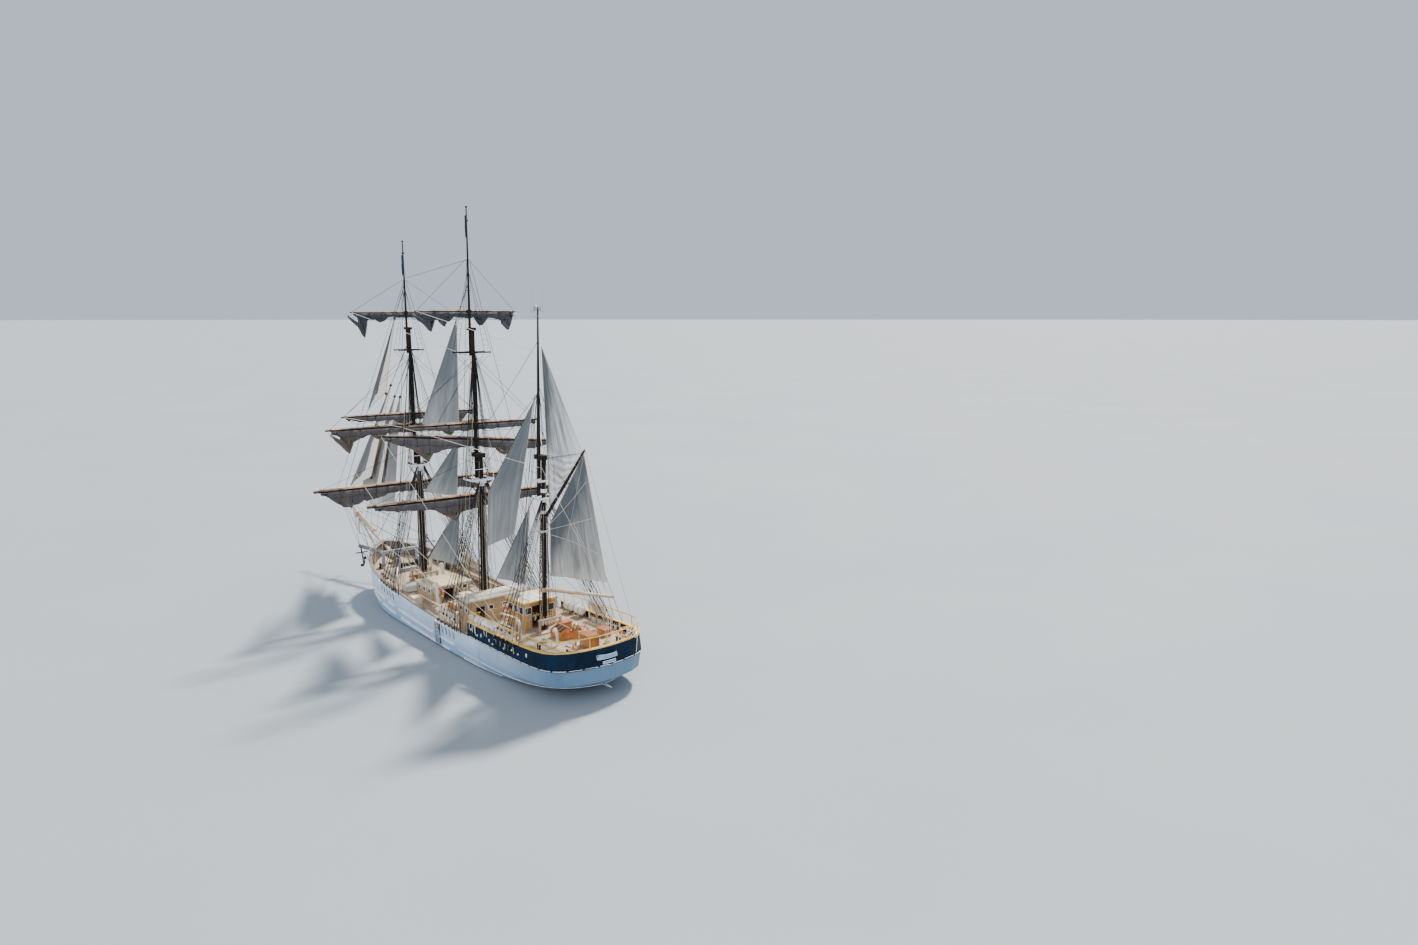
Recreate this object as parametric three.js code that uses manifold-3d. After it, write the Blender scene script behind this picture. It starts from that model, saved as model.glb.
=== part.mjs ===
// A three-masted tall ship, square rigged on the fore and main masts, afloat with her square sails furled.
// She is a scale model at 1:2. Every size and place below is in metres of the full-size ship,
// with +X forward, +Y to port, +Z up, and the origin on the waterline at the middle of the deck's length.
// The finished meshes are in millimetres of the model.
import * as THREE from "three";
import { mergeVertices } from "three/addons/utils/BufferGeometryUtils.js";
import Module from "manifold-3d";

const wasm = await Module();
wasm.setup();

// Driving dimensions
const MM_PER_M = 500; // model millimetres for one metre of the ship
const TOUCH = 0.3 / MM_PER_M; // the gap where two pieces meet
const RUN = 8 / MM_PER_M; // the gap beside a piece that moves
const DRAUGHT = 3.7;
const MIDDLE_X = -0.5; // where the hull is broadest
const BULWARK_T = 0.12;
const DECK_T = 0.08;
const BREAK_X = -6.3; // the forward edge of the quarterdeck
const SHEER_LOW_X = -5;
const SHEER_FORE = 0.00366; // rise in metres for each metre squared from the low point
const SHEER_AFT = 0.0018;
const OUTLINE_STEPS = 11; // points on each half of a waterline
const TRUCK_Z = { fore: 29.77, main: 31.49, mizzen: 24.44 };

// Hull lines from the keel up: the plan of each is a rounded end fore and aft.
// z amidships, share of the sheer aft and fore, x of each end, half breadth,
// then how full and how round the stern is, and the bow
const LINES = Object.fromEntries([
  ["keel", -DRAUGHT, 0, 0, -14.0, 12.0, 0.16, [30, 1], [30, 1]],
  ["garboard", -3.2, 0, 0, -14.0, 13.0, 0.2, [30, 1], [30, 1]],
  ["floor", -2.6, 0, 0, -14.0, 13.9, 2.1, [1.6, 1], [2.4, 1]],
  ["bilge", -1.5, 0, 0, -14.05, 15.0, 3.35, [2.3, 1], [3.6, 1]],
  ["water", 0, 0, 0, -15.3, 16.0, 3.76, [4, 1.3], [5.5, 1]],
  ["knuckle", 0.6, 1, 0.6, -17.2, 16.6, 3.84, [8, 1.7], [5.5, 1]],
  ["deck", 1.05, 1, 1, -17.9, 17.0, 3.87, [16, 2], [5.5, 1.1]],
  ["rail", 2.05, 1, 1, -17.95, 17.3, 3.85, [20, 2], [5.5, 1.1]],
  ["quarter", 3.03, 1.55, 1, -17.75, 17.3, 3.8, [20, 2], [5.5, 1.1]],
].map(([name, z, aft, fore, stern, bow, half, sternPower, bowPower]) => {
  return [name, { z, aft, fore, stern, bow, half, sternPower, bowPower }];
}));
const QUARTERDECK_Z = 2.6;

// Masts: x of the foot at deck height, lean aft in metres for each metre up, and the three lengths' radii
const MASTS = Object.fromEntries([
  ["fore", 9.09, 1.7, 0.001, 0.2, 13.5, 11.77, 21.12, 22.95],
  ["main", -1.47, 1.1, 0.0222, 0.22, 13.9, 11.96, 21.23, 23.0],
  ["mizzen", -10.16, 2.6, 0.0428, 0.19, 14.73, 11.86, 0, 24.44],
].map(([name, x, footZ, lean, radius, capZ, topZ, crossZ, headZ]) => {
  return [name, { x, footZ, lean, radius, capZ, topZ, crossZ, headZ }];
}));
const TOPMAST_AHEAD = 0.61;
const POLE_AHEAD = 1.05;
const TOPMAST_R = 0.155;
const POLE_R = 0.11;

// Yards: mast, length of mast it turns on, z, distance ahead of that mast, half length, radius at the middle,
// tilt of the port arm up and brace of the port arm forward in degrees,
// then the furled sail's depth at nine even places from the port arm to the starboard arm
const YARDS = [
  ["fore_course_yard", "fore", "lower", 10.24, 0.85, 8.2, 0.17, 0, 2,
    [0.25, 1.35, 1.0, 0.6, 0.62, 0.6, 0.8, 1.1, 0.25]],
  ["fore_lower_topsail_yard", "fore", "topmast", 14.95, 0.5, 6.9, 0.15, 0, 3,
    [0.3, 0.95, 0.45, 0.45, 0.5, 0.45, 0.45, 0.8, 0.25]],
  ["fore_upper_topsail_yard", "fore", "topmast", 15.92, 0.42, 5.6, 0.13, 0, 5,
    [0.2, 0.42, 0.42, 0.4, 0.42, 0.4, 0.42, 0.4, 0.2]],
  ["fore_topgallant_yard", "fore", "pole", 24.1, 0.33, 4.4, 0.1, 0, 0,
    [0.2, 0.6, 0.4, 0.3, 0.34, 0.3, 0.4, 0.6, 0.2]],
  ["main_course_yard", "main", "lower", 10.67, 0.85, 8.1, 0.17, 0, 3,
    [0.25, 0.5, 0.6, 1.1, 0.9, 0.6, 0.6, 0.5, 0.25]],
  ["main_lower_topsail_yard", "main", "topmast", 14.89, 0.5, 7.0, 0.15, 5.5, 4,
    [0.3, 0.7, 1.1, 0.7, 0.5, 0.6, 0.7, 0.6, 0.25]],
  ["main_upper_topsail_yard", "main", "topmast", 16.02, 0.42, 5.3, 0.13, 0, 6,
    [0.16, 0.26, 0.34, 0.4, 0.42, 0.42, 0.42, 0.4, 0.2]],
  ["main_topgallant_yard", "main", "pole", 24.15, 0.33, 4.0, 0.1, 0, 0,
    [0.2, 0.6, 0.4, 0.35, 0.42, 0.35, 0.4, 0.6, 0.2]],
].map(([name, mast, on, z, ahead, half, radius, tilt, brace, depths]) => ({
  name, mast, on, z, ahead, half, radius, tilt, brace, depths,
}));

// Staysails: where the stay starts and ends, then the sail's corners as x, z: head, tack, clew,
// or head, nock, tack, clew on the four-sided one
const STAYSAILS = [
  ["flying_jib", [10.12, 26.35], [27.01, 6.7], [[12.36, 23.74], [19.5, 15.44], [13.3, 17.5]]],
  ["outer_jib", [10.13, 21.6], [26.4, 6.52], [[13.9, 18.11], [25.3, 7.54], [17, 9.87]]],
  ["inner_jib", [9.68, 20.8], [24.3, 5.89], [[13.2, 17.21], [23.2, 7.01], [15.4, 8.6]]],
  ["fore_staysail", [9.68, 20.3], [21.7, 5.11], [[12.1, 17.24], [20.4, 6.75], [12.2, 8]]],
  ["main_topgallant_staysail", [-0.98, 26.19], [9.69, 13.37], [[1.15, 23.63], [8.13, 15.24], [1.5, 15.5]]],
  ["main_topmast_staysail", [-1.2, 16.75], [9.08, 9.07], [[1.73, 14.56], [8.34, 9.62], [2.34, 10.07]]],
  ["main_staysail", [-1.11, 11.91], [9.08, 3.39], [[2.08, 9.24], [8.28, 4.06], [2.54, 4.54]]],
  ["mizzen_topmast_staysail", [-10.25, 18.87], [-1.68, 10.05],
    [[-9.57, 18.17], [-2.77, 11.17], [-2.33, 7.05], [-6.4, 8.65]]],
  ["mizzen_staysail", [-9.96, 12.55], [-2.55, 3.56], [[-8.58, 10.88], [-3.6, 4.84], [-7.74, 5.27]]],
].map(([name, from, to, corners]) => ({ name, from, to, corners }));

const SAIL_T = 0.03;
const SAIL_ROWS = 7;
const SAIL_COLUMNS = 4;
const BELLY = 0.05; // a sail's depth of curve as a share of its width, to starboard
const JIB_BELLY = -0.02;
const JIB_LEEWARD = 0.12; // how far a jib stands to port for each metre aft of its luff
const STAY_R = 0.025;

// The spanker's gear swings to starboard about the mizzen mast: x, y, z of each point
const BOOM = { heel: [-10.28, 0, 5.5], end: [-17.57, -0.62, 6.5], radius: 0.13 };
const GAFF = { heel: [-10.49, 0, 10.3], end: [-15.0, -0.4, 15.5], radius: 0.11 };
const SPANKER = [[-14.9, -0.39, 15.3], [-11.2, -0.05, 10.25], [-11.1, -0.05, 6.6], [-16.9, -0.58, 7.3]];
const GAFF_TOPSAIL = [[-10.8, 0, 21.9], [-11.28, -0.02, 11.4], [-14.72, -0.375, 15.26]];

const PROPELLER = { x: -14.25, z: -2.35, radius: 0.85, hub: 0.17, blades: 3 };
const RUDDER = { x: -15.15, stockR: 0.09, top: -0.5, bottom: -3.44, chord: 0.95, thick: 0.12 };

const at = (x, y, z) => new THREE.Vector3(x, y, z);
const mix = (a, b, t) => a + (b - a) * t;

// Materials
function paint(color, roughness = 0.6, metalness = 0) {
  return new THREE.MeshStandardMaterial({ color, roughness, metalness });
}
const WHITE = paint(0xc9d6e2, 0.55);
const BLUE = paint(0x1c3a4c, 0.45);
const DARK_WOOD = paint(0x2b1d17, 0.6);
const PLANK = paint(0xc0a078, 0.75);
const VARNISH = paint(0xb06a22, 0.4);
const CREAM = paint(0xe6dcc2, 0.7);
const YELLOW = paint(0xe0b030, 0.5);
const CANVAS = paint(0x9c988c, 0.9);
const IRON = paint(0x33363a, 0.5, 0.8);
const BRONZE = paint(0x9a6b34, 0.35, 0.9);

// A manifold solid from corner points and triangles, with its faces turned outwards
function solid(points, triangles) {
  const volume = triangles.reduce((sum, [a, b, c]) => {
    const cross = new THREE.Vector3().crossVectors(points[b], points[c]);
    return sum + points[a].dot(cross);
  }, 0);
  const faces = volume < 0 ? triangles.map(([a, b, c]) => [a, c, b]) : triangles;
  const geometry = new THREE.BufferGeometry();
  const places = points.flatMap((p) => [p.x, p.y, p.z]);
  geometry.setAttribute("position", new THREE.Float32BufferAttribute(places, 3));
  geometry.setIndex(faces.flat());
  return fromGeometry(geometry);
}

function fromGeometry(geometry) {
  const bare = geometry.clone();
  bare.deleteAttribute("normal");
  bare.deleteAttribute("uv");
  const merged = mergeVertices(bare, 1e-5);
  const index = merged.index.array;
  const kept = [];
  for (let i = 0; i < index.length; i += 3) {
    const [a, b, c] = [index[i], index[i + 1], index[i + 2]];
    if (a !== b && b !== c && c !== a) kept.push(a, b, c);
  }
  const vertProperties = merged.attributes.position.array;
  return new wasm.Manifold(new wasm.Mesh({ numProp: 3, vertProperties, triVerts: new Uint32Array(kept) }));
}

const join = (solids) => solids.reduce((sum, next) => sum.add(next));
const cut = (from, cutters) => cutters.reduce((left, cutter) => left.subtract(cutter), from);

// Sections of equal point count joined in order, closed on themselves or capped at both ends
function loft(sections, loop = false) {
  const count = sections[0].length;
  const triangles = [];
  const last = loop ? sections.length : sections.length - 1;
  for (let i = 0; i < last; i++) {
    const a = i * count;
    const b = ((i + 1) % sections.length) * count;
    for (let j = 0; j < count; j++) {
      const k = (j + 1) % count;
      triangles.push([a + j, b + j, b + k], [a + j, b + k, a + k]);
    }
  }
  const end = (sections.length - 1) * count;
  for (let j = 1; j < count - 1 && !loop; j++) triangles.push([0, j, j + 1], [end, end + j + 1, end + j]);
  return solid(sections.flat(), triangles);
}

// A solid the same on both sides, from its port edges given bottom to top, each running fore to aft
function twoSided(rows) {
  const columns = rows[0].length;
  const points = rows.flatMap((row) => [...row, ...row.map((p) => at(p.x, -p.y, p.z))]);
  const port = (i, j) => i * 2 * columns + j;
  const starboard = (i, j) => i * 2 * columns + columns + j;
  const triangles = [];
  const quad = (a, b, c, d) => triangles.push([a, b, c], [a, c, d]);
  const top = rows.length - 1;
  for (let j = 0; j < columns - 1; j++) {
    for (let i = 0; i < top; i++) {
      quad(port(i, j), port(i, j + 1), port(i + 1, j + 1), port(i + 1, j));
      quad(starboard(i, j + 1), starboard(i, j), starboard(i + 1, j), starboard(i + 1, j + 1));
    }
    quad(port(top, j), port(top, j + 1), starboard(top, j + 1), starboard(top, j));
    quad(port(0, j + 1), port(0, j), starboard(0, j), starboard(0, j + 1));
  }
  const last = columns - 1;
  for (let i = 0; i < top; i++) {
    quad(starboard(i, 0), port(i, 0), port(i + 1, 0), starboard(i + 1, 0));
    quad(port(i, last), starboard(i, last), starboard(i + 1, last), port(i + 1, last));
  }
  return solid(points, triangles);
}

// A straight round bar whose radius is given at shares of its length
function spar(from, to, radii, sides = 10) {
  const axis = new THREE.Vector3().subVectors(to, from).normalize();
  const turn = new THREE.Quaternion().setFromUnitVectors(at(0, 0, 1), axis);
  const sections = radii.map(([share, radius]) => {
    const centre = new THREE.Vector3().lerpVectors(from, to, share);
    return Array.from({ length: sides }, (_, i) => {
      const angle = (2 * Math.PI * (i + 0.5)) / sides;
      return at(radius * Math.cos(angle), radius * Math.sin(angle), 0).applyQuaternion(turn).add(centre);
    });
  });
  return loft(sections);
}

const bar = (from, to, radius, sides = 10) => spar(from, to, [[0, radius], [1, radius]], sides);

function box(x0, x1, y0, y1, z0, z1) {
  const geometry = new THREE.BoxGeometry(x1 - x0, y1 - y0, z1 - z0);
  geometry.translate((x0 + x1) / 2, (y0 + y1) / 2, (z0 + z1) / 2);
  return fromGeometry(geometry);
}

// A beam of square section between two points
function beam(from, to, side) {
  return spar(from, to, [[0, side * Math.SQRT1_2], [1, side * Math.SQRT1_2]], 4);
}

// The hull's lines
const sheer = (line, x) =>
  line.z + (x > SHEER_LOW_X ? SHEER_FORE * line.fore : SHEER_AFT * line.aft) * (x - SHEER_LOW_X) ** 2;

function breadth(line, x, inset = 0) {
  const forward = x > MIDDLE_X;
  const end = forward ? line.bow - 1.5 * inset : line.stern + inset;
  const share = Math.min(1, Math.abs((x - MIDDLE_X) / (end - MIDDLE_X)));
  const [full, round] = forward ? line.bowPower : line.sternPower;
  return (line.half - inset) * (1 - share ** full) ** (1 / round);
}

// The stations of a line from fore to aft, closer together where it ends at the bow or the stern
const BOW_CROWDING = 2.1;
const STERN_CROWDING = 2.4;
function stations(bow, stern, fore, aft) {
  const shares = Array.from({ length: OUTLINE_STEPS + 1 }, (_, i) => i / OUTLINE_STEPS);
  if (fore !== null && aft !== null) return shares.map((share) => mix(fore, aft, share));
  const forward = shares.map((share) => mix(aft ?? MIDDLE_X, bow, 1 - share ** BOW_CROWDING));
  const after = shares.map((share) => mix(stern, fore ?? MIDDLE_X, (1 - share) ** STERN_CROWDING));
  if (fore !== null) return after;
  if (aft !== null) return forward;
  return [...forward, ...after.slice(1)];
}

// Points along the port side of a line from fore to aft
function outline(line, { inset = 0, rise = 0, fore = null, aft = null, heightOf = null } = {}) {
  const bow = line.bow - 1.5 * inset;
  const stern = line.stern + inset;
  return stations(bow, stern, fore, aft).map((x) => {
    const y = x === bow || x === stern ? 0 : breadth(line, x, inset);
    return at(x, y, heightOf ? heightOf(x) : sheer(line, x) + rise);
  });
}

// A strip that follows the outline on both sides: a loop, or open at its forward ends
function band(outerLow, outerHigh, innerHigh, innerLow, loop) {
  const port = outerLow.map((p, j) => [p, outerHigh[j], innerHigh[j], innerLow[j]]);
  const mirrored = port.map((section) => section.map((p) => at(p.x, -p.y, p.z))).reverse();
  const starboard = mirrored.slice(1, loop ? -1 : undefined);
  return loft([...port, ...starboard], loop);
}

const mainDeckZ = (x) => sheer(LINES.deck, x) + DECK_T;
const quarterDeckZ = (x) => QUARTERDECK_Z + SHEER_AFT * (x - SHEER_LOW_X) ** 2;

// Between a deck's edge and the bulwark, or the other deck at the break
const DECK_GAP = { main: 0.04, quarter: 0.05, break: 0.01 };
function mainDeckEdge() {
  const inset = BULWARK_T + DECK_GAP.main;
  return outline(LINES.deck, { inset, aft: BREAK_X + DECK_GAP.break, heightOf: mainDeckZ });
}
function quarterDeckEdge() {
  const inset = BULWARK_T + DECK_GAP.quarter;
  return outline(LINES.quarter, { inset, fore: BREAK_X, heightOf: quarterDeckZ });
}

// A line carried on past both ends, for cutters that must reach beyond what they trim
function carriedOn(edge) {
  const [first, last] = [edge[0], edge[edge.length - 1]];
  return [at(first.x + 1, first.y, first.z), ...edge, at(last.x - 1, last.y, last.z)];
}

// Everything below the surface of a deck, to trim what stands on it
const CUTTER_HALF = 6;
const CUTTER_DEPTH = -2;
const CUTTER_TALL = 3;
function belowDeck(edge) {
  const line = carriedOn(edge);
  const rowAt = (heightOf) => line.map((p) => at(p.x, CUTTER_HALF, heightOf(p)));
  return twoSided([rowAt(() => CUTTER_DEPTH), rowAt((p) => p.z + TOUCH)]);
}
const UNDER_MAIN_DECK = belowDeck(mainDeckEdge());
const UNDER_QUARTERDECK = belowDeck(quarterDeckEdge());

function axisPoint(mast, length, z) {
  const { x, footZ, lean } = MASTS[mast];
  const ahead = { lower: 0, topmast: TOPMAST_AHEAD, pole: POLE_AHEAD }[length];
  return at(x - lean * (z - footZ) + ahead, 0, z);
}

// Hull and decks
function hull() {
  const rows = ["keel", "garboard", "floor", "bilge", "water", "knuckle", "deck"];
  const body = twoSided(rows.map((name) => outline(LINES[name])));
  const shoe = box(-15.42, -13.9, -0.13, 0.13, -DRAUGHT, RUDDER.bottom - 0.08);
  const post = box(-15.0, -14.78, -0.1, 0.1, -DRAUGHT + 0.1, 0.05);
  const boss = bar(at(-12.2, 0, PROPELLER.z), at(PROPELLER.x + 0.2 + TOUCH, 0, PROPELLER.z), 0.24);
  const trunk = bar(at(RUDDER.x, 0, -1), at(RUDDER.x, 0, 0.9), RUDDER.stockR + RUN);
  const strakes = [
    { z: 0.78, fore: 13.6, aft: -4.4 },
    { z: 0.16, fore: 12.2, aft: -13.6 },
  ].flatMap(({ z, fore, aft }) => rubbingStrake(z, fore, aft));
  return join([body, shoe, post, boss, ...strakes]).subtract(trunk);
}

// A raised wale along each side, between the waterline and the deck edge
const STRAKE = { proud: 0.07, deep: 0.13, root: 0.3, share: 0.75 };
function rubbingStrake(z, fore, aft) {
  return [1, -1].map((side) => {
    const sections = outline(LINES.deck, { fore, aft }).map(({ x }) => {
      const foot = z + (sheer(LINES.deck, x) - LINES.deck.z) * STRAKE.share;
      const corner = (out, up) => at(x, side * (hullBreadth(x, foot + up) + out), foot + up);
      const { proud, deep, root } = STRAKE;
      return [corner(-root, 0), corner(proud, 0), corner(proud, deep), corner(-root, deep)];
    });
    return loft(sections);
  });
}

// The hull's half breadth at a height between the waterline and the deck edge
function hullBreadth(x, height) {
  const upper = sheer(LINES.deck, x);
  const lower = sheer(LINES.knuckle, x);
  const share = (height - lower) / (upper - lower);
  if (share >= 0) return mix(breadth(LINES.knuckle, x), breadth(LINES.deck, x), Math.min(1, share));
  return mix(breadth(LINES.water, x), breadth(LINES.knuckle, x), Math.max(0, height / lower));
}

const bowspritHole = (clear) => bar(bowspritPoint(14), bowspritPoint(20), BOWSPRIT.radius + clear, 12);

const lowered = (edge, down) => edge.map((p) => at(p.x, p.y, p.z - down));

// Everything above a line, to trim what ends at it
function aboveLine(edge) {
  const line = carriedOn(edge);
  const rowAt = (up) => line.map((p) => at(p.x, CUTTER_HALF, p.z + up));
  return twoSided([rowAt(0), rowAt(CUTTER_TALL)]);
}
const UNDER_HULL_TOP = belowDeck(outline(LINES.deck));
const RAIL_EDGE = outline(LINES.rail);
const UNDER_RAIL = belowDeck(RAIL_EDGE);
const QUARTER_EDGE = outline(LINES.quarter, { fore: BREAK_X - 0.05 });
const UNDER_QUARTER_EDGE = belowDeck(QUARTER_EDGE);

// A wall along a line's outline, its foot on the line below and its top trimmed level
function wall(low, high, edge, closed) {
  const inner = { ...edge, inset: BULWARK_T };
  return band(
    outline(low, { ...edge, rise: -0.05 }),
    outline(high, { ...edge, rise: 0.05 }),
    outline(high, { ...inner, rise: 0.05 }),
    outline(low, { ...inner, rise: -0.05 }),
    closed,
  );
}

function bulwark() {
  const sides = wall(LINES.deck, LINES.rail, {}, true);
  return cut(sides, [UNDER_HULL_TOP, aboveLine(RAIL_EDGE), bowspritHole(TOUCH)]);
}

function mainDeck() {
  const edge = mainDeckEdge();
  return twoSided([lowered(edge, DECK_T + 0.05), edge]).subtract(UNDER_HULL_TOP);
}

function quarterdeck() {
  const edge = quarterDeckEdge();
  return twoSided([lowered(edge, QUARTERDECK_Z - 0.9), edge]).subtract(UNDER_HULL_TOP);
}

function quarterBulwark() {
  const edge = { fore: BREAK_X - 0.05 };
  return cut(wall(LINES.rail, LINES.quarter, edge, false), [UNDER_RAIL, aboveLine(QUARTER_EDGE)]);
}

// A cap wider than the wall it lies on, from one x to another round the bow or the stern
function capStrip(line, edge, thick, under) {
  const over = 0.06;
  const strip = (inset, rise) => outline(line, { ...edge, inset, rise });
  const inner = BULWARK_T + over;
  const sections = [strip(-over, -0.03), strip(-over, thick), strip(inner, thick), strip(inner, -0.03)];
  const open = edge.aft === undefined ? sections : sections.map((side) => side.reverse());
  return band(...open, false).subtract(under);
}

// The dark cap on the long white bulwark, from the break of the quarterdeck round the bow
const capRail = () => capStrip(LINES.rail, { aft: BREAK_X + 0.01 }, 0.08, UNDER_RAIL);

const QUARTER_RAIL_UP = 0.76;
const QUARTER_POSTS = 23;
function quarterRail() {
  const cap = capStrip(LINES.quarter, { fore: BREAK_X - 0.05 }, 0.07, UNDER_QUARTER_EDGE);
  const run = outline(LINES.quarter, { inset: BULWARK_T / 2, fore: BREAK_X - 0.4, rise: QUARTER_RAIL_UP });
  const path = [...run, ...run.slice(0, -1).reverse().map((p) => at(p.x, -p.y, p.z))];
  const hand = roundPath(path, 0.04, 6);
  const posts = Array.from({ length: QUARTER_POSTS }, (_, i) => {
    const top = pointOn(path, mix(0.002, 0.998, i / (QUARTER_POSTS - 1)));
    return bar(at(top.x, top.y, top.z - QUARTER_RAIL_UP + 0.03), top, 0.03, 6);
  });
  return join([cap, hand, ...posts]);
}

// A round bar along a path of points
function roundPath(path, radius, sides) {
  const sections = path.map((p, i) => {
    const next = path[Math.min(i + 1, path.length - 1)];
    const ahead = new THREE.Vector3().subVectors(next, path[Math.max(i - 1, 0)]).normalize();
    const across = new THREE.Vector3().crossVectors(at(0, 0, 1), ahead).normalize();
    const up = new THREE.Vector3().crossVectors(ahead, across);
    return Array.from({ length: sides }, (_, k) => {
      const angle = (2 * Math.PI * k) / sides;
      const [out, rise] = [radius * Math.cos(angle), radius * Math.sin(angle)];
      return p.clone().addScaledVector(across, out).addScaledVector(up, rise);
    });
  });
  return loft(sections);
}

// Deckhouses: walls and roof with an open floor and a doorway in the aft wall
const WALL_T = 0.1;
const ROOF_T = 0.1;
const CEILING_T = 0.18;
function house({ x0, x1, half, z0, roofZ, over, doorY, doorHalf, doorTop, under }) {
  const shell = box(x0, x1, -half, half, z0, roofZ - ROOF_T);
  const room = box(x0 + WALL_T, x1 - WALL_T, WALL_T - half, half - WALL_T, z0 - 1, roofZ - CEILING_T);
  const door = box(x0 - 1, x0 + WALL_T + 0.05, doorY - doorHalf, doorY + doorHalf, z0 - 1, doorTop);
  const roof = box(x0 - over, x1 + over, -half - over, half + over, roofZ - ROOF_T, roofZ);
  return cut(join([shell, roof]), [room, door, under]);
}

const HOUSES = Object.fromEntries([
  ["fore_deckhouse", 4.15, 6.9, 1.6, 1, 2.75, 0.1, 0.2, 0.4, 2.4],
  ["midship_deckhouse", -3.6, -1.95, 2.3, 1, 3.55, 0.12, 1.4, 0.35, 2.95],
  ["charthouse", -9.6, -7.4, 1.2, 2.4, 4.6, 0.14, 0.3, 0.33, 4.25],
].map(([name, x0, x1, half, z0, roofZ, over, doorY, doorHalf, doorTop]) => {
  return [name, { x0, x1, half, z0, roofZ, over, doorY, doorHalf, doorTop }];
}));

// A low glazed box with a ridged top
const SKYLIGHT = { x0: -13.3, x1: -11.9, half: 0.6, foot: 2.2, eaves: 3.25, ridge: 3.5 };
function skylight() {
  const { x0, x1, half, foot, eaves, ridge } = SKYLIGHT;
  const profile = [[-half, foot], [half, foot], [half, eaves], [0, ridge], [-half, eaves]];
  const end = (x) => profile.map(([y, z]) => at(x, y, z));
  return loft([end(x0), end(x1)]).subtract(UNDER_QUARTERDECK);
}

// Steering gear: the box over the rudder head, with the wheel's axle, and the wheel before it
const WHEEL = { x: -14.9, z: 3.75, rim: 0.46, spoke: 0.62, count: 8 };
function wheelBox() {
  const body = box(-16.2, WHEEL.x - 0.25, -0.42, 0.42, 2.2, 3.75);
  const axle = bar(at(WHEEL.x - 0.3, 0, WHEEL.z - 0.15), at(WHEEL.x - 0.06 - TOUCH, 0, WHEEL.z - 0.15), 0.05);
  return join([body, axle]).subtract(UNDER_QUARTERDECK);
}

function steeringWheel() {
  const centre = at(WHEEL.x, 0, WHEEL.z - 0.15);
  const ring = new THREE.TorusGeometry(WHEEL.rim, 0.035, 5, 16).rotateY(Math.PI / 2);
  const rim = ring.translate(...centre.toArray());
  const hub = bar(at(WHEEL.x - 0.06, 0, centre.z), at(WHEEL.x + 0.06, 0, centre.z), 0.1);
  const spokes = Array.from({ length: WHEEL.count }, (_, i) => {
    const angle = (2 * Math.PI * (i + 0.5)) / WHEEL.count;
    const tip = at(0, Math.cos(angle), Math.sin(angle)).multiplyScalar(WHEEL.spoke).add(centre);
    return bar(centre, tip, 0.022, 4);
  });
  return join([fromGeometry(rim), hub, ...spokes]);
}

// Windlass: two bitts with the barrel between them, on the foredeck
const WINDLASS = { x: 12.2, up: 0.55, half: 0.8, radius: 0.27 };
function windlassFrame() {
  const deck = mainDeckZ(WINDLASS.x);
  const bitts = [1, -1].map((side) => {
    const inner = WINDLASS.half + TOUCH;
    const [y0, y1] = side > 0 ? [inner, inner + 0.24] : [-inner - 0.24, -inner];
    return box(WINDLASS.x - 0.16, WINDLASS.x + 0.16, y0, y1, 1, deck + 1.15);
  });
  const sill = box(WINDLASS.x - 0.2, WINDLASS.x + 0.2, -1.2, 1.2, 1, deck + 0.15);
  return join([...bitts, sill]).subtract(UNDER_MAIN_DECK);
}

function windlassBarrel() {
  const z = mainDeckZ(WINDLASS.x) + WINDLASS.up;
  const ends = [at(WINDLASS.x, -WINDLASS.half, z), at(WINDLASS.x, WINDLASS.half, z)];
  const shape = [[0, 0.12], [0.05, 0.12], [0.051, 0.3], [0.12, 0.3], [0.121, 0.2]];
  const mirrored = shape.map(([share, radius]) => [1 - share, radius]).reverse();
  return spar(ends[0], ends[1], [...shape, ...mirrored], 12);
}

// Bowsprit and jibboom
const BOWSPRIT = { x: 17.51, z: 3.55, slope: 0.3, heelX: 15.0, endX: 23.4, radius: 0.19, endR: 0.15 };
const JIBBOOM = { heelX: 19.6, endX: 28.7, lift: 0.3 };
function bowspritPoint(x, up = 0) {
  return at(x, 0, BOWSPRIT.z + BOWSPRIT.slope * (x - BOWSPRIT.x) + up);
}

function bowspritPole(clear = 0) {
  const { heelX, endX, radius, endR } = BOWSPRIT;
  const radii = [[0, radius + clear], [0.45, radius + clear], [1, endR + clear]];
  return spar(bowspritPoint(heelX), bowspritPoint(endX), radii, 12);
}

function bowsprit() {
  const pole = bowspritPole();
  const cap = beam(bowspritPoint(BOWSPRIT.endX - 0.25, 0.14), bowspritPoint(BOWSPRIT.endX, 0.14), 0.62);
  const [saddleAt, saddleEnd] = [JIBBOOM.heelX, JIBBOOM.heelX + 0.3];
  const saddle = beam(bowspritPoint(saddleAt, 0.14), bowspritPoint(saddleEnd, 0.14), 0.4);
  return cut(join([pole, cap, saddle]), [jibboomPole(TOUCH), UNDER_MAIN_DECK]);
}

function jibboomPole(clear) {
  const from = bowspritPoint(JIBBOOM.heelX - 20 * clear, JIBBOOM.lift);
  const to = bowspritPoint(JIBBOOM.endX, JIBBOOM.lift);
  return spar(from, to, [[0, 0.12 + clear], [0.5, 0.12 + clear], [1, 0.06 + clear]], 10);
}

// Catheads: one beam across the bow with an arm on each side, and an anchor hung from each
const CATHEAD = { inner: [13.9, 1.5, 3.66], outer: [15.2, 3.1, 4.3], side: 0.24 };
function catheadArm(side, clear = 0) {
  const [inner, outer] = [CATHEAD.inner, CATHEAD.outer].map(([x, y, z]) => at(x, side * y, z));
  return beam(inner, outer, CATHEAD.side + 2 * clear);
}

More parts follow.
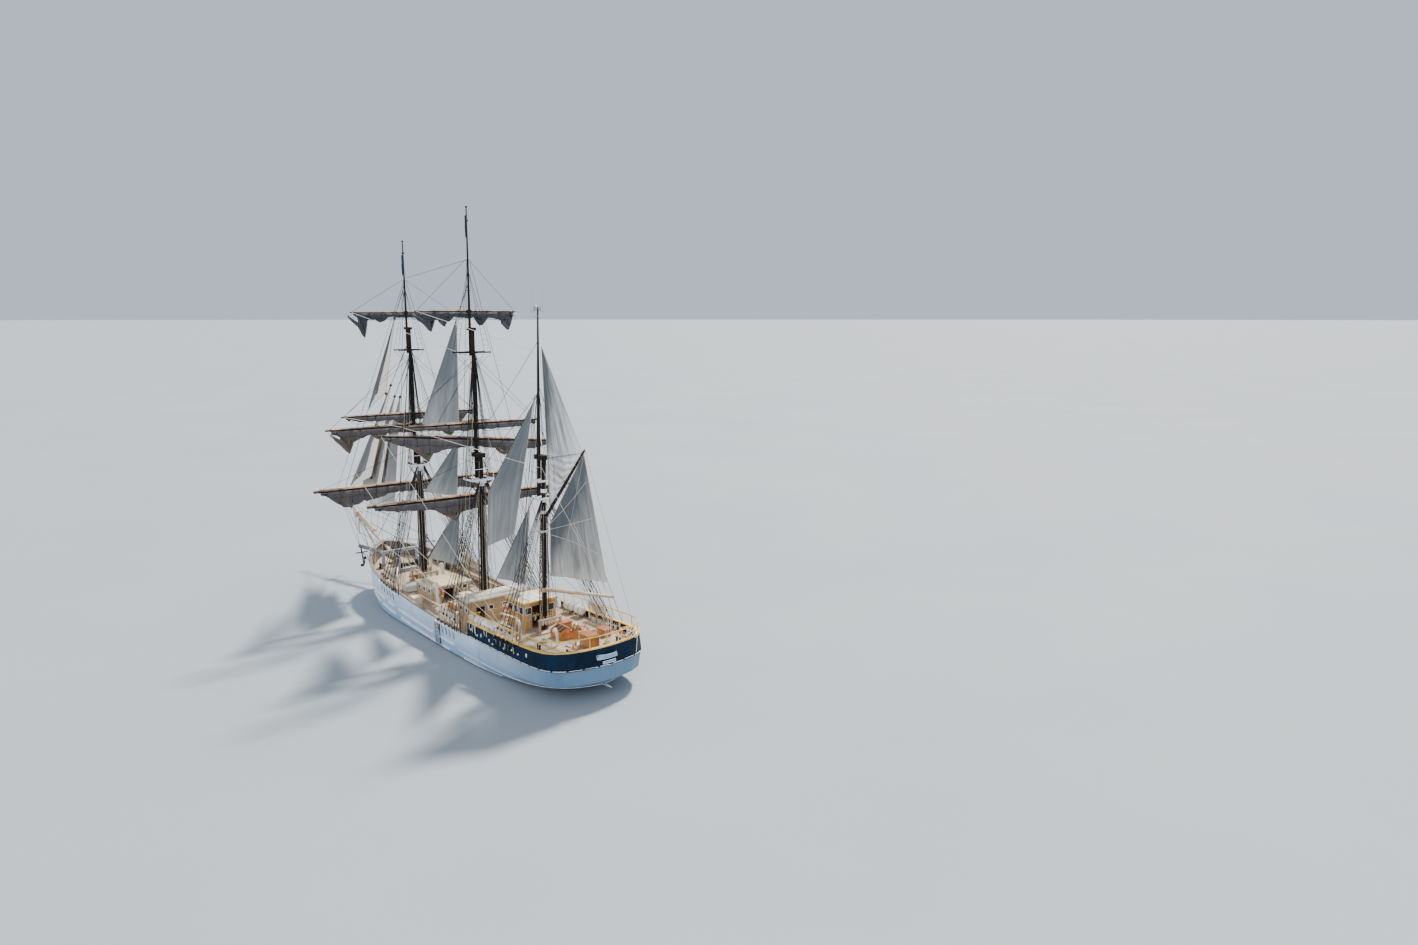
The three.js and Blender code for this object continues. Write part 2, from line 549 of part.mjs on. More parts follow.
function catheads() {
  const [x, y, z] = CATHEAD.inner;
  const posts = [1, -1].map((side) => box(x - 0.1, x + 0.1, side * y - 0.1, side * y + 0.1, 1, z));
  const across = beam(at(x, y, z), at(x, -y, z), CATHEAD.side);
  return join([across, catheadArm(1), catheadArm(-1), ...posts]).subtract(UNDER_MAIN_DECK);
}

function anchor(side) {
  const [x, y, z] = CATHEAD.outer;
  const ring = at(x - 0.1, side * (y - 0.12), z - 0.05);
  const crown = at(x - 1.5, side * (y + 0.2), z - 1.35);
  const shank = bar(ring, crown, 0.06, 8);
  const down = new THREE.Vector3().subVectors(crown, ring).normalize();
  const across = at(0, 1, 0).cross(down).normalize();
  const stockAt = (reach) => ring.clone().addScaledVector(down, 0.64).add(at(0, reach, 0));
  const stock = bar(stockAt(-0.5), stockAt(0.5), 0.05, 6);
  const arms = [1, -1].map((hand) => {
    const elbow = crown.clone().addScaledVector(across, hand * 0.35).addScaledVector(down, -0.1);
    const bill = crown.clone().addScaledVector(across, hand * 0.6).addScaledVector(down, -0.4);
    const fluke = beam(elbow.clone().lerp(bill, 0.5), bill, 0.2);
    return join([bar(crown, elbow, 0.06, 6), bar(elbow, bill, 0.05, 6), fluke]);
  });
  return join([shank, stock, ...arms]).subtract(catheadArm(side, TOUCH));
}

// Masts
function mastPole(mast, length, z0, z1, r0, r1, clear = 0) {
  const [heel, head] = [axisPoint(mast, length, z0), axisPoint(mast, length, z1)];
  return spar(heel, head, [[0, r0 + clear], [1, r1 + clear]], 12);
}

const MAST_HEEL_Z = 0.8;
const LOWER_TAPER = 0.85; // a lower mast's radius at its cap, as a share of that at its heel
const TOPMAST_HEAD_R = 0.13;
const MIZZEN_HEAD_R = 0.05;
const TRUCK_R = 0.04;
const DOUBLING = 0.25; // how far a mast's heel goes below the top or crosstrees that carry it
const lowerPole = (mast, clear = 0) => {
  const { radius, capZ } = MASTS[mast];
  return mastPole(mast, "lower", MAST_HEEL_Z, capZ, radius, radius * LOWER_TAPER, clear);
};
const topmastPole = (mast, clear = 0) => {
  const { topZ, headZ } = MASTS[mast];
  const tip = mast === "mizzen" ? MIZZEN_HEAD_R : TOPMAST_HEAD_R;
  return mastPole(mast, "topmast", topZ - DOUBLING, headZ, TOPMAST_R, tip, clear);
};
const topgallantPole = (mast, clear = 0) =>
  mastPole(mast, "pole", MASTS[mast].crossZ - DOUBLING, TRUCK_Z[mast], POLE_R, TRUCK_R, clear);

const CAP_BLOCK = { behind: 0.05, ahead: 0.12, side: 0.06, tall: 0.3 };
function lowerMast(mast) {
  const { radius, capZ } = MASTS[mast];
  const cap = axisPoint(mast, "lower", capZ);
  const { behind, ahead, side, tall } = CAP_BLOCK;
  const [back, front] = [cap.x - radius - behind, cap.x + TOPMAST_AHEAD + TOPMAST_R + ahead];
  const block = box(back, front, -radius - side, radius + side, capZ - tall, capZ);
  const under = mast === "mizzen" ? UNDER_QUARTERDECK : UNDER_MAIN_DECK;
  return cut(join([lowerPole(mast), block]), [topmastPole(mast, TOUCH), under]);
}

// Topmast and topgallant in one, held together by the crosstrees and a cap
const CROSSTREE_HALF = { fore: 1.05, main: 1.25 };
const CROSSTREES_AHEAD = [-0.25, 0.7];
function topmast(mast) {
  const pieces = [topmastPole(mast)];
  if (mast === "mizzen") return pieces[0];
  const { crossZ, headZ } = MASTS[mast];
  const low = axisPoint(mast, "topmast", crossZ);
  const high = axisPoint(mast, "topmast", headZ);
  const half = CROSSTREE_HALF[mast];
  pieces.push(topgallantPole(mast));
  pieces.push(box(low.x - 0.3, low.x + 0.75, -0.2, 0.2, crossZ - 0.07, crossZ + 0.07));
  for (const ahead of CROSSTREES_AHEAD) {
    const x = low.x + ahead;
    pieces.push(box(x - 0.06, x + 0.06, -half, half, crossZ - 0.05, crossZ + 0.05));
  }
  pieces.push(box(high.x - 0.2, high.x + POLE_AHEAD - TOPMAST_AHEAD + 0.18, -0.18, 0.18, headZ - 0.2, headZ));
  return join(pieces);
}

const TOPS = {
  fore: { long: 1.35, half: 0.7 },
  main: { long: 1.5, half: 0.9 },
  mizzen: { long: 1.25, half: 0.4 },
};
function top(mast) {
  const { topZ, radius } = MASTS[mast];
  const axis = axisPoint(mast, "lower", topZ);
  const { long, half } = TOPS[mast];
  const back = axis.x - radius - 0.2;
  const plate = box(back, back + long, -half, half, topZ - 0.06, topZ + 0.06);
  const trees = box(back + 0.1, back + long - 0.1, -radius - 0.1, radius + 0.1, topZ - 0.24, topZ);
  const stays = STAYSAILS.map((row) => stayBar(row, TOUCH));
  return cut(join([plate, trees]), [lowerPole(mast, TOUCH), topmastPole(mast, TOUCH), ...stays]);
}

// Yards and furled sails
function onYard(yard, along, ahead, up) {
  const tilt = THREE.MathUtils.degToRad(yard.tilt);
  const brace = THREE.MathUtils.degToRad(yard.brace);
  const y = along * Math.cos(tilt);
  const x = yard.ahead + ahead;
  const centre = axisPoint(yard.mast, yard.on, yard.z);
  return at(
    centre.x + x * Math.cos(brace) + y * Math.sin(brace),
    y * Math.cos(brace) - x * Math.sin(brace),
    yard.z + up + along * Math.sin(tilt),
  );
}

function mastRadius(yard, z) {
  const { radius, capZ, topZ, headZ, crossZ } = MASTS[yard.mast];
  const share = (heelZ, tipZ) => (z - heelZ) / (tipZ - heelZ);
  if (yard.on === "lower") return mix(radius, radius * LOWER_TAPER, share(MAST_HEEL_Z, capZ));
  if (yard.on === "topmast") return mix(TOPMAST_R, TOPMAST_HEAD_R, share(topZ - DOUBLING, headZ));
  return mix(POLE_R, TRUCK_R, share(crossZ - DOUBLING, TRUCK_Z[yard.mast]));
}

// A yard's radius at shares of its length, as a share of its middle radius
const YARD_TAPER = [[0, 0.4], [0.06, 0.55], [0.3, 0.85], [0.5, 1], [0.7, 0.85], [0.94, 0.55], [1, 0.4]];
function yardRadius(yard, share) {
  const i = YARD_TAPER.findIndex(([t], k) => k > 0 && share <= t);
  const [[t0, r0], [t1, r1]] = [YARD_TAPER[i - 1], YARD_TAPER[i]];
  return yard.radius * mix(r0, r1, (share - t0) / (t1 - t0));
}

function yardPole(yard, clear = 0) {
  const { half, radius } = yard;
  const radii = YARD_TAPER.map(([share, reach]) => [share, reach * radius + clear]);
  return spar(onYard(yard, -half, 0, 0), onYard(yard, half, 0, 0), radii);
}

// The short arm that holds a yard ahead of its mast
const TRUSS_SIDE = 0.18;
function yardTruss(yard, clear = 0) {
  return beam(axisPoint(yard.mast, yard.on, yard.z), onYard(yard, 0, 0, 0), TRUSS_SIDE + 2 * clear);
}

const COLLAR = { reach: 0.12, wall: 0.07, sides: 12 };
function yardSpar(yard) {
  const { mast, on, z } = yard;
  const { reach, wall, sides } = COLLAR;
  const inner = (mastRadius(yard, z - reach) + TOUCH) / Math.cos(Math.PI / sides);
  const along = (up, radius) => bar(axisPoint(mast, on, z - up), axisPoint(mast, on, z + up), radius, sides);
  return join([yardPole(yard), along(reach, inner + wall), yardTruss(yard)]).subtract(along(1, inner));
}

// A rolled sail under its yard, sagging where its bunts hang: the section in shares of its width and depth
const FURL_SECTION = [
  [-0.6, 0], [0.5, 0], [1, -0.2], [1.05, -0.55],
  [0.5, -1], [-0.3, -1], [-0.8, -0.6], [-0.9, -0.2],
];
const FURL_REACH = 0.93;
const FURL_WIDTH = { end: 0.12, middle: 0.24, ahead: 0.06 };
function furledSail(yard) {
  const { half, depths } = yard;
  const last = depths.length - 1;
  const sections = depths.map((depth, i) => {
    const along = mix(FURL_REACH * half, -FURL_REACH * half, i / last);
    const wide = mix(FURL_WIDTH.end, FURL_WIDTH.middle, Math.sin((Math.PI * i) / last));
    const top = -0.6 * yardRadius(yard, (along + half) / (2 * half));
    return FURL_SECTION.map(([ahead, down]) =>
      onYard(yard, along, wide * ahead + FURL_WIDTH.ahead, top + down * depth));
  });
  return cut(loft(sections), [yardPole(yard, TOUCH), yardTruss(yard, TOUCH)]);
}

// Sails
function sheet(grid, thick) {
  const rows = grid.length;
  const columns = grid[0].length;
  const [lastRow, lastColumn] = [rows - 1, columns - 1];
  const between = (a, b) => new THREE.Vector3().subVectors(b, a);
  const normalAt = (i, j) => {
    const along = between(grid[Math.max(i - 1, 0)][j], grid[Math.min(i + 1, lastRow)][j]);
    const over = between(grid[i][Math.max(j - 1, 0)], grid[i][Math.min(j + 1, lastColumn)]);
    return along.cross(over).normalize();
  };
  const moved = (p, i, j, side) => p.clone().addScaledVector(normalAt(i, j), (side * thick) / 2);
  const face = (side) => grid.flatMap((row, i) => row.map((p, j) => moved(p, i, j, side)));
  const points = [...face(1), ...face(-1)];
  const front = (i, j) => i * columns + j;
  const back = (i, j) => rows * columns + front(i, j);
  const triangles = [];
  const quad = (a, b, c, d) => triangles.push([a, b, c], [a, c, d]);
  for (let i = 0; i < lastRow; i++) {
    for (let j = 0; j < lastColumn; j++) {
      quad(front(i, j), front(i, j + 1), front(i + 1, j + 1), front(i + 1, j));
      quad(back(i, j + 1), back(i, j), back(i + 1, j), back(i + 1, j + 1));
    }
    quad(front(i + 1, 0), back(i + 1, 0), back(i, 0), front(i, 0));
    quad(front(i, lastColumn), back(i, lastColumn), back(i + 1, lastColumn), front(i + 1, lastColumn));
  }
  for (let j = 0; j < lastColumn; j++) {
    quad(front(0, j), back(0, j), back(0, j + 1), front(0, j + 1));
    quad(front(lastRow, j + 1), back(lastRow, j + 1), back(lastRow, j), front(lastRow, j));
  }
  return solid(points, triangles);
}

// The point at a share of the length of a path
function pointOn(path, share) {
  const lengths = path.slice(1).map((p, i) => p.distanceTo(path[i]));
  let left = share * lengths.reduce((a, b) => a + b, 0);
  let i = 0;
  while (i < lengths.length - 1 && left > lengths[i]) left -= lengths[i++];
  return path[i].clone().lerp(path[i + 1], Math.min(1, left / lengths[i]));
}

// A sail between its luff and its leech, each given from foot to head, bellied to starboard
function sailBetween(luff, leech, belly) {
  const width = Math.max(luff[0].distanceTo(leech[0]), 1);
  const grid = Array.from({ length: SAIL_ROWS }, (_, i) => {
    const share = i / (SAIL_ROWS - 1);
    const left = pointOn(luff, share);
    const right = pointOn(leech, share);
    return Array.from({ length: SAIL_COLUMNS }, (_, j) => {
      const across = j / (SAIL_COLUMNS - 1);
      const p = left.clone().lerp(right, across);
      const depth = belly * width * Math.sin(Math.PI * across) * (1 - share) * (0.4 + 1.2 * share);
      p.y -= depth;
      return p;
    });
  });
  return sheet(grid, SAIL_T);
}

// Every solid near a stay's ends, a little larger, so that the stay stops at its surface
function rigClearance() {
  const masts = Object.keys(MASTS).flatMap((mast) => [lowerPole(mast, TOUCH), topmastPole(mast, TOUCH)]);
  const poles = ["fore", "main"].map((mast) => topgallantPole(mast, TOUCH));
  const bows = [bowspritPole(TOUCH)];
  const { x0, x1, half, roofZ } = HOUSES.midship_deckhouse;
  const roof = box(x0, x1, -half, half, 2, roofZ + TOUCH);
  return [...masts, ...poles, ...bows, jibboomPole(TOUCH), roof];
}

const onCentre = ([x, z]) => at(x, 0, z);
const stayBar = ({ from, to }, clear = 0) => bar(onCentre(from), onCentre(to), STAY_R + clear, 6);

function staysail(row) {
  const corners = row.corners.map(onCentre);
  const [head, clew] = [corners[0], corners[corners.length - 1]];
  const jib = head.x > MASTS.fore.x;
  if (jib) clew.y = JIB_LEEWARD * (corners[1].x - clew.x);
  const tip = head.clone().lerp(clew, 0.03);
  const sail = sailBetween(corners.slice(0, -1).reverse(), [clew, tip], jib ? JIB_BELLY : BELLY);
  return cut(join([stayBar(row), sail]), rigClearance());
}

// Spanker: boom, gaff, and the two sails between them, all turning on the mizzen mast
const JAW = { reach: 0.14, wall: 0.08, sides: 12 };
function jawedSpar(gear) {
  const [, , z] = gear.heel;
  const { reach, wall, sides } = JAW;
  const mastR = mastRadius({ mast: "mizzen", on: "lower" }, z - reach);
  const inner = (mastR + TOUCH) / Math.cos(Math.PI / sides);
  const end = (up) => axisPoint("mizzen", "lower", z + up);
  const ring = (up, radius) => bar(end(-up), end(up), radius, sides);
  return join([ring(reach, inner + wall), gearPole(gear)]).subtract(ring(1, inner));
}

const gearPole = ({ heel, end, radius }, clear = 0) =>
  spar(at(...heel), at(...end), [[0, radius + clear], [0.5, radius + clear], [1, radius * 0.65 + clear]], 10);

function spanker() {
  const [peak, throat, tack, clew] = SPANKER.map((p) => at(...p));
  return sailBetween([tack, throat], [clew, peak], 0.06).subtract(gearPole(GAFF, TOUCH));
}

function gaffTopsail() {
  const [head, tack, clew] = GAFF_TOPSAIL.map((p) => at(...p));
  const tip = head.clone().lerp(clew, 0.02);
  return cut(sailBetween([tack, head], [clew, tip], 0.04), [
    gearPole(GAFF, TOUCH),
    lowerPole("mizzen", RUN),
    topmastPole("mizzen", RUN),
  ]);
}

// Rudder and propeller
function rudder() {
  const { x, stockR, top: head, bottom, chord, thick } = RUDDER;
  const stock = bar(at(x, 0, bottom), at(x, 0, 0.85), stockR, 12);
  const pin = bar(at(x, 0, bottom - 0.08 + TOUCH), at(x, 0, bottom + 0.1), 0.05, 8);
  const blade = box(x - chord, x, -thick / 2, thick / 2, bottom, head);
  return join([stock, pin, blade]);
}

function propeller() {
  const { x, z, radius, hub, blades } = PROPELLER;
  const boss = spar(at(x + 0.2, 0, z), at(x - 0.22, 0, z), [[0, hub], [0.7, hub], [1, 0.07]], 12);
  const turned = Array.from({ length: blades }, (_, i) => {
    const angle = (2 * Math.PI * i) / blades + Math.PI / 2;
    const out = at(0, Math.cos(angle), Math.sin(angle));
    const side = at(0, -Math.sin(angle), Math.cos(angle));
    const section = (r, wide, pitch) => {
      const centre = at(x, 0, z).addScaledVector(out, r);
      const edge = side.clone().multiplyScalar(Math.cos(pitch)).add(at(Math.sin(pitch), 0, 0));
      const face = new THREE.Vector3().crossVectors(edge, out).normalize().multiplyScalar(0.02);
      return [
        centre.clone().addScaledVector(edge, wide).add(face),
        centre.clone().addScaledVector(edge, -wide).add(face),
        centre.clone().addScaledVector(edge, -wide).sub(face),
        centre.clone().addScaledVector(edge, wide).sub(face),
      ];
    };
    return loft([
      section(0.08, 0.12, 0.75),
      section(radius * 0.5, 0.24, 0.6),
      section(radius * 0.8, 0.22, 0.45),
      section(radius, 0.08, 0.35),
    ]);
  });
  return join([boss, ...turned]);
}

// The assembly
const ship = new THREE.Group();
function add(name, made, material) {
  const { vertProperties, triVerts, numProp } = made.getMesh();
  const position = new Float32Array(triVerts.length * 3);
  triVerts.forEach((v, i) => {
    for (let k = 0; k < 3; k++) position[i * 3 + k] = vertProperties[v * numProp + k] * MM_PER_M;
  });
  const geometry = new THREE.BufferGeometry();
  geometry.setAttribute("position", new THREE.BufferAttribute(position, 3));
  geometry.computeVertexNormals();
  const mesh = new THREE.Mesh(geometry, material);
  mesh.name = name;
  ship.add(mesh);
}

add("hull", hull(), WHITE);
add("bulwark", bulwark(), WHITE);
add("main_deck", mainDeck(), PLANK);
add("quarterdeck", quarterdeck(), PLANK);
add("quarter_bulwark", quarterBulwark(), BLUE);
add("cap_rail", capRail(), DARK_WOOD);
add("quarter_rail", quarterRail(), YELLOW);
add("rudder", rudder(), WHITE);
add("propeller", propeller(), BRONZE);
add("fore_deckhouse", house({ ...HOUSES.fore_deckhouse, under: UNDER_MAIN_DECK }), CREAM);
add("midship_deckhouse", house({ ...HOUSES.midship_deckhouse, under: UNDER_MAIN_DECK }), CREAM);
add("charthouse", house({ ...HOUSES.charthouse, under: UNDER_QUARTERDECK }), VARNISH);
add("skylight", skylight(), VARNISH);
add("wheel_box", wheelBox(), VARNISH);
add("steering_wheel", steeringWheel(), VARNISH);
add("windlass_frame", windlassFrame(), IRON);
add("windlass_barrel", windlassBarrel(), IRON);
add("bowsprit", bowsprit(), CREAM);
add("jibboom", jibboomPole(0), CREAM);
add("catheads", catheads(), WHITE);
add("anchor_port", anchor(1), IRON);
add("anchor_starboard", anchor(-1), IRON);
for (const mast of ["fore", "main", "mizzen"]) {
  add(mast + "_lower_mast", lowerMast(mast), DARK_WOOD);
  add(mast + "_topmast", topmast(mast), DARK_WOOD);
  add(mast + "_top", top(mast), WHITE);
}
for (const yard of YARDS) {
  add(yard.name, yardSpar(yard), DARK_WOOD);
  add(yard.name.replace("_yard", "_furled"), furledSail(yard), CANVAS);
}
for (const sail of STAYSAILS) add(sail.name, staysail(sail), CANVAS);
add("spanker_boom", jawedSpar(BOOM), VARNISH);
add("gaff", jawedSpar(GAFF), DARK_WOOD);
add("spanker", spanker(), CANVAS);
add("gaff_topsail", gaffTopsail(), CANVAS);

export default ship;
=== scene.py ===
import math
import random

import bmesh
import bpy
from mathutils import Matrix, Vector, noise


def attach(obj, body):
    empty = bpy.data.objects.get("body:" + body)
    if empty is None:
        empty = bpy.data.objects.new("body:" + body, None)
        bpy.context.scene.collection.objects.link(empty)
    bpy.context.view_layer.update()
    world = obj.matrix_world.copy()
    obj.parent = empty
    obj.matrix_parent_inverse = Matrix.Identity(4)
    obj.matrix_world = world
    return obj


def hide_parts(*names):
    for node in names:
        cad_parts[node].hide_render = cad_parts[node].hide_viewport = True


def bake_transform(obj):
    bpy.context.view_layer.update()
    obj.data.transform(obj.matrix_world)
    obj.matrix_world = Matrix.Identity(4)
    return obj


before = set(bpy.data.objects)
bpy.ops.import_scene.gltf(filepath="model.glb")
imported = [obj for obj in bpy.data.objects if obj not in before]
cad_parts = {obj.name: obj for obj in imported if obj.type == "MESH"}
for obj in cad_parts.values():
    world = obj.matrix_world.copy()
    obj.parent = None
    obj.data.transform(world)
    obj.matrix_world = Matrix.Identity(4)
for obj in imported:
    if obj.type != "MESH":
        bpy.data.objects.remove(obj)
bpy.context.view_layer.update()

# A three-masted tall ship as a scale model at 1:2. Places are written in metres of the full-size ship,
# +X forward, +Y to port, +Z up from the waterline, and are halved when a piece's mesh is made.

bl_info = {
    "name": "Tall ship dressing",
    "version": (1, 0, 0),
    "blender": (4, 5, 0),
    "location": "3D View > Sidebar > Tall ship",
    "description": "Sails, rigging, deck gear and finishes for a three-masted tall ship",
    "category": "Object",
}

SCALE = 0.5  # model metres for one metre of the ship
SEED = 11
PORT_AND_STARBOARD = ((1, "port"), (-1, "starboard"))

# Hull lines: z amidships, share of the sheer aft and fore, x of each end, half breadth,
# then how full and how round the stern is, and the bow
LINES = {
    "keel": (-3.7, 0, 0, -14.0, 12.0, 0.16, (30, 1), (30, 1)),
    "garboard": (-3.2, 0, 0, -14.0, 13.0, 0.2, (30, 1), (30, 1)),
    "floor": (-2.6, 0, 0, -14.0, 13.9, 2.1, (1.6, 1), (2.4, 1)),
    "bilge": (-1.5, 0, 0, -14.05, 15.0, 3.35, (2.3, 1), (3.6, 1)),
    "water": (0, 0, 0, -15.3, 16.0, 3.76, (4, 1.3), (5.5, 1)),
    "knuckle": (0.6, 1, 0.6, -17.2, 16.6, 3.84, (8, 1.7), (5.5, 1)),
    "deck": (1.05, 1, 1, -17.9, 17.0, 3.87, (16, 2), (5.5, 1.1)),
    "rail": (2.05, 1, 1, -17.95, 17.3, 3.85, (20, 2), (5.5, 1.1)),
    "quarter": (3.03, 1.55, 1, -17.75, 17.3, 3.8, (20, 2), (5.5, 1.1)),
}
MIDDLE_X = -0.5
BREAK_X = -6.3
SHEER_LOW_X = -5
SHEER_FORE = 0.00366
SHEER_AFT = 0.0018

# Masts: x and z of the foot, lean aft for each metre up, radius, then z of cap, top, crosstrees,
# head and truck
MASTS = {
    "fore": (9.09, 1.7, 0.001, 0.2, 13.5, 11.77, 21.12, 22.95, 29.77),
    "main": (-1.47, 1.1, 0.0222, 0.22, 13.9, 11.96, 21.23, 23.0, 31.49),
    "mizzen": (-10.16, 2.6, 0.0428, 0.19, 14.73, 11.86, 0, 24.44, 24.44),
}
AHEAD = {"lower": 0.0, "topmast": 0.61, "pole": 1.05}

# Yards: mast, length of mast, z, ahead, half length, radius, tilt, brace, and the furled sail's nine depths
YARDS = {
    "fore_course": ("fore", "lower", 10.24, 0.85, 8.2, 0.17, 0, 2,
                    (0.25, 1.35, 1.0, 0.6, 0.62, 0.6, 0.8, 1.1, 0.25)),
    "fore_lower_topsail": ("fore", "topmast", 14.95, 0.5, 6.9, 0.15, 0, 3,
                           (0.3, 0.95, 0.45, 0.45, 0.5, 0.45, 0.45, 0.8, 0.25)),
    "fore_upper_topsail": ("fore", "topmast", 15.92, 0.42, 5.6, 0.13, 0, 5,
                           (0.2, 0.42, 0.42, 0.4, 0.42, 0.4, 0.42, 0.4, 0.2)),
    "fore_topgallant": ("fore", "pole", 24.1, 0.33, 4.4, 0.1, 0, 0,
                        (0.2, 0.6, 0.4, 0.3, 0.34, 0.3, 0.4, 0.6, 0.2)),
    "main_course": ("main", "lower", 10.67, 0.85, 8.1, 0.17, 0, 3,
                    (0.25, 0.5, 0.6, 1.1, 0.9, 0.6, 0.6, 0.5, 0.25)),
    "main_lower_topsail": ("main", "topmast", 14.89, 0.5, 7.0, 0.15, 5.5, 4,
                           (0.3, 0.7, 1.1, 0.7, 0.5, 0.6, 0.7, 0.6, 0.25)),
    "main_upper_topsail": ("main", "topmast", 16.02, 0.42, 5.3, 0.13, 0, 6,
                           (0.16, 0.26, 0.34, 0.4, 0.42, 0.42, 0.42, 0.4, 0.2)),
    "main_topgallant": ("main", "pole", 24.15, 0.33, 4.0, 0.1, 0, 0,
                        (0.2, 0.6, 0.4, 0.35, 0.42, 0.35, 0.4, 0.6, 0.2)),
}

# Staysails: the stay's two ends, then the sail's corners as x, z: head, tack, clew, or head, nock, tack, clew
STAYSAILS = {
    "flying_jib": ((10.12, 26.35), (27.01, 6.7), ((12.36, 23.74), (19.5, 15.44), (13.3, 17.5))),
    "outer_jib": ((10.13, 21.6), (26.4, 6.52), ((13.9, 18.11), (25.3, 7.54), (17, 9.87))),
    "inner_jib": ((9.68, 20.8), (24.3, 5.89), ((13.2, 17.21), (23.2, 7.01), (15.4, 8.6))),
    "fore_staysail": ((9.68, 20.3), (21.7, 5.11), ((12.1, 17.24), (20.4, 6.75), (12.2, 8))),
    "main_topgallant_staysail": ((-0.98, 26.19), (9.69, 13.37), ((1.15, 23.63), (8.13, 15.24), (1.5, 15.5))),
    "main_topmast_staysail": ((-1.2, 16.75), (9.08, 9.07), ((1.73, 14.56), (8.34, 9.62), (2.34, 10.07))),
    "main_staysail": ((-1.11, 11.91), (9.08, 3.39), ((2.08, 9.24), (8.28, 4.06), (2.54, 4.54))),
    "mizzen_topmast_staysail": ((-10.25, 18.87), (-1.68, 10.05),
                                ((-9.57, 18.17), (-2.77, 11.17), (-2.33, 7.05), (-6.4, 8.65))),
    "mizzen_staysail": ((-9.96, 12.55), (-2.55, 3.56), ((-8.58, 10.88), (-3.6, 4.84), (-7.74, 5.27))),
}
SAIL_T = 0.012
JIB_LEEWARD = 0.12  # how far a jib's clew is blown to port, as a share of its distance aft of the tack
JIB_BELLY = -0.02
STAYSAIL_BELLY = 0.05
BOOM = ((-10.28, 0, 5.5), (-17.57, -0.62, 6.5), 0.13)
GAFF = ((-10.49, 0, 10.3), (-15.0, -0.4, 15.5), 0.11)
SPANKER = ((-14.9, -0.39, 15.3), (-11.2, -0.05, 10.25), (-11.1, -0.05, 6.6), (-16.9, -0.58, 7.3))
GAFF_TOPSAIL = ((-10.8, 0, 21.9), (-11.28, -0.02, 11.4), (-14.72, -0.375, 15.3))

# The camera stands where the photograph was taken from, in metres of the ship
CAMERA_AT = (-64.53, 32.06, 23.751)
CAMERA_PITCH = math.radians(9.356)
CAMERA_AHEAD = (0.7568, -0.6536)
CAMERA_LENS = 23.96


def vec(x, y, z):
    return Vector((x, y, z))


def mix(a, b, t):
    return a + (b - a) * t


def round_angles(count, more=0):
    """The angles of count equal steps round a circle, and of some more after them."""
    return [2 * math.pi * k / count for k in range(count + more)]


def round_path(centre, way, radius, count):
    """Points on a circle that faces a way."""
    aside = way.orthogonal().normalized()
    across = way.cross(aside)
    return [centre + (aside * math.cos(a) + across * math.sin(a)) * radius for a in round_angles(count)]


def toned(colour, *shares):
    """A colour made darker or lighter, by one share or by one for each of its channels."""
    return [c * k for c, k in zip(colour[:3], shares * 3 if len(shares) == 1 else shares)]


def smooth(t):
    t = min(1.0, max(0.0, t))
    return t * t * (3 - 2 * t)


def sheer(line, x):
    z, aft, fore = LINES[line][:3]
    return z + (SHEER_FORE * fore if x > SHEER_LOW_X else SHEER_AFT * aft) * (x - SHEER_LOW_X) ** 2


def breadth(line, x, inset=0.0):
    _, _, _, stern, bow, half, stern_power, bow_power = LINES[line]
    end = bow - 1.5 * inset if x > MIDDLE_X else stern + inset
    full, round_ = bow_power if x > MIDDLE_X else stern_power
    share = min(1.0, abs(x - MIDDLE_X) / abs(end - MIDDLE_X))
    return (half - inset) * (1 - share ** full) ** (1 / round_)


def hull_side(x, z):
    """Half breadth of the hull's outside at a place along it and a height."""
    names = list(LINES)
    heights = [sheer(name, x) for name in names]
    for low, high, z0, z1 in zip(names, names[1:], heights, heights[1:]):
        if z <= z1:
            return mix(breadth(low, x), breadth(high, x), min(1.0, max(0.0, (z - z0) / (z1 - z0))))
    return breadth(names[-1], x)


def deck_z(x):
    if x < BREAK_X:
        return 2.6 + SHEER_AFT * (x - SHEER_LOW_X) ** 2
    return sheer("deck", x) + 0.08


def mast_point(mast, length, z):
    x, foot, lean = MASTS[mast][:3]
    return vec(x - lean * (z - foot) + AHEAD[length], 0, z)


def on_yard(name, along, ahead, up):
    """A point by its distance along a yard from the middle to port, ahead of it and above it."""
    mast, length, z, out, _, _, tilt, brace, _ = YARDS[name]
    tilt, brace = math.radians(tilt), math.radians(brace)
    centre = mast_point(mast, length, z)
    x, y = out + ahead, along * math.cos(tilt)
    return vec(
        centre.x + x * math.cos(brace) + y * math.sin(brace),
        y * math.cos(brace) - x * math.sin(brace),
        z + up + along * math.sin(tilt),
    )


YARD_TAPER = ((0, 0.4), (0.06, 0.55), (0.3, 0.85), (0.5, 1), (0.7, 0.85), (0.94, 0.55), (1, 0.4))


def table_value(rows, share):
    for (s0, v0), (s1, v1) in zip(rows, rows[1:]):
        if share <= s1:
            return mix(v0, v1, (share - s0) / (s1 - s0))
    return rows[-1][1]


def yard_radius(name, along):
    half, radius = YARDS[name][4:6]
    return radius * table_value(YARD_TAPER, (along + half) / (2 * half))


def along_path(path, share):
    """The point at a share of the length of a path."""
    path = [Vector(p) for p in path]
    lengths = [(b - a).length for a, b in zip(path, path[1:])]
    left = share * sum(lengths)
    i = 0
    while i < len(lengths) - 1 and left > lengths[i]:
        left -= lengths[i]
        i += 1
    return path[i].lerp(path[i + 1], min(1.0, left / lengths[i]))


def sagged(start, end, depth, steps=8):
    """A path from start to end that hangs below the straight line by depth at its middle."""
    start, end = Vector(start), Vector(end)
    path = []
    for i in range(steps + 1):
        t = i / steps
        point = start.lerp(end, t)
        point.z -= depth * 4 * t * (1 - t)
        path.append(point)
    return path


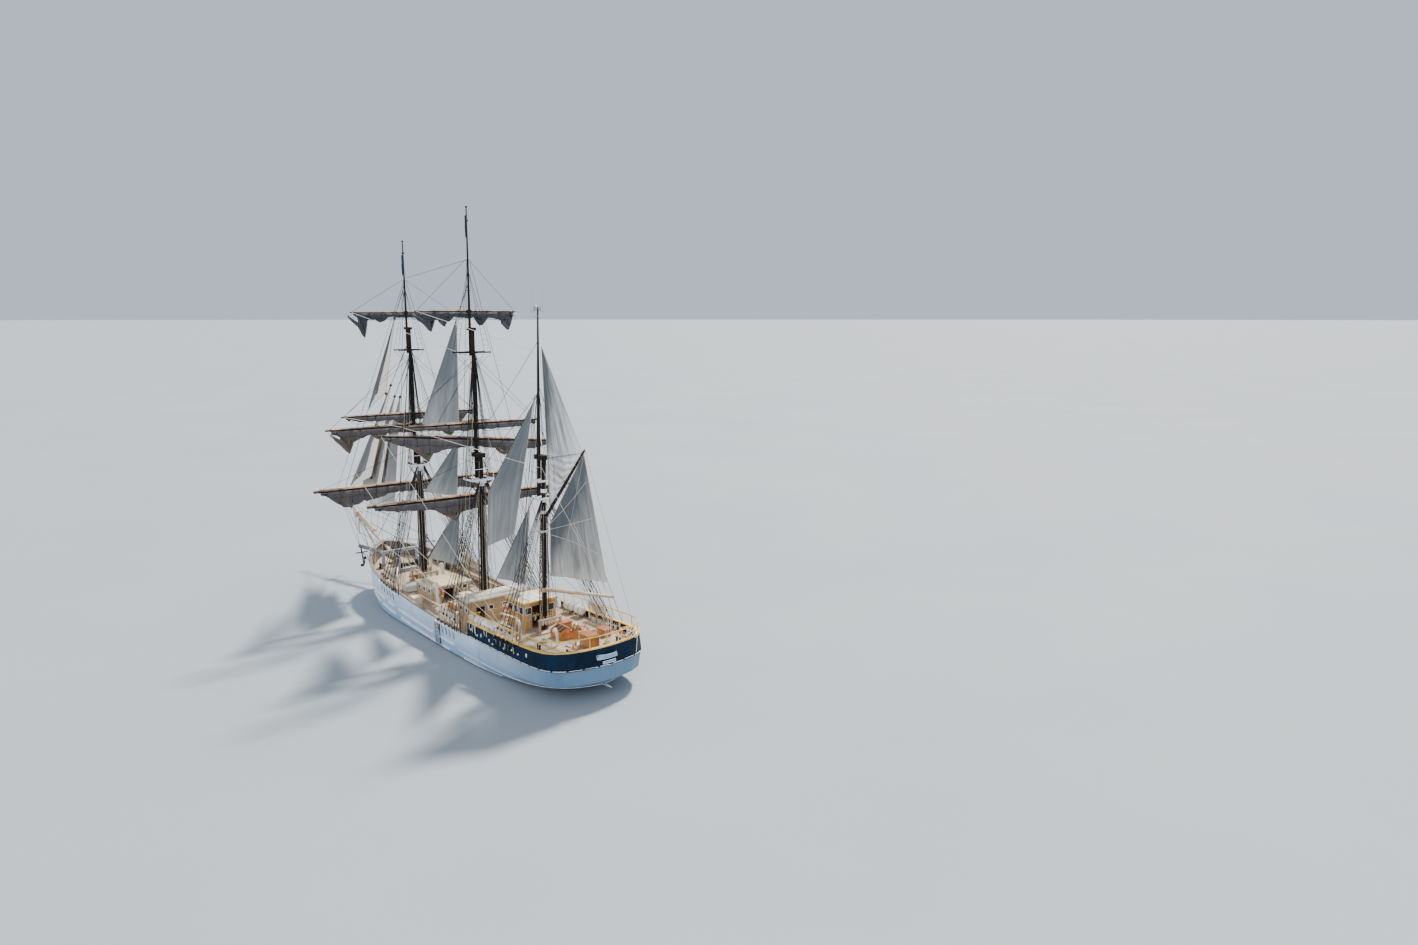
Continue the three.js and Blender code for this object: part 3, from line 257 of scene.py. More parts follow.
# Meshes
class Shape:
    """Points and faces in metres of the ship, each face with the number of its material."""

    def __init__(self):
        self.points, self.faces, self.kinds, self.uvs, self.spread = [], [], [], {}, {}

    def add(self, points, faces, kind=0):
        base = len(self.points)
        self.points += [Vector(p) for p in points]
        self.faces += [[base + i for i in face] for face in faces]
        self.kinds += [kind] * len(faces)
        return base

    def sections(self, rings, kind=0, closed=False, caps=True):
        count = len(rings[0])
        faces = []
        last = len(rings) if closed else len(rings) - 1
        for i in range(last):
            a, b = i * count, ((i + 1) % len(rings)) * count
            faces += [[a + j, a + (j + 1) % count, b + (j + 1) % count, b + j] for j in range(count)]
        if caps and not closed:
            faces.append(list(reversed(range(count))))
            faces.append([(len(rings) - 1) * count + j for j in range(count)])
        return self.add([p for ring in rings for p in ring], faces, kind)

    def turned(self, start, end, profile, sides=12, kind=0):
        """A round bar from start to end whose radius is given at shares of its length."""
        start, end = Vector(start), Vector(end)
        turn = (end - start).to_track_quat("Z", "Y").to_matrix()
        rings = []
        for share, radius in profile:
            centre = start.lerp(end, share)
            ring = []
            for j in range(sides):
                angle = 2 * math.pi * (j + 0.5) / sides
                ring.append(centre + turn @ vec(radius * math.cos(angle), radius * math.sin(angle), 0))
            rings.append(ring)
        return self.sections(rings, kind)

    def tube(self, path, radius, sides=8, kind=0, closed=False):
        path = [Vector(p) for p in path]
        rings = []
        side = None
        for i, point in enumerate(path):
            before = path[i - 1] if i or closed else point
            after = path[(i + 1) % len(path)] if i < len(path) - 1 or closed else point
            ahead = (after - before).normalized()
            if side is None:
                side = ahead.orthogonal().normalized()
            side = (side - ahead * side.dot(ahead)).normalized()
            up = ahead.cross(side)
            reach = radius[i] if isinstance(radius, (list, tuple)) else radius
            rings.append([
                point + (side * math.cos(a) + up * math.sin(a)) * reach
                for a in round_angles(sides)
            ])
        return self.sections(rings, kind, closed)

    def beam(self, start, end, wide, high, kind=0, up=(0, 0, 1), bevel=0.12):
        """A bar of rectangular section with its corners taken off."""
        start, end = Vector(start), Vector(end)
        ahead = (end - start).normalized()
        side = Vector(up).cross(ahead).normalized()
        top = ahead.cross(side)
        c = bevel * min(wide, high)
        w, h = wide / 2, high / 2
        corners = [(w, h - c), (w - c, h), (c - w, h), (-w, h - c), (-w, c - h), (c - w, -h),
                   (w - c, -h), (w, c - h)]
        rings = [[p + side * a + top * b for a, b in corners] for p in (start, end)]
        return self.sections(rings, kind)

    def block(self, low, high, kind=0, bevel=0.02):
        """A box with its edges taken off."""
        low, high = Vector(low), Vector(high)
        middle = (low + high) / 2
        half = (high - low) / 2
        cut = min(bevel, min(half) * 0.45)
        rings = []
        for z, inset in ((-half.z, cut), (cut - half.z, 0), (half.z - cut, 0), (half.z, cut)):
            w, d = half.x - inset, half.y - inset
            c = cut * 0.8
            ring = [(w, c - d), (w, d - c), (w - c, d), (c - w, d), (-w, d - c), (-w, c - d),
                    (c - w, -d), (w - c, -d)]
            rings.append([middle + vec(x, y, z) for x, y in ring])
        return self.sections(rings, kind)

    def plate(self, grid, thick, kind=0, normal=None):
        """A grid of points given thickness, with its edges closed. Returns the middle surface's area."""
        rows, columns = len(grid), len(grid[0])
        grid = [[Vector(p) for p in row] for row in grid]
        faces_of = []
        for side in (0.5, -0.5):
            points = []
            for i in range(rows):
                for j in range(columns):
                    along = grid[min(i + 1, rows - 1)][j] - grid[max(i - 1, 0)][j]
                    over = grid[i][min(j + 1, columns - 1)] - grid[i][max(j - 1, 0)]
                    across = along.cross(over)
                    across = across.normalized() if across.length > 1e-9 else Vector(normal or (0, 1, 0))
                    points.append(grid[i][j] + across * thick * side)
            faces_of.append(points)
        count = rows * columns
        faces = []
        for i in range(rows - 1):
            for j in range(columns - 1):
                a, b = i * columns + j, (i + 1) * columns + j
                faces.append([a, a + 1, b + 1, b])
                faces.append([count + a, count + b, count + b + 1, count + a + 1])
        rim = [j for j in range(columns)]
        rim += [i * columns + columns - 1 for i in range(1, rows)]
        rim += [(rows - 1) * columns + j for j in range(columns - 2, -1, -1)]
        rim += [i * columns for i in range(rows - 2, 0, -1)]
        for a, b in zip(rim, rim[1:] + rim[:1]):
            faces.append([b, a, count + a, count + b])
        base = self.add(faces_of[0] + faces_of[1], faces, kind)
        for i in range(rows):
            for j in range(columns):
                u = sum((grid[i][k + 1] - grid[i][k]).length for k in range(j, columns - 1))
                v = sum((grid[k + 1][j] - grid[k][j]).length for k in range(i))
                self.uvs[base + i * columns + j] = (u, v)
                self.uvs[base + count + i * columns + j] = (u, v)
        area = 0.0
        for i in range(rows - 1):
            for j in range(columns - 1):
                a, b, c, d = grid[i][j], grid[i][j + 1], grid[i + 1][j + 1], grid[i + 1][j]
                area += ((b - a).cross(c - a).length + (c - a).cross(d - a).length) / 2
        return area

    def piece(self, name, body, paints, slot=None, crease=35):
        """Makes the object, at the model's size, in one paint or several, and rides it on a body."""
        paints = [paints] if isinstance(paints, str) else paints
        mesh = bpy.data.meshes.new(name)
        mesh.from_pydata([p * SCALE for p in self.points], [], self.faces)
        for paint in paints:
            mesh.materials.append(PAINTS[paint])
        mesh.polygons.foreach_set("material_index", self.kinds)
        if self.uvs:
            layer = mesh.uv_layers.new(name="UVMap")
            for loop in mesh.loops:
                layer.data[loop.index].uv = self.uvs.get(loop.vertex_index, (0, 0))
        if self.spread:
            layer = mesh.attributes.new("spread", "FLOAT_VECTOR", "POINT")
            for i, values in self.spread.items():
                layer.data[i].vector = values
        outwards(mesh, crease)
        return placed(name, mesh, body)


def outwards(mesh, crease):
    work = bmesh.new()
    work.from_mesh(mesh)
    bmesh.ops.recalc_face_normals(work, faces=work.faces)
    work.to_mesh(mesh)
    work.free()
    mesh.shade_smooth()
    mesh.set_sharp_from_angle(angle=math.radians(crease))


def placed(name, mesh, body):
    piece = bpy.data.objects.new(name, mesh)
    bpy.context.scene.collection.objects.link(piece)
    if body:
        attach(piece, body)
    return piece


# Geometry Nodes
def fill(tree, socket, value):
    """Links a value into a socket, or sets it there, a colour without its fourth channel."""
    if isinstance(value, bpy.types.NodeSocket):
        tree.links.new(value, socket)
    elif socket.type == "RGBA":
        socket.default_value = tuple(value)[:3] + (1,)
    else:
        socket.default_value = value


def node_in(tree, kind, inputs=None, **settings):
    """Adds a node, sets it, and fills or links its inputs, which are given by name or number."""
    made = tree.nodes.new(kind)
    for key, value in settings.items():
        setattr(made, key, value)
    for key, value in (inputs or {}).items():
        fill(tree, made.inputs[key], value)
    return made


def new_tree(name, sockets):
    tree = bpy.data.node_groups.new(name, "GeometryNodeTree")
    tree.interface.new_socket("Geometry", in_out="INPUT", socket_type="NodeSocketGeometry")
    for label, kind, default in sockets:
        socket = tree.interface.new_socket(label, in_out="INPUT", socket_type=kind)
        if default is not None:
            socket.default_value = default
    tree.interface.new_socket("Geometry", in_out="OUTPUT", socket_type="NodeSocketGeometry")
    return tree, tree.nodes.new("NodeGroupInput").outputs


def end_tree(tree, made, material):
    whole = node_in(tree, "GeometryNodeRealizeInstances", {0: made})
    painted = node_in(tree, "GeometryNodeSetMaterial", {"Geometry": whole.outputs[0], "Material": material})
    node_in(tree, "NodeGroupOutput", {0: painted.outputs[0]})
    return tree


def rope_tree():
    """Turns each run of edges into a round rope, its thickness read from the points."""
    tree, given = new_tree("Rope along edges", [
        ("Thickness", "NodeSocketFloat", 1.0),
        ("Sides", "NodeSocketInt", 5),
        ("Material", "NodeSocketMaterial", None),
    ])
    line = node_in(tree, "GeometryNodeMeshToCurve", {"Mesh": given["Geometry"]})
    thick = node_in(tree, "GeometryNodeInputNamedAttribute", {"Name": "thickness"}, data_type="FLOAT")
    scale = node_in(tree, "ShaderNodeMath", {0: thick.outputs[0], 1: given["Thickness"]},
                    operation="MULTIPLY")
    ring = node_in(tree, "GeometryNodeCurvePrimitiveCircle", {"Resolution": given["Sides"], "Radius": 1.0})
    rope = node_in(tree, "GeometryNodeCurveToMesh", {
        "Curve": line.outputs[0], "Profile Curve": ring.outputs[0], "Scale": scale.outputs[0],
        "Fill Caps": True,
    })
    return end_tree(tree, rope.outputs[0], given["Material"])


def bead_tree():
    """Sets a short round or square-cut block on every point, turned along the point's direction."""
    tree, given = new_tree("Blocks on points", [
        ("Radius", "NodeSocketFloat", 0.05),
        ("Length", "NodeSocketFloat", 0.05),
        ("Sides", "NodeSocketInt", 8),
        ("Unevenness", "NodeSocketFloat", 0.08),
        ("Seed", "NodeSocketInt", SEED),
        ("Material", "NodeSocketMaterial", None),
    ])
    spots = node_in(tree, "GeometryNodeMeshToPoints", {"Mesh": given["Geometry"]})
    block = node_in(tree, "GeometryNodeMeshCylinder", {
        "Vertices": given["Sides"], "Radius": given["Radius"], "Depth": given["Length"],
    })
    way = node_in(tree, "GeometryNodeInputNamedAttribute", {"Name": "way"}, data_type="FLOAT_VECTOR")
    turn = node_in(tree, "FunctionNodeAlignRotationToVector", {"Vector": way.outputs[0]}, axis="Z")
    low = node_in(tree, "ShaderNodeMath", {0: 1.0, 1: given["Unevenness"]}, operation="SUBTRACT")
    high = node_in(tree, "ShaderNodeMath", {0: 1.0, 1: given["Unevenness"]}, operation="ADD")
    size = node_in(tree, "FunctionNodeRandomValue", data_type="FLOAT")
    tree.links.new(low.outputs[0], size.inputs[2])
    tree.links.new(high.outputs[0], size.inputs[3])
    tree.links.new(given["Seed"], size.inputs["Seed"])
    blocks = node_in(tree, "GeometryNodeInstanceOnPoints", {
        "Points": spots.outputs[0], "Instance": block.outputs[0],
        "Rotation": turn.outputs[0], "Scale": size.outputs[1],
    })
    return end_tree(tree, blocks.outputs[0], given["Material"])


TREES = {}


def grown(name, mesh, tree_name, values):
    """Runs a node tree on a mesh with the given inputs and returns the result as a plain mesh."""
    if tree_name not in TREES:
        TREES[tree_name] = {"rope": rope_tree, "beads": bead_tree}[tree_name]()
    tree = TREES[tree_name]
    carrier = bpy.data.objects.new(name + "_lines", mesh)
    bpy.context.scene.collection.objects.link(carrier)
    modifier = carrier.modifiers.new("Shape", "NODES")
    modifier.node_group = tree
    for item in tree.interface.items_tree:
        if item.item_type == "SOCKET" and item.in_out == "INPUT" and item.name in values:
            modifier[item.identifier] = values[item.name]
    carrier.update_tag()
    bpy.context.view_layer.update()
    ready = carrier.evaluated_get(bpy.context.evaluated_depsgraph_get())
    made = bpy.data.meshes.new_from_object(ready)
    made.name = name
    carrier.modifiers.remove(modifier)
    bpy.data.objects.remove(carrier)
    return made


def ropes(name, body, lines, paint, sides=5, blend=None):
    """One piece of taut ropes: each line is a path and its radius in metres of the ship.

    Where blend is given, the piece rides on no body and is baked in place; the second body and place that
    blend names are not used."""
    mesh = bpy.data.meshes.new(name + "_paths")
    points, edges, radii = [], [], []
    for path, radius in lines:
        base = len(points)
        points += [Vector(p) * SCALE for p in path]
        edges += [(base + i, base + i + 1) for i in range(len(path) - 1)]
        radii += [radius * SCALE] * len(path)
    mesh.from_pydata(points, edges, [])
    mesh.attributes.new("thickness", "FLOAT", "POINT").data.foreach_set("value", radii)
    made = grown(name, mesh, "rope", {"Thickness": 1.0, "Sides": sides, "Material": PAINTS[paint]})
    outwards(made, 60)
    piece = placed(name, made, None if blend else body)
    if blend:
        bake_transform(piece)
    return piece


def beads(name, body, spots, paint, radius, length, sides=8, uneven=0.08):
    """Small blocks set on points: each spot is a place and the way that its axis points."""
    mesh = bpy.data.meshes.new(name + "_spots")
    mesh.from_pydata([Vector(p) * SCALE for p, _ in spots], [], [])
    ways = [value for _, way in spots for value in Vector(way).normalized()]
    mesh.attributes.new("way", "FLOAT_VECTOR", "POINT").data.foreach_set("vector", ways)
    made = grown(name, mesh, "beads", {
        "Radius": radius * SCALE, "Length": length * SCALE, "Sides": sides,
        "Unevenness": uneven, "Seed": SEED, "Material": PAINTS[paint],
    })
    outwards(made, 40)
    return placed(name, made, body)


# Finishes
PAINTS = {}


def new_group(name, inputs, outputs):
    """A shader node group with named inputs (name, kind, default) and outputs (name, kind)."""
    tree = bpy.data.node_groups.new(name, "ShaderNodeTree")
    for label, kind, default in inputs:
        socket = tree.interface.new_socket(label, in_out="INPUT", socket_type="NodeSocket" + kind)
        if default is not None:
            socket.default_value = default
    for label, kind in outputs:
        tree.interface.new_socket(label, in_out="OUTPUT", socket_type="NodeSocket" + kind)
    return tree, tree.nodes.new("NodeGroupInput").outputs


def end_group(tree, **results):
    out = tree.nodes.new("NodeGroupOutput")
    for label, value in results.items():
        tree.links.new(value, out.inputs[label])
    return tree


def blend_colour(tree, share, a, b, how="MIX"):
    made = tree.nodes.new("ShaderNodeMix")
    made.data_type, made.blend_type = "RGBA", how
    for key, value in ((0, share), (6, a), (7, b)):
        fill(tree, made.inputs[key], value)
    return made.outputs[2]


def axes(tree, value):
    """The x, y and z of a vector."""
    return node_in(tree, "ShaderNodeSeparateXYZ", {0: value}).outputs


def face_way(tree):
    """The x, y and z of the way that a face looks."""
    return axes(tree, node_in(tree, "ShaderNodeNewGeometry").outputs["Normal"])


def sums(tree, how, a, b=0.0, c=None, clamp=False):
    inputs = {0: a, 1: b}
    if c is not None:
        inputs[2] = c
    return node_in(tree, "ShaderNodeMath", inputs, operation=how, use_clamp=clamp).outputs[0]


def times(tree, a, b, clamp=False):
    return sums(tree, "MULTIPLY", a, b, clamp=clamp)


def plus(tree, a, b, clamp=False):
    return sums(tree, "ADD", a, b, clamp=clamp)


def noisy(tree, where, scale, detail=4.0, stretch=(1, 1, 1), rough=0.55):
    shaped = node_in(tree, "ShaderNodeMapping", {"Vector": where, "Scale": stretch})
    return node_in(tree, "ShaderNodeTexNoise", {
        "Vector": shaped.outputs[0], "Scale": scale, "Detail": detail, "Roughness": rough,
    }).outputs[0]


def ranged(tree, value, low, high, to_low=0.0, to_high=1.0):
    return node_in(tree, "ShaderNodeMapRange", {
        0: value, 1: low, 2: high, 3: to_low, 4: to_high,
    }).outputs[0]


def weather_group():
    """Stains in patches and in streaks that run down, over any colour."""
    tree, given = new_group("Weathering", [
        ("Where", "Vector", None), ("Colour", "Color", (0.8, 0.8, 0.8, 1)),
        ("Stain", "Color", (0.2, 0.15, 0.1, 1)), ("Patches", "Float", 0.3), ("Streaks", "Float", 0.3),
        ("Grain size", "Float", 6.0),
    ], [("Colour", "Color"), ("Mask", "Float")])
    patches = ranged(tree, noisy(tree, given["Where"], 0.7, 6.0), 0.45, 0.75)
    fine = ranged(tree, noisy(tree, given["Where"], given["Grain size"], 5.0), 0.4, 0.8)
    streaks = ranged(tree, noisy(tree, given["Where"], 3.0, 5.0, (1.6, 1.6, 0.12)), 0.5, 0.72)
    patchy = times(tree, plus(tree, patches, fine), given["Patches"])
    mask = plus(tree, patchy, times(tree, streaks, given["Streaks"]), clamp=True)
    return end_group(tree, Colour=blend_colour(tree, mask, given["Colour"], given["Stain"]), Mask=mask)


def grain_group():
    """Wood grain along one direction, with darker lines."""
    tree, given = new_group("Wood grain", [
        ("Where", "Vector", None), ("Colour", "Color", (0.3, 0.2, 0.1, 1)),
        ("Dark", "Color", (0.1, 0.06, 0.03, 1)), ("Stretch", "Vector", (0.4, 8.0, 8.0)),
        ("Strength", "Float", 0.6),
    ], [("Colour", "Color"), ("Height", "Float")])
    shaped = node_in(tree, "ShaderNodeVectorMath", {0: given["Where"], 1: given["Stretch"]},
                     operation="MULTIPLY")
    lines = node_in(tree, "ShaderNodeTexNoise", {
        "Vector": shaped.outputs[0], "Scale": 3.0, "Detail": 7.0, "Roughness": 0.65, "Distortion": 0.4,
    }).outputs[0]
    mask = times(tree, ranged(tree, lines, 0.4, 0.65), given["Strength"])
    return end_group(tree, Colour=blend_colour(tree, mask, given["Colour"], given["Dark"]), Height=lines)


def plank_group():
    """Laid planks along the ship with caulked seams and butts, each plank a little different."""
    tree, given = new_group("Planking", [
        ("Where", "Vector", None), ("Colour", "Color", (0.5, 0.4, 0.3, 1)),
        ("Other", "Color", (0.4, 0.3, 0.2, 1)), ("Caulking", "Color", (0.05, 0.04, 0.03, 1)),
        ("Plank width", "Float", 0.06), ("Plank length", "Float", 1.6),
    ], [("Colour", "Color"), ("Height", "Float")])
    brick = node_in(tree, "ShaderNodeTexBrick", {
        "Vector": given["Where"], "Color1": given["Colour"], "Color2": given["Other"],
        "Mortar": given["Caulking"], "Scale": 1.0, "Mortar Size": 0.0035, "Mortar Smooth": 0.3, "Bias": 0.0,
        "Brick Width": given["Plank length"], "Row Height": given["Plank width"],
    }, offset=0.37, offset_frequency=2)
    return end_group(tree, Colour=brick.outputs[0], Height=sums(tree, "SUBTRACT", 1.0, brick.outputs[1]))


def canvas_group():
    """Sailcloth sewn from upright cloths, with seams, creases, water stains and a fine weave.

    Spread tells where on the sail a point is: across from luff to leech, up from foot to head, and how far
    its fold stands out. The colour carries painted light: painted shade that grows towards the head, tilted
    across the sail by Lean, and lies along the luff and in the hollows of pleats and folds, and painted
    highlight towards the foot, along the leech and on the crowns of pleats and folds. The cloth is also
    lighter from cloth to cloth and in washed blots."""
    tree, given = new_group("Sailcloth", [
        ("Where", "Vector", None), ("Spread", "Vector", None), ("Colour", "Color", (0.5, 0.5, 0.45, 1)),
        ("Stain", "Color", (0.25, 0.22, 0.18, 1)), ("Pale", "Color", (0.7, 0.68, 0.6, 1)),
        ("Shade", "Color", (0.1, 0.1, 0.12, 1)), ("Cloth width", "Float", 0.62), ("Streaks", "Float", 0.6),
        ("Lean", "Float", 0.0), ("Leech", "Float", 2.0), ("Pleats", "Float", 0.5), ("Bleach and highlight", "Float", 1.0),
    ], [("Colour", "Color"), ("Height", "Float")])
    spread = axes(tree, given["Spread"])
    # Painted light over the sail, falling off towards the head, tilted across it by Lean and wavering with
    # noise.
    light_noise = times(tree, noisy(tree, given["Where"], 0.3, 4.0), 0.7)
    slope = sums(tree, "MULTIPLY_ADD", spread[0], given["Lean"], times(tree, spread[1], -1.15))
    light = plus(tree, slope, light_noise)
    # Pleats: painted shade in their hollows and painted highlight on their crowns, as upright stripes.
    pleats = noisy(tree, given["Spread"], 1.0, 5.0, (15.0, 0.7, 0.0), 0.6)
    pleat_painted_shade = times(tree, ranged(tree, pleats, 0.5, 0.34), given["Pleats"])
    pleat_painted_highlight = times(tree, ranged(tree, pleats, 0.54, 0.7), given["Pleats"])
    bleach_and_highlight = given["Bleach and highlight"]
    # Folds: painted shade in their hollows and painted highlight on their ridges, by how far each stands out.
    fold_painted_shade = ranged(tree, spread[2], -0.1, -0.9, 0.0, 0.8)
    fold_painted_highlight = times(tree, ranged(tree, spread[2], 0.1, 1.0, 0.0, 0.9), bleach_and_highlight)
    # A band along the leech and the foot: a painted highlight of light on and through the cloth.
    low = ranged(tree, spread[1], 0.13, 0.0, 0.0, 0.66)
    wavy = times(tree, noisy(tree, given["Where"], 0.5, 3.0), 0.25)
    beyond = sums(tree, "SUBTRACT", plus(tree, plus(tree, spread[0], low), wavy), given["Leech"])
    leech = ranged(tree, beyond, 0.12, 0.19, 0.0, 0.95)
    # Painted shade along the luff.
    luff = ranged(tree, spread[0], 0.07, 0.0, 0.0, 0.35)
    cloths = sums(tree, "DIVIDE", axes(tree, given["Where"])[0], given["Cloth width"])
    across = sums(tree, "FRACT", cloths)
    edge = sums(tree, "ABSOLUTE", sums(tree, "SUBTRACT", across, 0.5))
    seam = ranged(tree, edge, 0.455, 0.48)
    which = node_in(tree, "ShaderNodeTexWhiteNoise", {1: sums(tree, "FLOOR", cloths)}, noise_dimensions="1D")
    streaks = ranged(tree, noisy(tree, given["Where"], 2.2, 6.0, (1.5, 0.1, 1), 0.62), 0.38, 0.68)
    blots = ranged(tree, noisy(tree, given["Where"], 0.35, 5.0, (1, 0.6, 1)), 0.4, 0.68)
    creases = noisy(tree, given["Where"], 1.4, 4.0, (2.4, 0.22, 1), 0.5)
    weave = noisy(tree, given["Where"], 90.0, 1.0)
    uneven = times(tree, times(tree, which.outputs[0], 0.28), bleach_and_highlight)
    base = blend_colour(tree, uneven, given["Colour"], given["Pale"])
    stained = blend_colour(tree, times(tree, streaks, given["Streaks"]), base, given["Stain"])
    washing = times(tree, times(tree, blots, 0.5), bleach_and_highlight)
    washed = blend_colour(tree, washing, stained, given["Pale"])
    # Painted shade of the pleats and the luff, then the painted highlight of the pleats.
    crease_shaded = blend_colour(tree, sums(tree, "MAXIMUM", pleat_painted_shade, luff), washed, given["Shade"])
    pleat_highlight_lines = times(tree, times(tree, pleat_painted_highlight, 0.5), bleach_and_highlight)
    crease_shaded = blend_colour(tree, pleat_highlight_lines, crease_shaded, given["Pale"])
    # Painted shade towards the head, painted highlight towards the foot, along the leech band and on fold
    # ridges, then painted shade in fold hollows.
    shaded = blend_colour(tree, ranged(tree, light, 0.26, -0.28, 0.0, 0.92), crease_shaded, given["Shade"])
    painted_highlight = times(tree, ranged(tree, light, 0.38, 0.8, 0.0, 0.8), bleach_and_highlight)
    highlighted_colour = blend_colour(tree, painted_highlight, shaded, given["Pale"])
    highlighted_colour = blend_colour(tree, sums(tree, "MAXIMUM", leech, fold_painted_highlight), highlighted_colour, given["Pale"])
    fold_shaded = blend_colour(tree, fold_painted_shade, highlighted_colour, given["Shade"])
    sewn = blend_colour(tree, times(tree, seam, 0.35), fold_shaded, given["Stain"])
    height = plus(tree, times(tree, creases, 1.0), times(tree, weave, 0.06))
    return end_group(tree, Colour=sewn, Height=plus(tree, height, times(tree, seam, 0.12)))


def top_wear_and_highlight_group():
    """Where a face looks up, the finish is lighter in uneven patches: rubbed-through wear, and on the yards
    and furled sails also a painted highlight where light falls on their tops.
    """
    tree, given = new_group("Worn and lit top", [
        ("Where", "Vector", None), ("Colour", "Color", (0.1, 0.1, 0.1, 1)),
        ("Bare and lit", "Color", (0.5, 0.35, 0.2, 1)), ("Amount", "Float", 0.8),
    ], [("Colour", "Color"), ("Mask", "Float")])
    up = ranged(tree, face_way(tree)[2], 0.1, 0.75)
    patches = ranged(tree, noisy(tree, given["Where"], 2.6, 5.0), 0.3, 0.6)
    mask = times(tree, times(tree, up, patches), given["Amount"], clamp=True)
    return end_group(tree, Colour=blend_colour(tree, mask, given["Colour"], given["Bare and lit"]), Mask=mask)


def strand_group():
    """The lay of a rope: fine slanting lines, with a little dirt."""
    tree, given = new_group("Rope lay", [
        ("Where", "Vector", None), ("Colour", "Color", (0.5, 0.45, 0.35, 1)),
        ("Dark", "Color", (0.2, 0.17, 0.12, 1)), ("Lay", "Float", 60.0),
    ], [("Colour", "Color"), ("Height", "Float")])
    lay = node_in(tree, "ShaderNodeTexWave", {
        "Vector": given["Where"], "Scale": given["Lay"], "Distortion": 1.2, "Detail": 1.0,
    }, wave_type="BANDS", bands_direction="DIAGONAL").outputs[1]
    dirt = ranged(tree, noisy(tree, given["Where"], 1.2, 4.0), 0.4, 0.7)
    mask = plus(tree, times(tree, lay, 0.35), times(tree, dirt, 0.4), clamp=True)
    return end_group(tree, Colour=blend_colour(tree, mask, given["Colour"], given["Dark"]), Height=lay)


GROUPS = {}
GROUP_MAKERS = {
    "weather": weather_group, "grain": grain_group, "planks": plank_group, "canvas": canvas_group,
    "worn": top_wear_and_highlight_group, "strand": strand_group,
}


def effect(tree, name, inputs):
    if name not in GROUPS:
        GROUPS[name] = GROUP_MAKERS[name]()
    made = tree.nodes.new("ShaderNodeGroup")
    made.node_tree = GROUPS[name]
    for key, value in inputs.items():
        fill(tree, made.inputs[key], value)
    return made.outputs


def weathered(tree, where, colour, stain, patches, streaks, size):
    """A colour stained in patches and streaks, with the mask of where the stains lie."""
    return effect(tree, "weather", {
        "Where": where, "Colour": colour, "Stain": stain, "Patches": patches, "Streaks": streaks,
        "Grain size": size,
    })


def new_material(name, rough=0.6, metal=0.0, coat=0.0, sheen=0.0, shine=0.5):
    """A material with its tree, its shader and the coordinates of a point on the object and on its cloth."""
    material = bpy.data.materials.new(name)
    material.use_nodes = True
    tree = material.node_tree
    tree.nodes.clear()
    out = tree.nodes.new("ShaderNodeOutputMaterial")
    shader = tree.nodes.new("ShaderNodeBsdfPrincipled")
    tree.links.new(shader.outputs[0], out.inputs[0])
    shader.inputs["Roughness"].default_value = rough
    shader.inputs["Metallic"].default_value = metal
    shader.inputs["Coat Weight"].default_value = coat
    shader.inputs["Sheen Weight"].default_value = sheen
    shader.inputs["Specular IOR Level"].default_value = shine
    where = tree.nodes.new("ShaderNodeTexCoord").outputs
    return material, tree, shader, where["Object"], where["UV"]


def finish_with(tree, shader, colour, height=None, bump=0.15, distance=0.01, rough=None):
    tree.links.new(colour, shader.inputs["Base Color"])
    if height is not None:
        bumped = node_in(tree, "ShaderNodeBump", {"Strength": bump, "Distance": distance, "Height": height})
        tree.links.new(bumped.outputs[0], shader.inputs["Normal"])
    if rough is not None:
        tree.links.new(rough, shader.inputs["Roughness"])


def painted(name, colour, stain=(0.12, 0.09, 0.06), rough=0.5, patches=0.25, streaks=0.3, metal=0.0, size=6.0,
            bump=0.12, shine=0.5):
    material, tree, shader, at, _ = new_material(name, rough, metal, shine=shine)
    out = weathered(tree, at, colour, stain, patches, streaks, size)
    uneven = noisy(tree, at, 14.0, 4.0)
    rougher = ranged(tree, plus(tree, out["Mask"], uneven), 0.2, 1.4, rough - 0.1, min(1.0, rough + 0.3))
    finish_with(tree, shader, out["Colour"], uneven, bump, 0.01, rougher)
    return material


def wooden(name, colour, dark, stretch=(0.4, 8.0, 8.0), rough=0.6, coat=0.0,
           strength=0.7, worn=None, amount=0.7, stain=(0.05, 0.035, 0.02), patches=0.2, shine=0.5):
    material, tree, shader, at, _ = new_material(name, rough, 0.0, coat, shine=shine)
    wood = effect(tree, "grain", {
        "Where": at, "Colour": colour, "Dark": dark, "Stretch": stretch, "Strength": strength,
    })
    aged = weathered(tree, at, wood["Colour"], stain, patches, 0.15, 9.0)
    last = aged["Colour"]
    # worn lightens the faces that look up: wear, and on the yards also a painted highlight.
    if worn:
        last = effect(tree, "worn", {"Where": at, "Colour": last, "Bare and lit": worn, "Amount": amount})["Colour"]
    rougher = ranged(tree, wood["Height"], 0.3, 0.7, rough - 0.08, rough + 0.12)
    finish_with(tree, shader, last, wood["Height"], 0.25, 0.006, rougher)
    return material


def planked(name, colour, other, caulking, width=0.06, stain=(0.16, 0.12, 0.09), patches=0.35):
    material, tree, shader, at, _ = new_material(name, 0.75)
    planks = effect(tree, "planks", {
        "Where": at, "Colour": colour, "Other": other, "Caulking": caulking, "Plank width": width,
    })
    wood = effect(tree, "grain", {
        "Where": at, "Colour": planks["Colour"], "Dark": stain, "Stretch": (0.5, 9.0, 9.0), "Strength": 0.35,
    })
    aged = weathered(tree, at, wood["Colour"], stain, patches, 0.0, 5.0)
    height = plus(tree, planks["Height"], times(tree, wood["Height"], 0.25))
    finish_with(tree, shader, aged["Colour"], height, 0.4, 0.004)
    return material


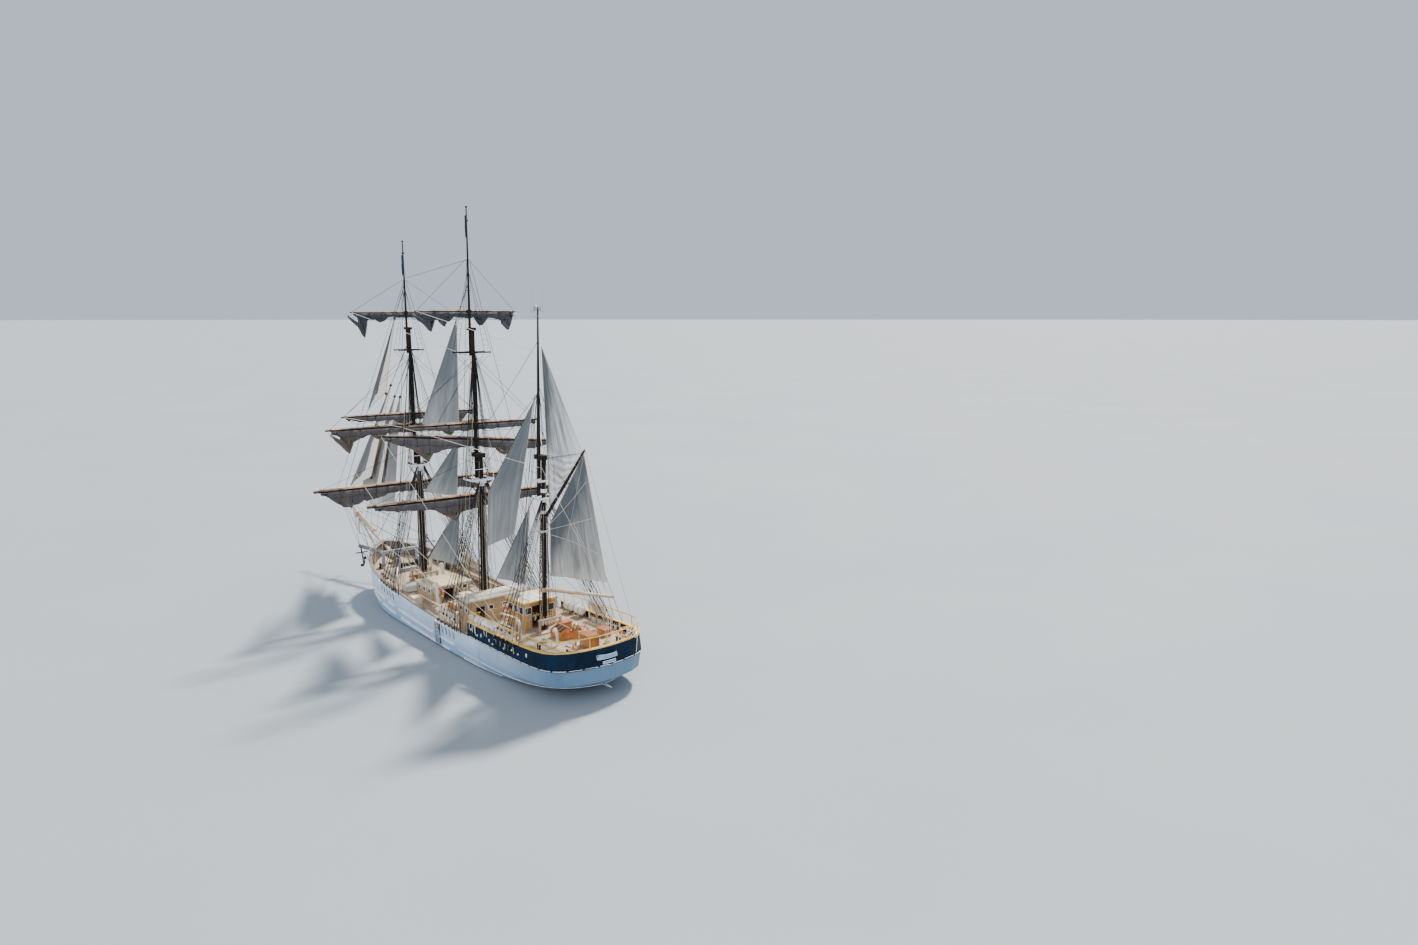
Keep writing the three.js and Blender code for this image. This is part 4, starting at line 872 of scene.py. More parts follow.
def sailcloth(name, colour, shade, pale, streaks=0.6, width=0.62, lit=None, lean=0.0, leech=2.0, pleats=0.5,
              bleach_and_highlight=1.0):
    material, tree, shader, at, on_cloth = new_material(name, 0.85, 0.0, 0.0, 0.2)
    spread = node_in(tree, "ShaderNodeAttribute", attribute_name="spread")
    cloth = effect(tree, "canvas", {
        "Where": on_cloth, "Spread": spread.outputs["Vector"], "Colour": colour,
        "Stain": toned(colour, 0.5), "Pale": pale, "Shade": shade, "Cloth width": width,
        "Streaks": streaks, "Lean": lean, "Leech": leech, "Pleats": pleats, "Bleach and highlight": bleach_and_highlight,
    })
    last = cloth["Colour"]
    # lit lightens the faces that look up: a painted highlight on the tops of the furled sails.
    if lit:
        last = effect(tree, "worn", {
            "Where": at, "Colour": last, "Bare and lit": lit, "Amount": 1.0,
        })["Colour"]
    finish_with(tree, shader, last, cloth["Height"], 0.45, 0.02)
    return material


def roped(name, colour, dark, lay=60.0):
    material, tree, shader, at, _ = new_material(name, 0.85, shine=0.2)
    rope = effect(tree, "strand", {"Where": at, "Colour": colour, "Dark": dark, "Lay": lay})
    finish_with(tree, shader, rope["Colour"], rope["Height"], 0.3, 0.002)
    return material


def banded(name, low, high, level, rough=0.5, coat=0.0):
    """Two finishes met at a height, as walls under a painted roof."""
    material, tree, shader, at, _ = new_material(name, rough, 0.0, coat)
    above = ranged(tree, axes(tree, at)[2], level - 0.004, level + 0.004)
    wall = effect(tree, "grain", {
        "Where": at, "Colour": low, "Dark": toned(low, 0.45),
        "Stretch": (6.0, 6.0, 0.5), "Strength": 0.6,
    })
    boards = node_in(tree, "ShaderNodeTexWave", {"Vector": at, "Scale": 3.2, "Distortion": 0.0},
                     wave_type="BANDS", bands_direction="X").outputs[1]
    roof = weathered(tree, at, high, (0.25, 0.2, 0.14), 0.4, 0.0, 7.0)
    colour = blend_colour(tree, above, wall["Colour"], roof["Colour"])
    height = plus(tree, wall["Height"], times(tree, boards, 0.15))
    finish_with(tree, shader, colour, height, 0.2, 0.006)
    return material


def sided(name, outer, inner, reach):
    """Two paints met at a distance to each side of the middle plane."""
    material, tree, shader, at, _ = new_material(name, 0.5)
    aside = sums(tree, "ABSOLUTE", axes(tree, at)[1])
    paint = blend_colour(tree, ranged(tree, aside, reach - 0.003, reach + 0.003), inner, outer)
    aged = weathered(tree, at, paint, (0.12, 0.1, 0.08), 0.3, 0.4, 8.0)
    finish_with(tree, shader, aged["Colour"], noisy(tree, at, 12.0), 0.15)
    return material


def hull_finish(name, paint, inside=None):
    """White topsides weathered by streaks, with painted shade that makes them darker and bluer towards the
    water and much darker and bluer towards the stern, over a dark red bottom.

    Inside a bulwark, where faces look towards the middle plane, two other colours lead from the bow aft, dark
    at the bow and pale aft."""
    material, tree, shader, at, _ = new_material(name, 0.45, 0.0, 0.15)
    along, across, height = axes(tree, at)
    # Painted shade: darker and bluer towards the water, then darker still towards the stern.
    side = blend_colour(tree, ranged(tree, height, 0.1, 1.1), paint["low"], paint["high"])
    side = blend_colour(tree, ranged(tree, along, -3.6, -8.4), side, paint["stern"])
    aged = weathered(tree, at, side, (0.16, 0.24, 0.36), 0.22, 0.25, 4.0)
    rust = ranged(tree, noisy(tree, at, 1.7, 5.0, (2.2, 2.2, 0.1)), 0.68, 0.8, 0.0, 0.35)
    streaked = blend_colour(tree, rust, aged["Colour"], (0.33, 0.2, 0.12))
    wet = plus(tree, height, ranged(tree, noisy(tree, at, 5.0, 3.0), 0.0, 1.0, -0.01, 0.01))
    scum = blend_colour(tree, ranged(tree, wet, 0.035, 0.06), (0.10, 0.12, 0.13), streaked)
    bottom = weathered(tree, at, paint["bottom"], (0.06, 0.07, 0.05), 0.5, 0.1, 8.0)
    colour = blend_colour(tree, ranged(tree, wet, 0.0, 0.012), bottom["Colour"], scum)
    if inside:
        facing = face_way(tree)
        aside = times(tree, sums(tree, "SIGN", across), facing[1])
        bow = times(tree, facing[0], ranged(tree, along, 6.6, 7.6))
        inward = ranged(tree, plus(tree, aside, bow), -0.1, -0.3)
        lining = blend_colour(tree, ranged(tree, along, 4.6, 6.2), inside["aft"], inside["bow"])
        worn = weathered(tree, at, lining, (0.1, 0.075, 0.055), 0.5, 0.4, 6.0)
        colour = blend_colour(tree, inward, colour, worn["Colour"])
    frames = node_in(tree, "ShaderNodeTexWave", {"Vector": at, "Scale": 0.55, "Distortion": 0.3},
                     wave_type="BANDS", bands_direction="X").outputs[1]
    dents = plus(tree, noisy(tree, at, 1.6, 2.0), times(tree, frames, 0.3))
    finish_with(tree, shader, colour, dents, 0.35, 0.02)
    return material


def make_finishes(colours):
    """Builds every finish once, from the colours that the panel holds."""
    hull, blue, canvas, furled = colours.hull_white, colours.quarter_blue, colours.canvas, colours.furled[:3]
    # Dark blue canvas used as painted shade on the spanker and the gaff topsail.
    shade = toned(canvas, 0.22, 0.27, 0.33)
    # low and stern are painted shade of the topsides, towards the water and towards the stern.
    topsides = {
        "high": hull, "low": toned(hull, 0.45, 0.62, 0.77),
        "stern": toned(hull, 0.14, 0.25, 0.34), "bottom": colours.bottom,
    }
    PAINTS.update({
        "hull": hull_finish("Hull paint", topsides),
        "bulwark": hull_finish("Bulwark paint", topsides,
                               {"aft": (0.55, 0.46, 0.36), "bow": (0.13, 0.105, 0.09)}),
        "white": painted("White trim paint", (0.93, 0.94, 0.96), (0.35, 0.33, 0.3), 0.4, 0.2, 0.25),
        "blue": painted("Quarter bulwark paint", blue, toned(blue, 4.0), 0.5, 0.3, 0.25, shine=0.12),
        "deck": planked("Deck planking", colours.deck, toned(colours.deck, 0.78), (0.05, 0.04, 0.035)),
        "rail": wooden("Dark cap rail", (0.12, 0.1, 0.09), (0.05, 0.04, 0.035),
                       worn=(0.42, 0.33, 0.24), amount=0.5),
        "tan_rail": wooden("Tan cap rail", (0.62, 0.44, 0.22), (0.3, 0.19, 0.09), rough=0.5),
        "yellow": painted("Yellow rail paint", colours.yellow, (0.35, 0.22, 0.08), 0.42, 0.3, 0.2),
        "mast": wooden("Dark mast timber", colours.spars, toned(colours.spars, 0.3), (8, 8, 0.3), 0.6,
                       worn=(0.1, 0.05, 0.03), amount=0.25, shine=0.15),
        # The yards' tan tops are partly wear and partly a painted highlight where light falls on them.
        "yard": wooden("Dark yard timber", toned(colours.spars, 1.1), (0.012, 0.01, 0.008), (8, 0.4, 8),
                       0.6, worn=(0.72, 0.4, 0.2), amount=0.95, shine=0.15),
        "boom": wooden("Tan boom timber", (0.64, 0.44, 0.28), (0.34, 0.2, 0.11), (0.4, 6, 8), 0.45, 0.2,
                       worn=(0.85, 0.68, 0.5), amount=0.7),
        "bowsprit": wooden("Bowsprit timber", (0.72, 0.6, 0.45), (0.4, 0.28, 0.18), (0.4, 8, 8), 0.5, 0.15),
        "varnish": wooden("Varnished timber", colours.varnish, toned(colours.varnish, 0.4), (3, 3, 0.5),
                          0.3, 0.5),
        "teak": wooden("Bleached timber", (0.6, 0.47, 0.34), (0.3, 0.22, 0.15), rough=0.7),
        "cream": painted("Cream paint", (0.86, 0.8, 0.66), (0.4, 0.32, 0.22), 0.6, 0.35, 0.1),
        "red": painted("Red paint", (0.55, 0.05, 0.03), (0.2, 0.03, 0.02), 0.4),
        "orange": painted("Orange lifebuoy cover", (0.85, 0.22, 0.05), (0.4, 0.12, 0.05), 0.6),
        "grey": painted("Grey gear paint", (0.35, 0.38, 0.4), (0.12, 0.1, 0.09), 0.5),
        "cathead": sided("Cathead paint", (0.16, 0.17, 0.19), (0.4, 0.44, 0.5), 1.75 * SCALE),
        "black": painted("Black ironwork", (0.018, 0.018, 0.02), (0.11, 0.06, 0.035), 0.45, 0.3, 0.2, 0.3),
        "steel": painted("Galvanised steel", (0.52, 0.54, 0.56), (0.25, 0.2, 0.15), 0.4, 0.3, 0.2, 0.7),
        "bronze": painted("Bronze", (0.5, 0.3, 0.13), (0.12, 0.2, 0.14), 0.35, 0.4, 0.2, 0.9),
        "glass": painted("Dark window glass", (0.02, 0.03, 0.035), (0.08, 0.09, 0.1), 0.15, 0.2, 0.2),
        # In the set sails Shade is painted shade, and Pale is painted highlight as well as washed cloth; Lean
        # tilts the painted light across each sail.
        "sail": sailcloth("Weathered canvas", toned(canvas, 1.15),
                          toned(canvas, 0.42, 0.46, 0.5), colours.canvas_pale, 0.7,
                          lean=-0.15, pleats=0.45),
        # The four headsails are one canvas in four brightnesses, near black for the flying jib up to pale for
        # the fore staysail: painted shade and painted light. Their cream Pale, laid along the leech and foot,
        # is a painted highlight.
        "flying_jib": sailcloth("Flying jib canvas", (0.055, 0.057, 0.058), (0.025, 0.026, 0.028),
                                (0.98, 0.88, 0.76), 0.6, leech=0.56, bleach_and_highlight=0.1),
        "outer_jib": sailcloth("Outer jib canvas", (0.1, 0.102, 0.1), (0.045, 0.046, 0.045),
                               (0.98, 0.88, 0.76), 0.6, leech=0.6, bleach_and_highlight=0.1),
        "inner_jib": sailcloth("Inner jib canvas", (0.3, 0.28, 0.26), (0.1, 0.095, 0.09),
                               (0.9, 0.82, 0.74), 0.6, leech=0.76, bleach_and_highlight=0.2),
        "fore_staysail": sailcloth("Fore staysail canvas", (0.6, 0.6, 0.58), (0.16, 0.155, 0.15),
                                   (0.75, 0.72, 0.66), 0.6, lean=-0.3, pleats=0.5),
        "spanker": sailcloth("Spanker canvas", canvas, shade, (0.8, 0.74, 0.66), 0.7, lean=0.45, pleats=0.6),
        # The gaff topsail's canvas is a lighter copy with a darker Shade, for strong painted light and
        # painted shade.
        "sail_pale": sailcloth("Pale canvas with painted light", toned(canvas, 1.5), toned(shade, 0.75),
                               (1.0, 0.97, 0.94), 0.35, lean=0.62, pleats=0.9),
        # The furled, loose and topgallant cloths are kept dark as painted shade of cloth hanging in shadow,
        # and lit lightens their up-facing tops as a painted highlight.
        "furled": sailcloth("Furled canvas", toned(furled, 0.34, 0.31, 0.3), toned(furled, 0.1),
                            toned(furled, 0.6), 0.6, 0.9, lit=toned(furled, 0.8)),
        "furled_brown": sailcloth("Loose brown canvas", (0.16, 0.115, 0.08), (0.03, 0.025, 0.022),
                                  (0.3, 0.23, 0.17), 0.6, 0.9, lit=(0.4, 0.33, 0.27)),
        "furled_dark": sailcloth("Furled topgallant canvas", (0.05, 0.056, 0.075), (0.012, 0.014, 0.02),
                                 (0.11, 0.11, 0.13), 0.6, 0.9, lit=(0.3, 0.29, 0.3)),
        "rope": roped("Pale rope", colours.rope, toned(colours.rope, 0.45)),
        "white_rope": roped("White rope", (0.9, 0.81, 0.68), (0.5, 0.43, 0.34)),
        "tarred": roped("Tarred rope", (0.035, 0.03, 0.028), (0.012, 0.011, 0.01)),
        "navy_cloth": painted("Navy bunting", (0.007, 0.011, 0.03), (0.03, 0.04, 0.08), 0.85, 0.3, 0.2),
        "teal_cloth": painted("Teal bunting", (0.008, 0.04, 0.065), (0.03, 0.07, 0.1), 0.85, 0.3, 0.2),
        "board": painted("Blank board paint", (0.26, 0.46, 0.64), (0.12, 0.25, 0.36), 0.45, 0.3, 0.2),
        "canister": painted("Raft canister shell", (0.84, 0.85, 0.84), (0.4, 0.38, 0.33), 0.35, 0.2, 0.2),
        "fore_house": banded("Fore deckhouse paint", (0.62, 0.47, 0.3), (0.83, 0.66, 0.42), 2.62 * SCALE),
        "midship_house": banded("Midship deckhouse paint", (0.55, 0.4, 0.24),
                                (0.9, 0.82, 0.68), 3.42 * SCALE),
        "charthouse": banded("Charthouse varnish", (0.78, 0.42, 0.08), (0.95, 0.9, 0.76),
                             4.46 * SCALE, 0.35, 0.3),
    })


NODE_PAINTS = {
    "hull": "hull", "bulwark": "bulwark", "quarter_bulwark": "blue", "main_deck": "deck",
    "quarterdeck": "deck", "cap_rail": "rail", "quarter_rail": "yellow", "rudder": "hull",
    "propeller": "bronze", "fore_deckhouse": "fore_house", "midship_deckhouse": "midship_house",
    "charthouse": "charthouse", "skylight": "varnish", "wheel_box": "varnish", "steering_wheel": "varnish",
    "windlass_frame": "grey", "windlass_barrel": "black", "anchor_port": "black", "anchor_starboard": "black",
    "bowsprit": "bowsprit", "jibboom": "bowsprit", "catheads": "cathead",
    "fore_top": "white", "main_top": "white", "mizzen_top": "white",
    "spanker_boom": "boom", "gaff": "mast",
}


def paint_nodes():
    for name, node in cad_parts.items():
        key = NODE_PAINTS.get(name)
        if key is None and name.endswith("_yard"):
            key = "yard"
        if key is None and ("mast" in name and "sail" not in name):
            key = "mast"
        if key is None:
            key = "sail"
        node.data.materials.clear()
        node.data.materials.append(PAINTS[key])


# Stage
FLOOR_RINGS = (60.0, 200.0, 700.0, 2500.0, 9000.0)
FLOOR_SIDES = 48


def build_stage():
    """Pale floor at the waterline, soft light, and the camera at the photograph's place and angle."""
    floor = Shape()
    rings = [(0.0, 0.0, 0.0)]
    for reach in FLOOR_RINGS:
        rings += [(reach * math.cos(a), reach * math.sin(a), 0.0) for a in round_angles(FLOOR_SIDES)]
    faces = [[0, 1 + k, 1 + (k + 1) % FLOOR_SIDES] for k in range(FLOOR_SIDES)]
    for i in range(len(FLOOR_RINGS) - 1):
        a, b = 1 + i * FLOOR_SIDES, 1 + (i + 1) * FLOOR_SIDES
        faces += [[a + k, b + k, b + (k + 1) % FLOOR_SIDES,
                   a + (k + 1) % FLOOR_SIDES] for k in range(FLOOR_SIDES)]
    floor.add(rings, faces)
    material, tree, shader, at, _ = new_material("Pale studio floor", 0.75)
    shade = ranged(tree, noisy(tree, at, 0.08, 3.0), 0.3, 0.7)
    tree.links.new(blend_colour(tree, shade, (0.31, 0.35, 0.39), (0.34, 0.37, 0.405)),
                   shader.inputs["Base Color"])
    mesh = bpy.data.meshes.new("studio_floor")
    mesh.from_pydata([p * SCALE for p in floor.points], [], floor.faces)
    mesh.materials.append(material)
    ground = bpy.data.objects.new("studio_floor", mesh)
    bpy.context.scene.collection.objects.link(ground)

    world = bpy.data.worlds.new("Pale studio")
    bpy.context.scene.world = world
    world.use_nodes = True
    background = world.node_tree.nodes["Background"]
    background.inputs["Color"].default_value = (0.74, 0.86, 1.0, 1)
    background.inputs["Strength"].default_value = 0.8

    add_sun("Key light", (0.30, -0.62, 0.95), 7.5, 6.0, (1.0, 0.95, 0.87))
    add_sun("Fill light", (-0.55, 0.8, 0.5), 1.3, 40.0, (0.98, 0.98, 1.0))

    camera_data = bpy.data.cameras.new("Camera")
    camera_data.lens = CAMERA_LENS
    camera_data.sensor_width = 36.0
    camera_data.clip_end = FLOOR_RINGS[-1]
    camera = bpy.data.objects.new("Camera", camera_data)
    bpy.context.scene.collection.objects.link(camera)
    camera.location = Vector(CAMERA_AT) * SCALE
    way = vec(
        CAMERA_AHEAD[0] * math.cos(CAMERA_PITCH), CAMERA_AHEAD[1] * math.cos(CAMERA_PITCH),
        -math.sin(CAMERA_PITCH),
    )
    camera.rotation_euler = way.to_track_quat("-Z", "Y").to_euler()
    bpy.context.scene.camera = camera


def add_sun(name, towards, strength, spread, colour):
    light = bpy.data.lights.new(name, "SUN")
    light.energy = strength
    light.angle = math.radians(spread)
    light.color = colour
    lamp = bpy.data.objects.new(name, light)
    bpy.context.scene.collection.objects.link(lamp)
    lamp.rotation_euler = Vector(towards).to_track_quat("Z", "Y").to_euler()


# Sails
def sail_grid(luff, leech, belly, rows, columns, creases=0.05, seed=0.0, ruffle=0.0):
    """A sail's surface between luff and leech, each from foot to head, creased, and bellied to starboard,
    or to port where belly is negative.

    Returns its points, and for each one where it is on the sail and how far its fold stands out."""
    luff, leech = [Vector(p) for p in luff], [Vector(p) for p in leech]
    width = max((luff[0] - leech[0]).length, 1.0)
    grid, spread = [], []
    for i in range(rows + 1):
        share = i / rows
        left, right = along_path(luff, share), along_path(leech, share)
        row = []
        for j in range(columns + 1):
            across = j / columns
            point = left.lerp(right, across)
            depth = belly * width * math.sin(math.pi * across) * (1 - share) * (0.4 + 1.2 * share)
            room = math.sin(math.pi * min(1.0, across * 1.05)) ** 0.5 * min(1.0, 4 * (1 - share))
            folds = math.sin(9.0 * across + 2.3 * share + seed) * 0.6
            folds += noise.noise(vec(across * 7 + seed, share * 1.6, seed)) * 1.5
            folds += noise.noise(vec(across * 20 + seed, share * 5, seed + 4)) * 0.5
            stands = folds * 0.2
            if ruffle and point.z < leech[0].z:
                # Below the clew the cloth hangs in swags between the mast and the gaff
                height = (point.z - luff[0].z) / (luff[-1].z - luff[0].z)
                reach = 1 - share / max(height, share, 0.001)
                sag = 1.3 * reach * (1 - reach) + 0.12 * noise.noise(vec(reach * 3, point.z, seed))
                ripple = 1.5 * noise.noise(vec(point.z * 0.9, reach * 2, 2.0))
                swag = 0.45 + 0.95 * math.sin(13.5 * (point.z + sag) + ripple)
                loose = smooth((leech[0].z - point.z) / 0.6)
                folds += ruffle / creases * loose * swag * (0.45 + 0.55 * reach)
                stands = mix(stands, swag * (0.35 + 0.65 * reach), loose)
            point.y -= depth + creases * folds * room * min(1.0, 0.3 + (right - left).length / width)
            row.append(point)
            spread.append((across, share, stands))
        grid.append(row)
    return grid, spread


def make_sail(name, node, body, luff, leech, belly, creases=0.05, rows=44, columns=26,
              edge=0.022, seed=0.0, finish="sail", ruffle=0.0):
    """A sail with its bolt rope."""
    grid, spread = sail_grid(luff, leech, belly, rows, columns, creases, seed, ruffle)
    sail = Shape()
    sail.plate(grid, SAIL_T)
    sail.spread = dict(enumerate(spread + spread))
    canvas = sail.piece(name, body, finish, crease=60)
    rim = grid[0][:] + [row[-1] for row in grid[1:]] + grid[-1][-2::-1] + [row[0] for row in grid[-2:0:-1]]
    spaced = [p for i, p in enumerate(rim) if i % 2 == 0]
    bound = ropes(name + "_bolt_rope", body, [(spaced + [spaced[0]], edge)], "rope")
    if node:
        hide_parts(node)
    return grid


def staysail_corners(flat):
    """A staysail's corners, and if it is a jib, whose clew is blown to port."""
    corners = [vec(x, 0, z) for x, z in flat]
    jib = corners[0].x > MASTS["fore"][0]
    if jib:
        corners[-1].y = JIB_LEEWARD * (corners[1].x - corners[-1].x)
    return corners, jib


def build_staysails():
    """The nine staysails on their stays, each hanked on and hauled out by its sheet."""
    blocks = Shape()
    for k, (name, (start, end, flat)) in enumerate(STAYSAILS.items()):
        corners, jib = staysail_corners(flat)
        head, clew = corners[0], corners[-1]
        tip = head.lerp(clew, 0.03)
        luff = list(reversed(corners[:-1]))
        grid = make_sail(name + "_sail", name, "ship", luff, [clew, tip],
                         JIB_BELLY if jib else STAYSAIL_BELLY,
                         0.09 if jib else 0.07, seed=k * 3.7,
                         finish=name if jib else "sail")
        foot, top = vec(start[0], 0, start[1]), vec(end[0], 0, end[1])
        ropes(name + "_stay", "ship", [([foot, top], 0.024)], "tarred", 6)
        hanks = []
        along = (top - foot).normalized()
        luff_row = [row[0] for row in grid]
        for i in range(1, len(luff_row), 2):
            near = foot + along * (luff_row[i] - foot).dot(along)
            hanks.append(([luff_row[i], near + vec(0.02, 0.03, 0.03)], 0.018))
        ropes(name + "_hanks", "ship", hanks, "steel")
        if jib:
            for point, out in ((head, (top - foot).normalized()), (clew, vec(-0.7, 0.2, -0.6))):
                blocks.turned(point - out * 0.02, point + out * 0.32,
                              ((0, 0.04), (0.2, 0.1), (0.7, 0.11), (1, 0.04)), 8)
    blocks.piece("jib_blocks", "ship", "black")


def build_spanker():
    """The spanker and the gaff topsail above it, which swing with the boom."""
    peak, throat, tack, clew = SPANKER
    make_sail("spanker_sail", "spanker", "spanker_gear",
              [tack, throat], [clew, peak], 0.06, 0.16, seed=31.0, finish="spanker")
    head, tack, clew = GAFF_TOPSAIL
    tip = Vector(head).lerp(Vector(clew), 0.02)
    make_sail("gaff_topsail_sail", "gaff_topsail", "spanker_gear",
              [tack, head], [clew, tip], 0.04, 0.14, rows=96, columns=34, seed=17.0,
              finish="sail_pale", ruffle=0.13)


FURL_RING = ((-0.6, 0), (0.0, 0.02), (0.5, 0), (0.9, -0.08), (1, -0.22), (1.08, -0.4),
             (1.0, -0.6), (0.8, -0.82), (0.45, -1), (0.0, -1.03), (-0.35, -0.98), (-0.65, -0.8),
             (-0.82, -0.6), (-0.92, -0.38), (-0.88, -0.18))


def furl_depth(depths, share):
    at = share * (len(depths) - 1)
    i = min(len(depths) - 2, int(at))
    return mix(depths[i], depths[i + 1], smooth(at - i))


def furl_ring(name, share, pinch=0.0, swell=0.0):
    half, depths = YARDS[name][4], YARDS[name][8]
    along = mix(0.93 * half, -0.93 * half, share)
    wide = mix(0.12, 0.24, math.sin(math.pi * share)) * (1 - pinch * 0.35)
    depth = furl_depth(depths, share) * (1 - pinch * 0.12)
    top = -0.6 * yard_radius(name, along)
    ring = []
    for k, (ahead, down) in enumerate(FURL_RING):
        taper = 1 - 0.45 * smooth((-down * depth - 0.3) / 0.8)
        crease = 0.0
        if down < -0.1:
            pull = vec(along * 2.6, k * 0.55, depth * 2)
            crease = noise.noise(pull) * 0.055 + math.sin(along * 9 + k * 1.7) * 0.016
        out = wide * ahead * taper + 0.06 + (crease + swell) * (1 if ahead > 0 else -1)
        ring.append(on_yard(name, along, out, top + down * (depth + crease * 0.8)))
    return ring


# Loose cloth under a yard: from and to along it, how far it hangs, how far its end curls out, and its width
LOOSE_CLOTH = {
    "fore_topgallant": ((4.0, 3.0, 1.75, 0.75, 0.3), (2.6, 1.2, 0.55, 0.0, 0.2), (-0.9, -2.0, 0.5, 0.0, 0.2),
                        (-2.6, -3.9, 0.95, 0.45, 0.24)),
    "main_topgallant": ((3.7, 2.4, 1.25, 0.6, 0.26), (2.3, 0.9, 0.6, 0.0, 0.2), (-0.5, -1.8, 0.75, 0.0, 0.24),
                        (-2.4, -3.75, 1.15, 0.6, 0.26)),
    "fore_lower_topsail": ((6.3, 4.6, 1.7, 0.3, 0.34), (3.4, 1.9, 0.7, 0.0, 0.24),
                           (-2.2, -4.0, 0.9, 0.2, 0.26)),
    "main_lower_topsail": ((4.9, 2.8, 1.5, 0.3, 0.34), (-1.6, -3.6, 0.9, 0.0, 0.26)),
    "fore_upper_topsail": ((1.6, -0.4, 0.6, 0.0, 0.2), (-3.0, -4.8, 0.7, 0.2, 0.22)),
    "fore_course": ((6.6, 4.8, 1.35, 0.2, 0.3), (-4.6, -6.8, 1.2, 0.3, 0.28)),
    "main_course": ((3.4, 0.9, 1.5, 0.2, 0.34), (-4.0, -6.0, 0.9, 0.2, 0.26)),
}


def loose_cloth(shape, name, start, end, drop, curl, wide, seed, kind=0):
    """A bunch of cloth that droops between two points under a yard, its free side curling up."""
    rings, webs = [], []
    steps = 30
    half = YARDS[name][4]
    for i in range(steps + 1):
        t = i / steps
        down = drop * (math.sin(math.pi * min(1.0, t * 0.95 + 0.05)) ** 0.8)
        if curl:
            down = drop * (0.2 + 0.8 * (t / 0.7) ** 0.9 if t < 0.7 else max(0.0, (1 - t) / 0.3) ** 0.7)
        free = curl * smooth(1 - t * 2.6)
        lift = free * 0.15
        along = mix(start, end, t) + math.copysign(free * 0.7, start)
        top = 0.8 * yard_radius(name, min(max(along, -half), half))
        fat = wide * (0.3 + 0.45 * math.sin(math.pi * t) ** 0.6)
        ring = []
        for angle in round_angles(14):
            fold = 1 + 0.28 * math.sin(3 * angle + 5 * t + seed)
            fold += 0.22 * noise.noise(vec(angle * 2, t * 6, seed))
            reach = fat * fold
            ring.append(on_yard(name, along + reach * 0.35 * math.cos(angle * 2 + seed),
                                0.1 + reach * 0.55 * math.cos(angle),
                                lift - top - down + reach * 0.9 * math.sin(angle)))
        rings.append(ring)
        if t >= (0.3 if curl else 0.04):
            web = []
            for k in range(12):
                front = k < 6
                share = (k if front else 11 - k) / 5
                fold = 0.1 * math.sin(7 * along + 3 * share + seed) + 0.05 * math.sin(17 * along + seed)
                fold += 0.08 * noise.noise(vec(along * 3, share * 2, seed))
                web.append(on_yard(name, along, 0.1 + fold + (0.03 if front else -0.03),
                                   mix(-top * 0.5, lift - top - down, share)))
            webs.append(web)
    for made in (rings, webs):
        count = len(made[0])
        base = shape.sections(made, kind)
        for k in range(len(made) * count):
            shape.uvs[base + k] = (k // count * 0.09, k % count * 0.11)


def build_furled_sails():
    """Rolled square sails under their yards, with loose bunts between the gaskets that bind them."""
    for name, row in YARDS.items():
        half = row[4]
        gaskets = [0.03 + 0.94 * i / int(half * 1.9) for i in range(int(half * 1.9) + 1)]
        roll = Shape()
        rings = []
        steps = int(half * 14)
        for i in range(steps + 1):
            share = i / steps
            near = min(abs(share - g) * 1.86 * half for g in gaskets)
            pinch = max(0.0, 1 - near / 0.16)
            rings.append(furl_ring(name, share, pinch * pinch))
        roll.sections(rings)
        for k in range(len(roll.points)):
            roll.uvs[k] = (k // len(FURL_RING) / steps * half * 1.86, k % len(FURL_RING) * 0.12)
        for k, bunch in enumerate(LOOSE_CLOTH.get(name, ())):
            loose_cloth(roll, name, *bunch, 2.3 * k, 1)
        body = name + "_yard"
        high = "topgallant" in name
        cloths = ("furled_dark", "furled_dark") if high else ("furled", "furled_brown")
        piece = roll.piece(name + "_furled_sail", body, cloths, crease=70)
        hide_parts(name + "_furled")
        bands = []
        for share in gaskets:
            ring = furl_ring(name, share, 1.0, 0.012)
            bands.append((ring + [ring[0]], 0.022))
        ropes(name + "_gaskets", body, bands, "tarred", 5)


# Standing rigging
SHROUDS = {
    # feet behind the mast at the rail, and how far out the channel stands
    "fore": ((-0.45, -1.05, -1.65, -2.25, -2.85), 0.16),
    "main": ((-0.45, -1.05, -1.65, -2.25, -2.85), 0.16),
    "mizzen": ((-0.4, -0.95, -1.5, -2.05), 0.2),
}
TOP_HALF = {"fore": (1.35, 0.7), "main": (1.5, 0.9), "mizzen": (1.25, 0.4)}
CROSSTREE_HALF = {"fore": 1.05, "main": 1.25}
TOPGALLANT_HOUNDS = {"fore": 26.7, "main": 27.8}


def rail_z(x):
    return sheer("quarter", x) + 0.05 if x < BREAK_X else sheer("rail", x) + 0.05


def rail_y(x):
    return breadth("quarter", x) if x < BREAK_X else breadth("rail", x)


def shroud_foot(mast, side, back):
    x = MASTS[mast][0] + back
    out = SHROUDS[mast][1]
    return vec(x, side * (rail_y(x) + out), rail_z(x) - 0.1)


def ratlines(shrouds, low, high, gap, rope=0.011):
    """Steps across a fan of shrouds, each sagging a little between neighbours."""
    steps = []
    z = low
    while z < high:
        row = []
        for foot, head in shrouds:
            if foot.z < z < head.z:
                row.append(foot.lerp(head, (z - foot.z) / (head.z - foot.z)))
        path = []
        for a, b in zip(row, row[1:]):
            path += [a, a.lerp(b, 0.5) - vec(0, 0, 0.018)]
        if len(row) > 1:
            steps.append((path + [row[-1]], rope))
        z += gap
    return steps


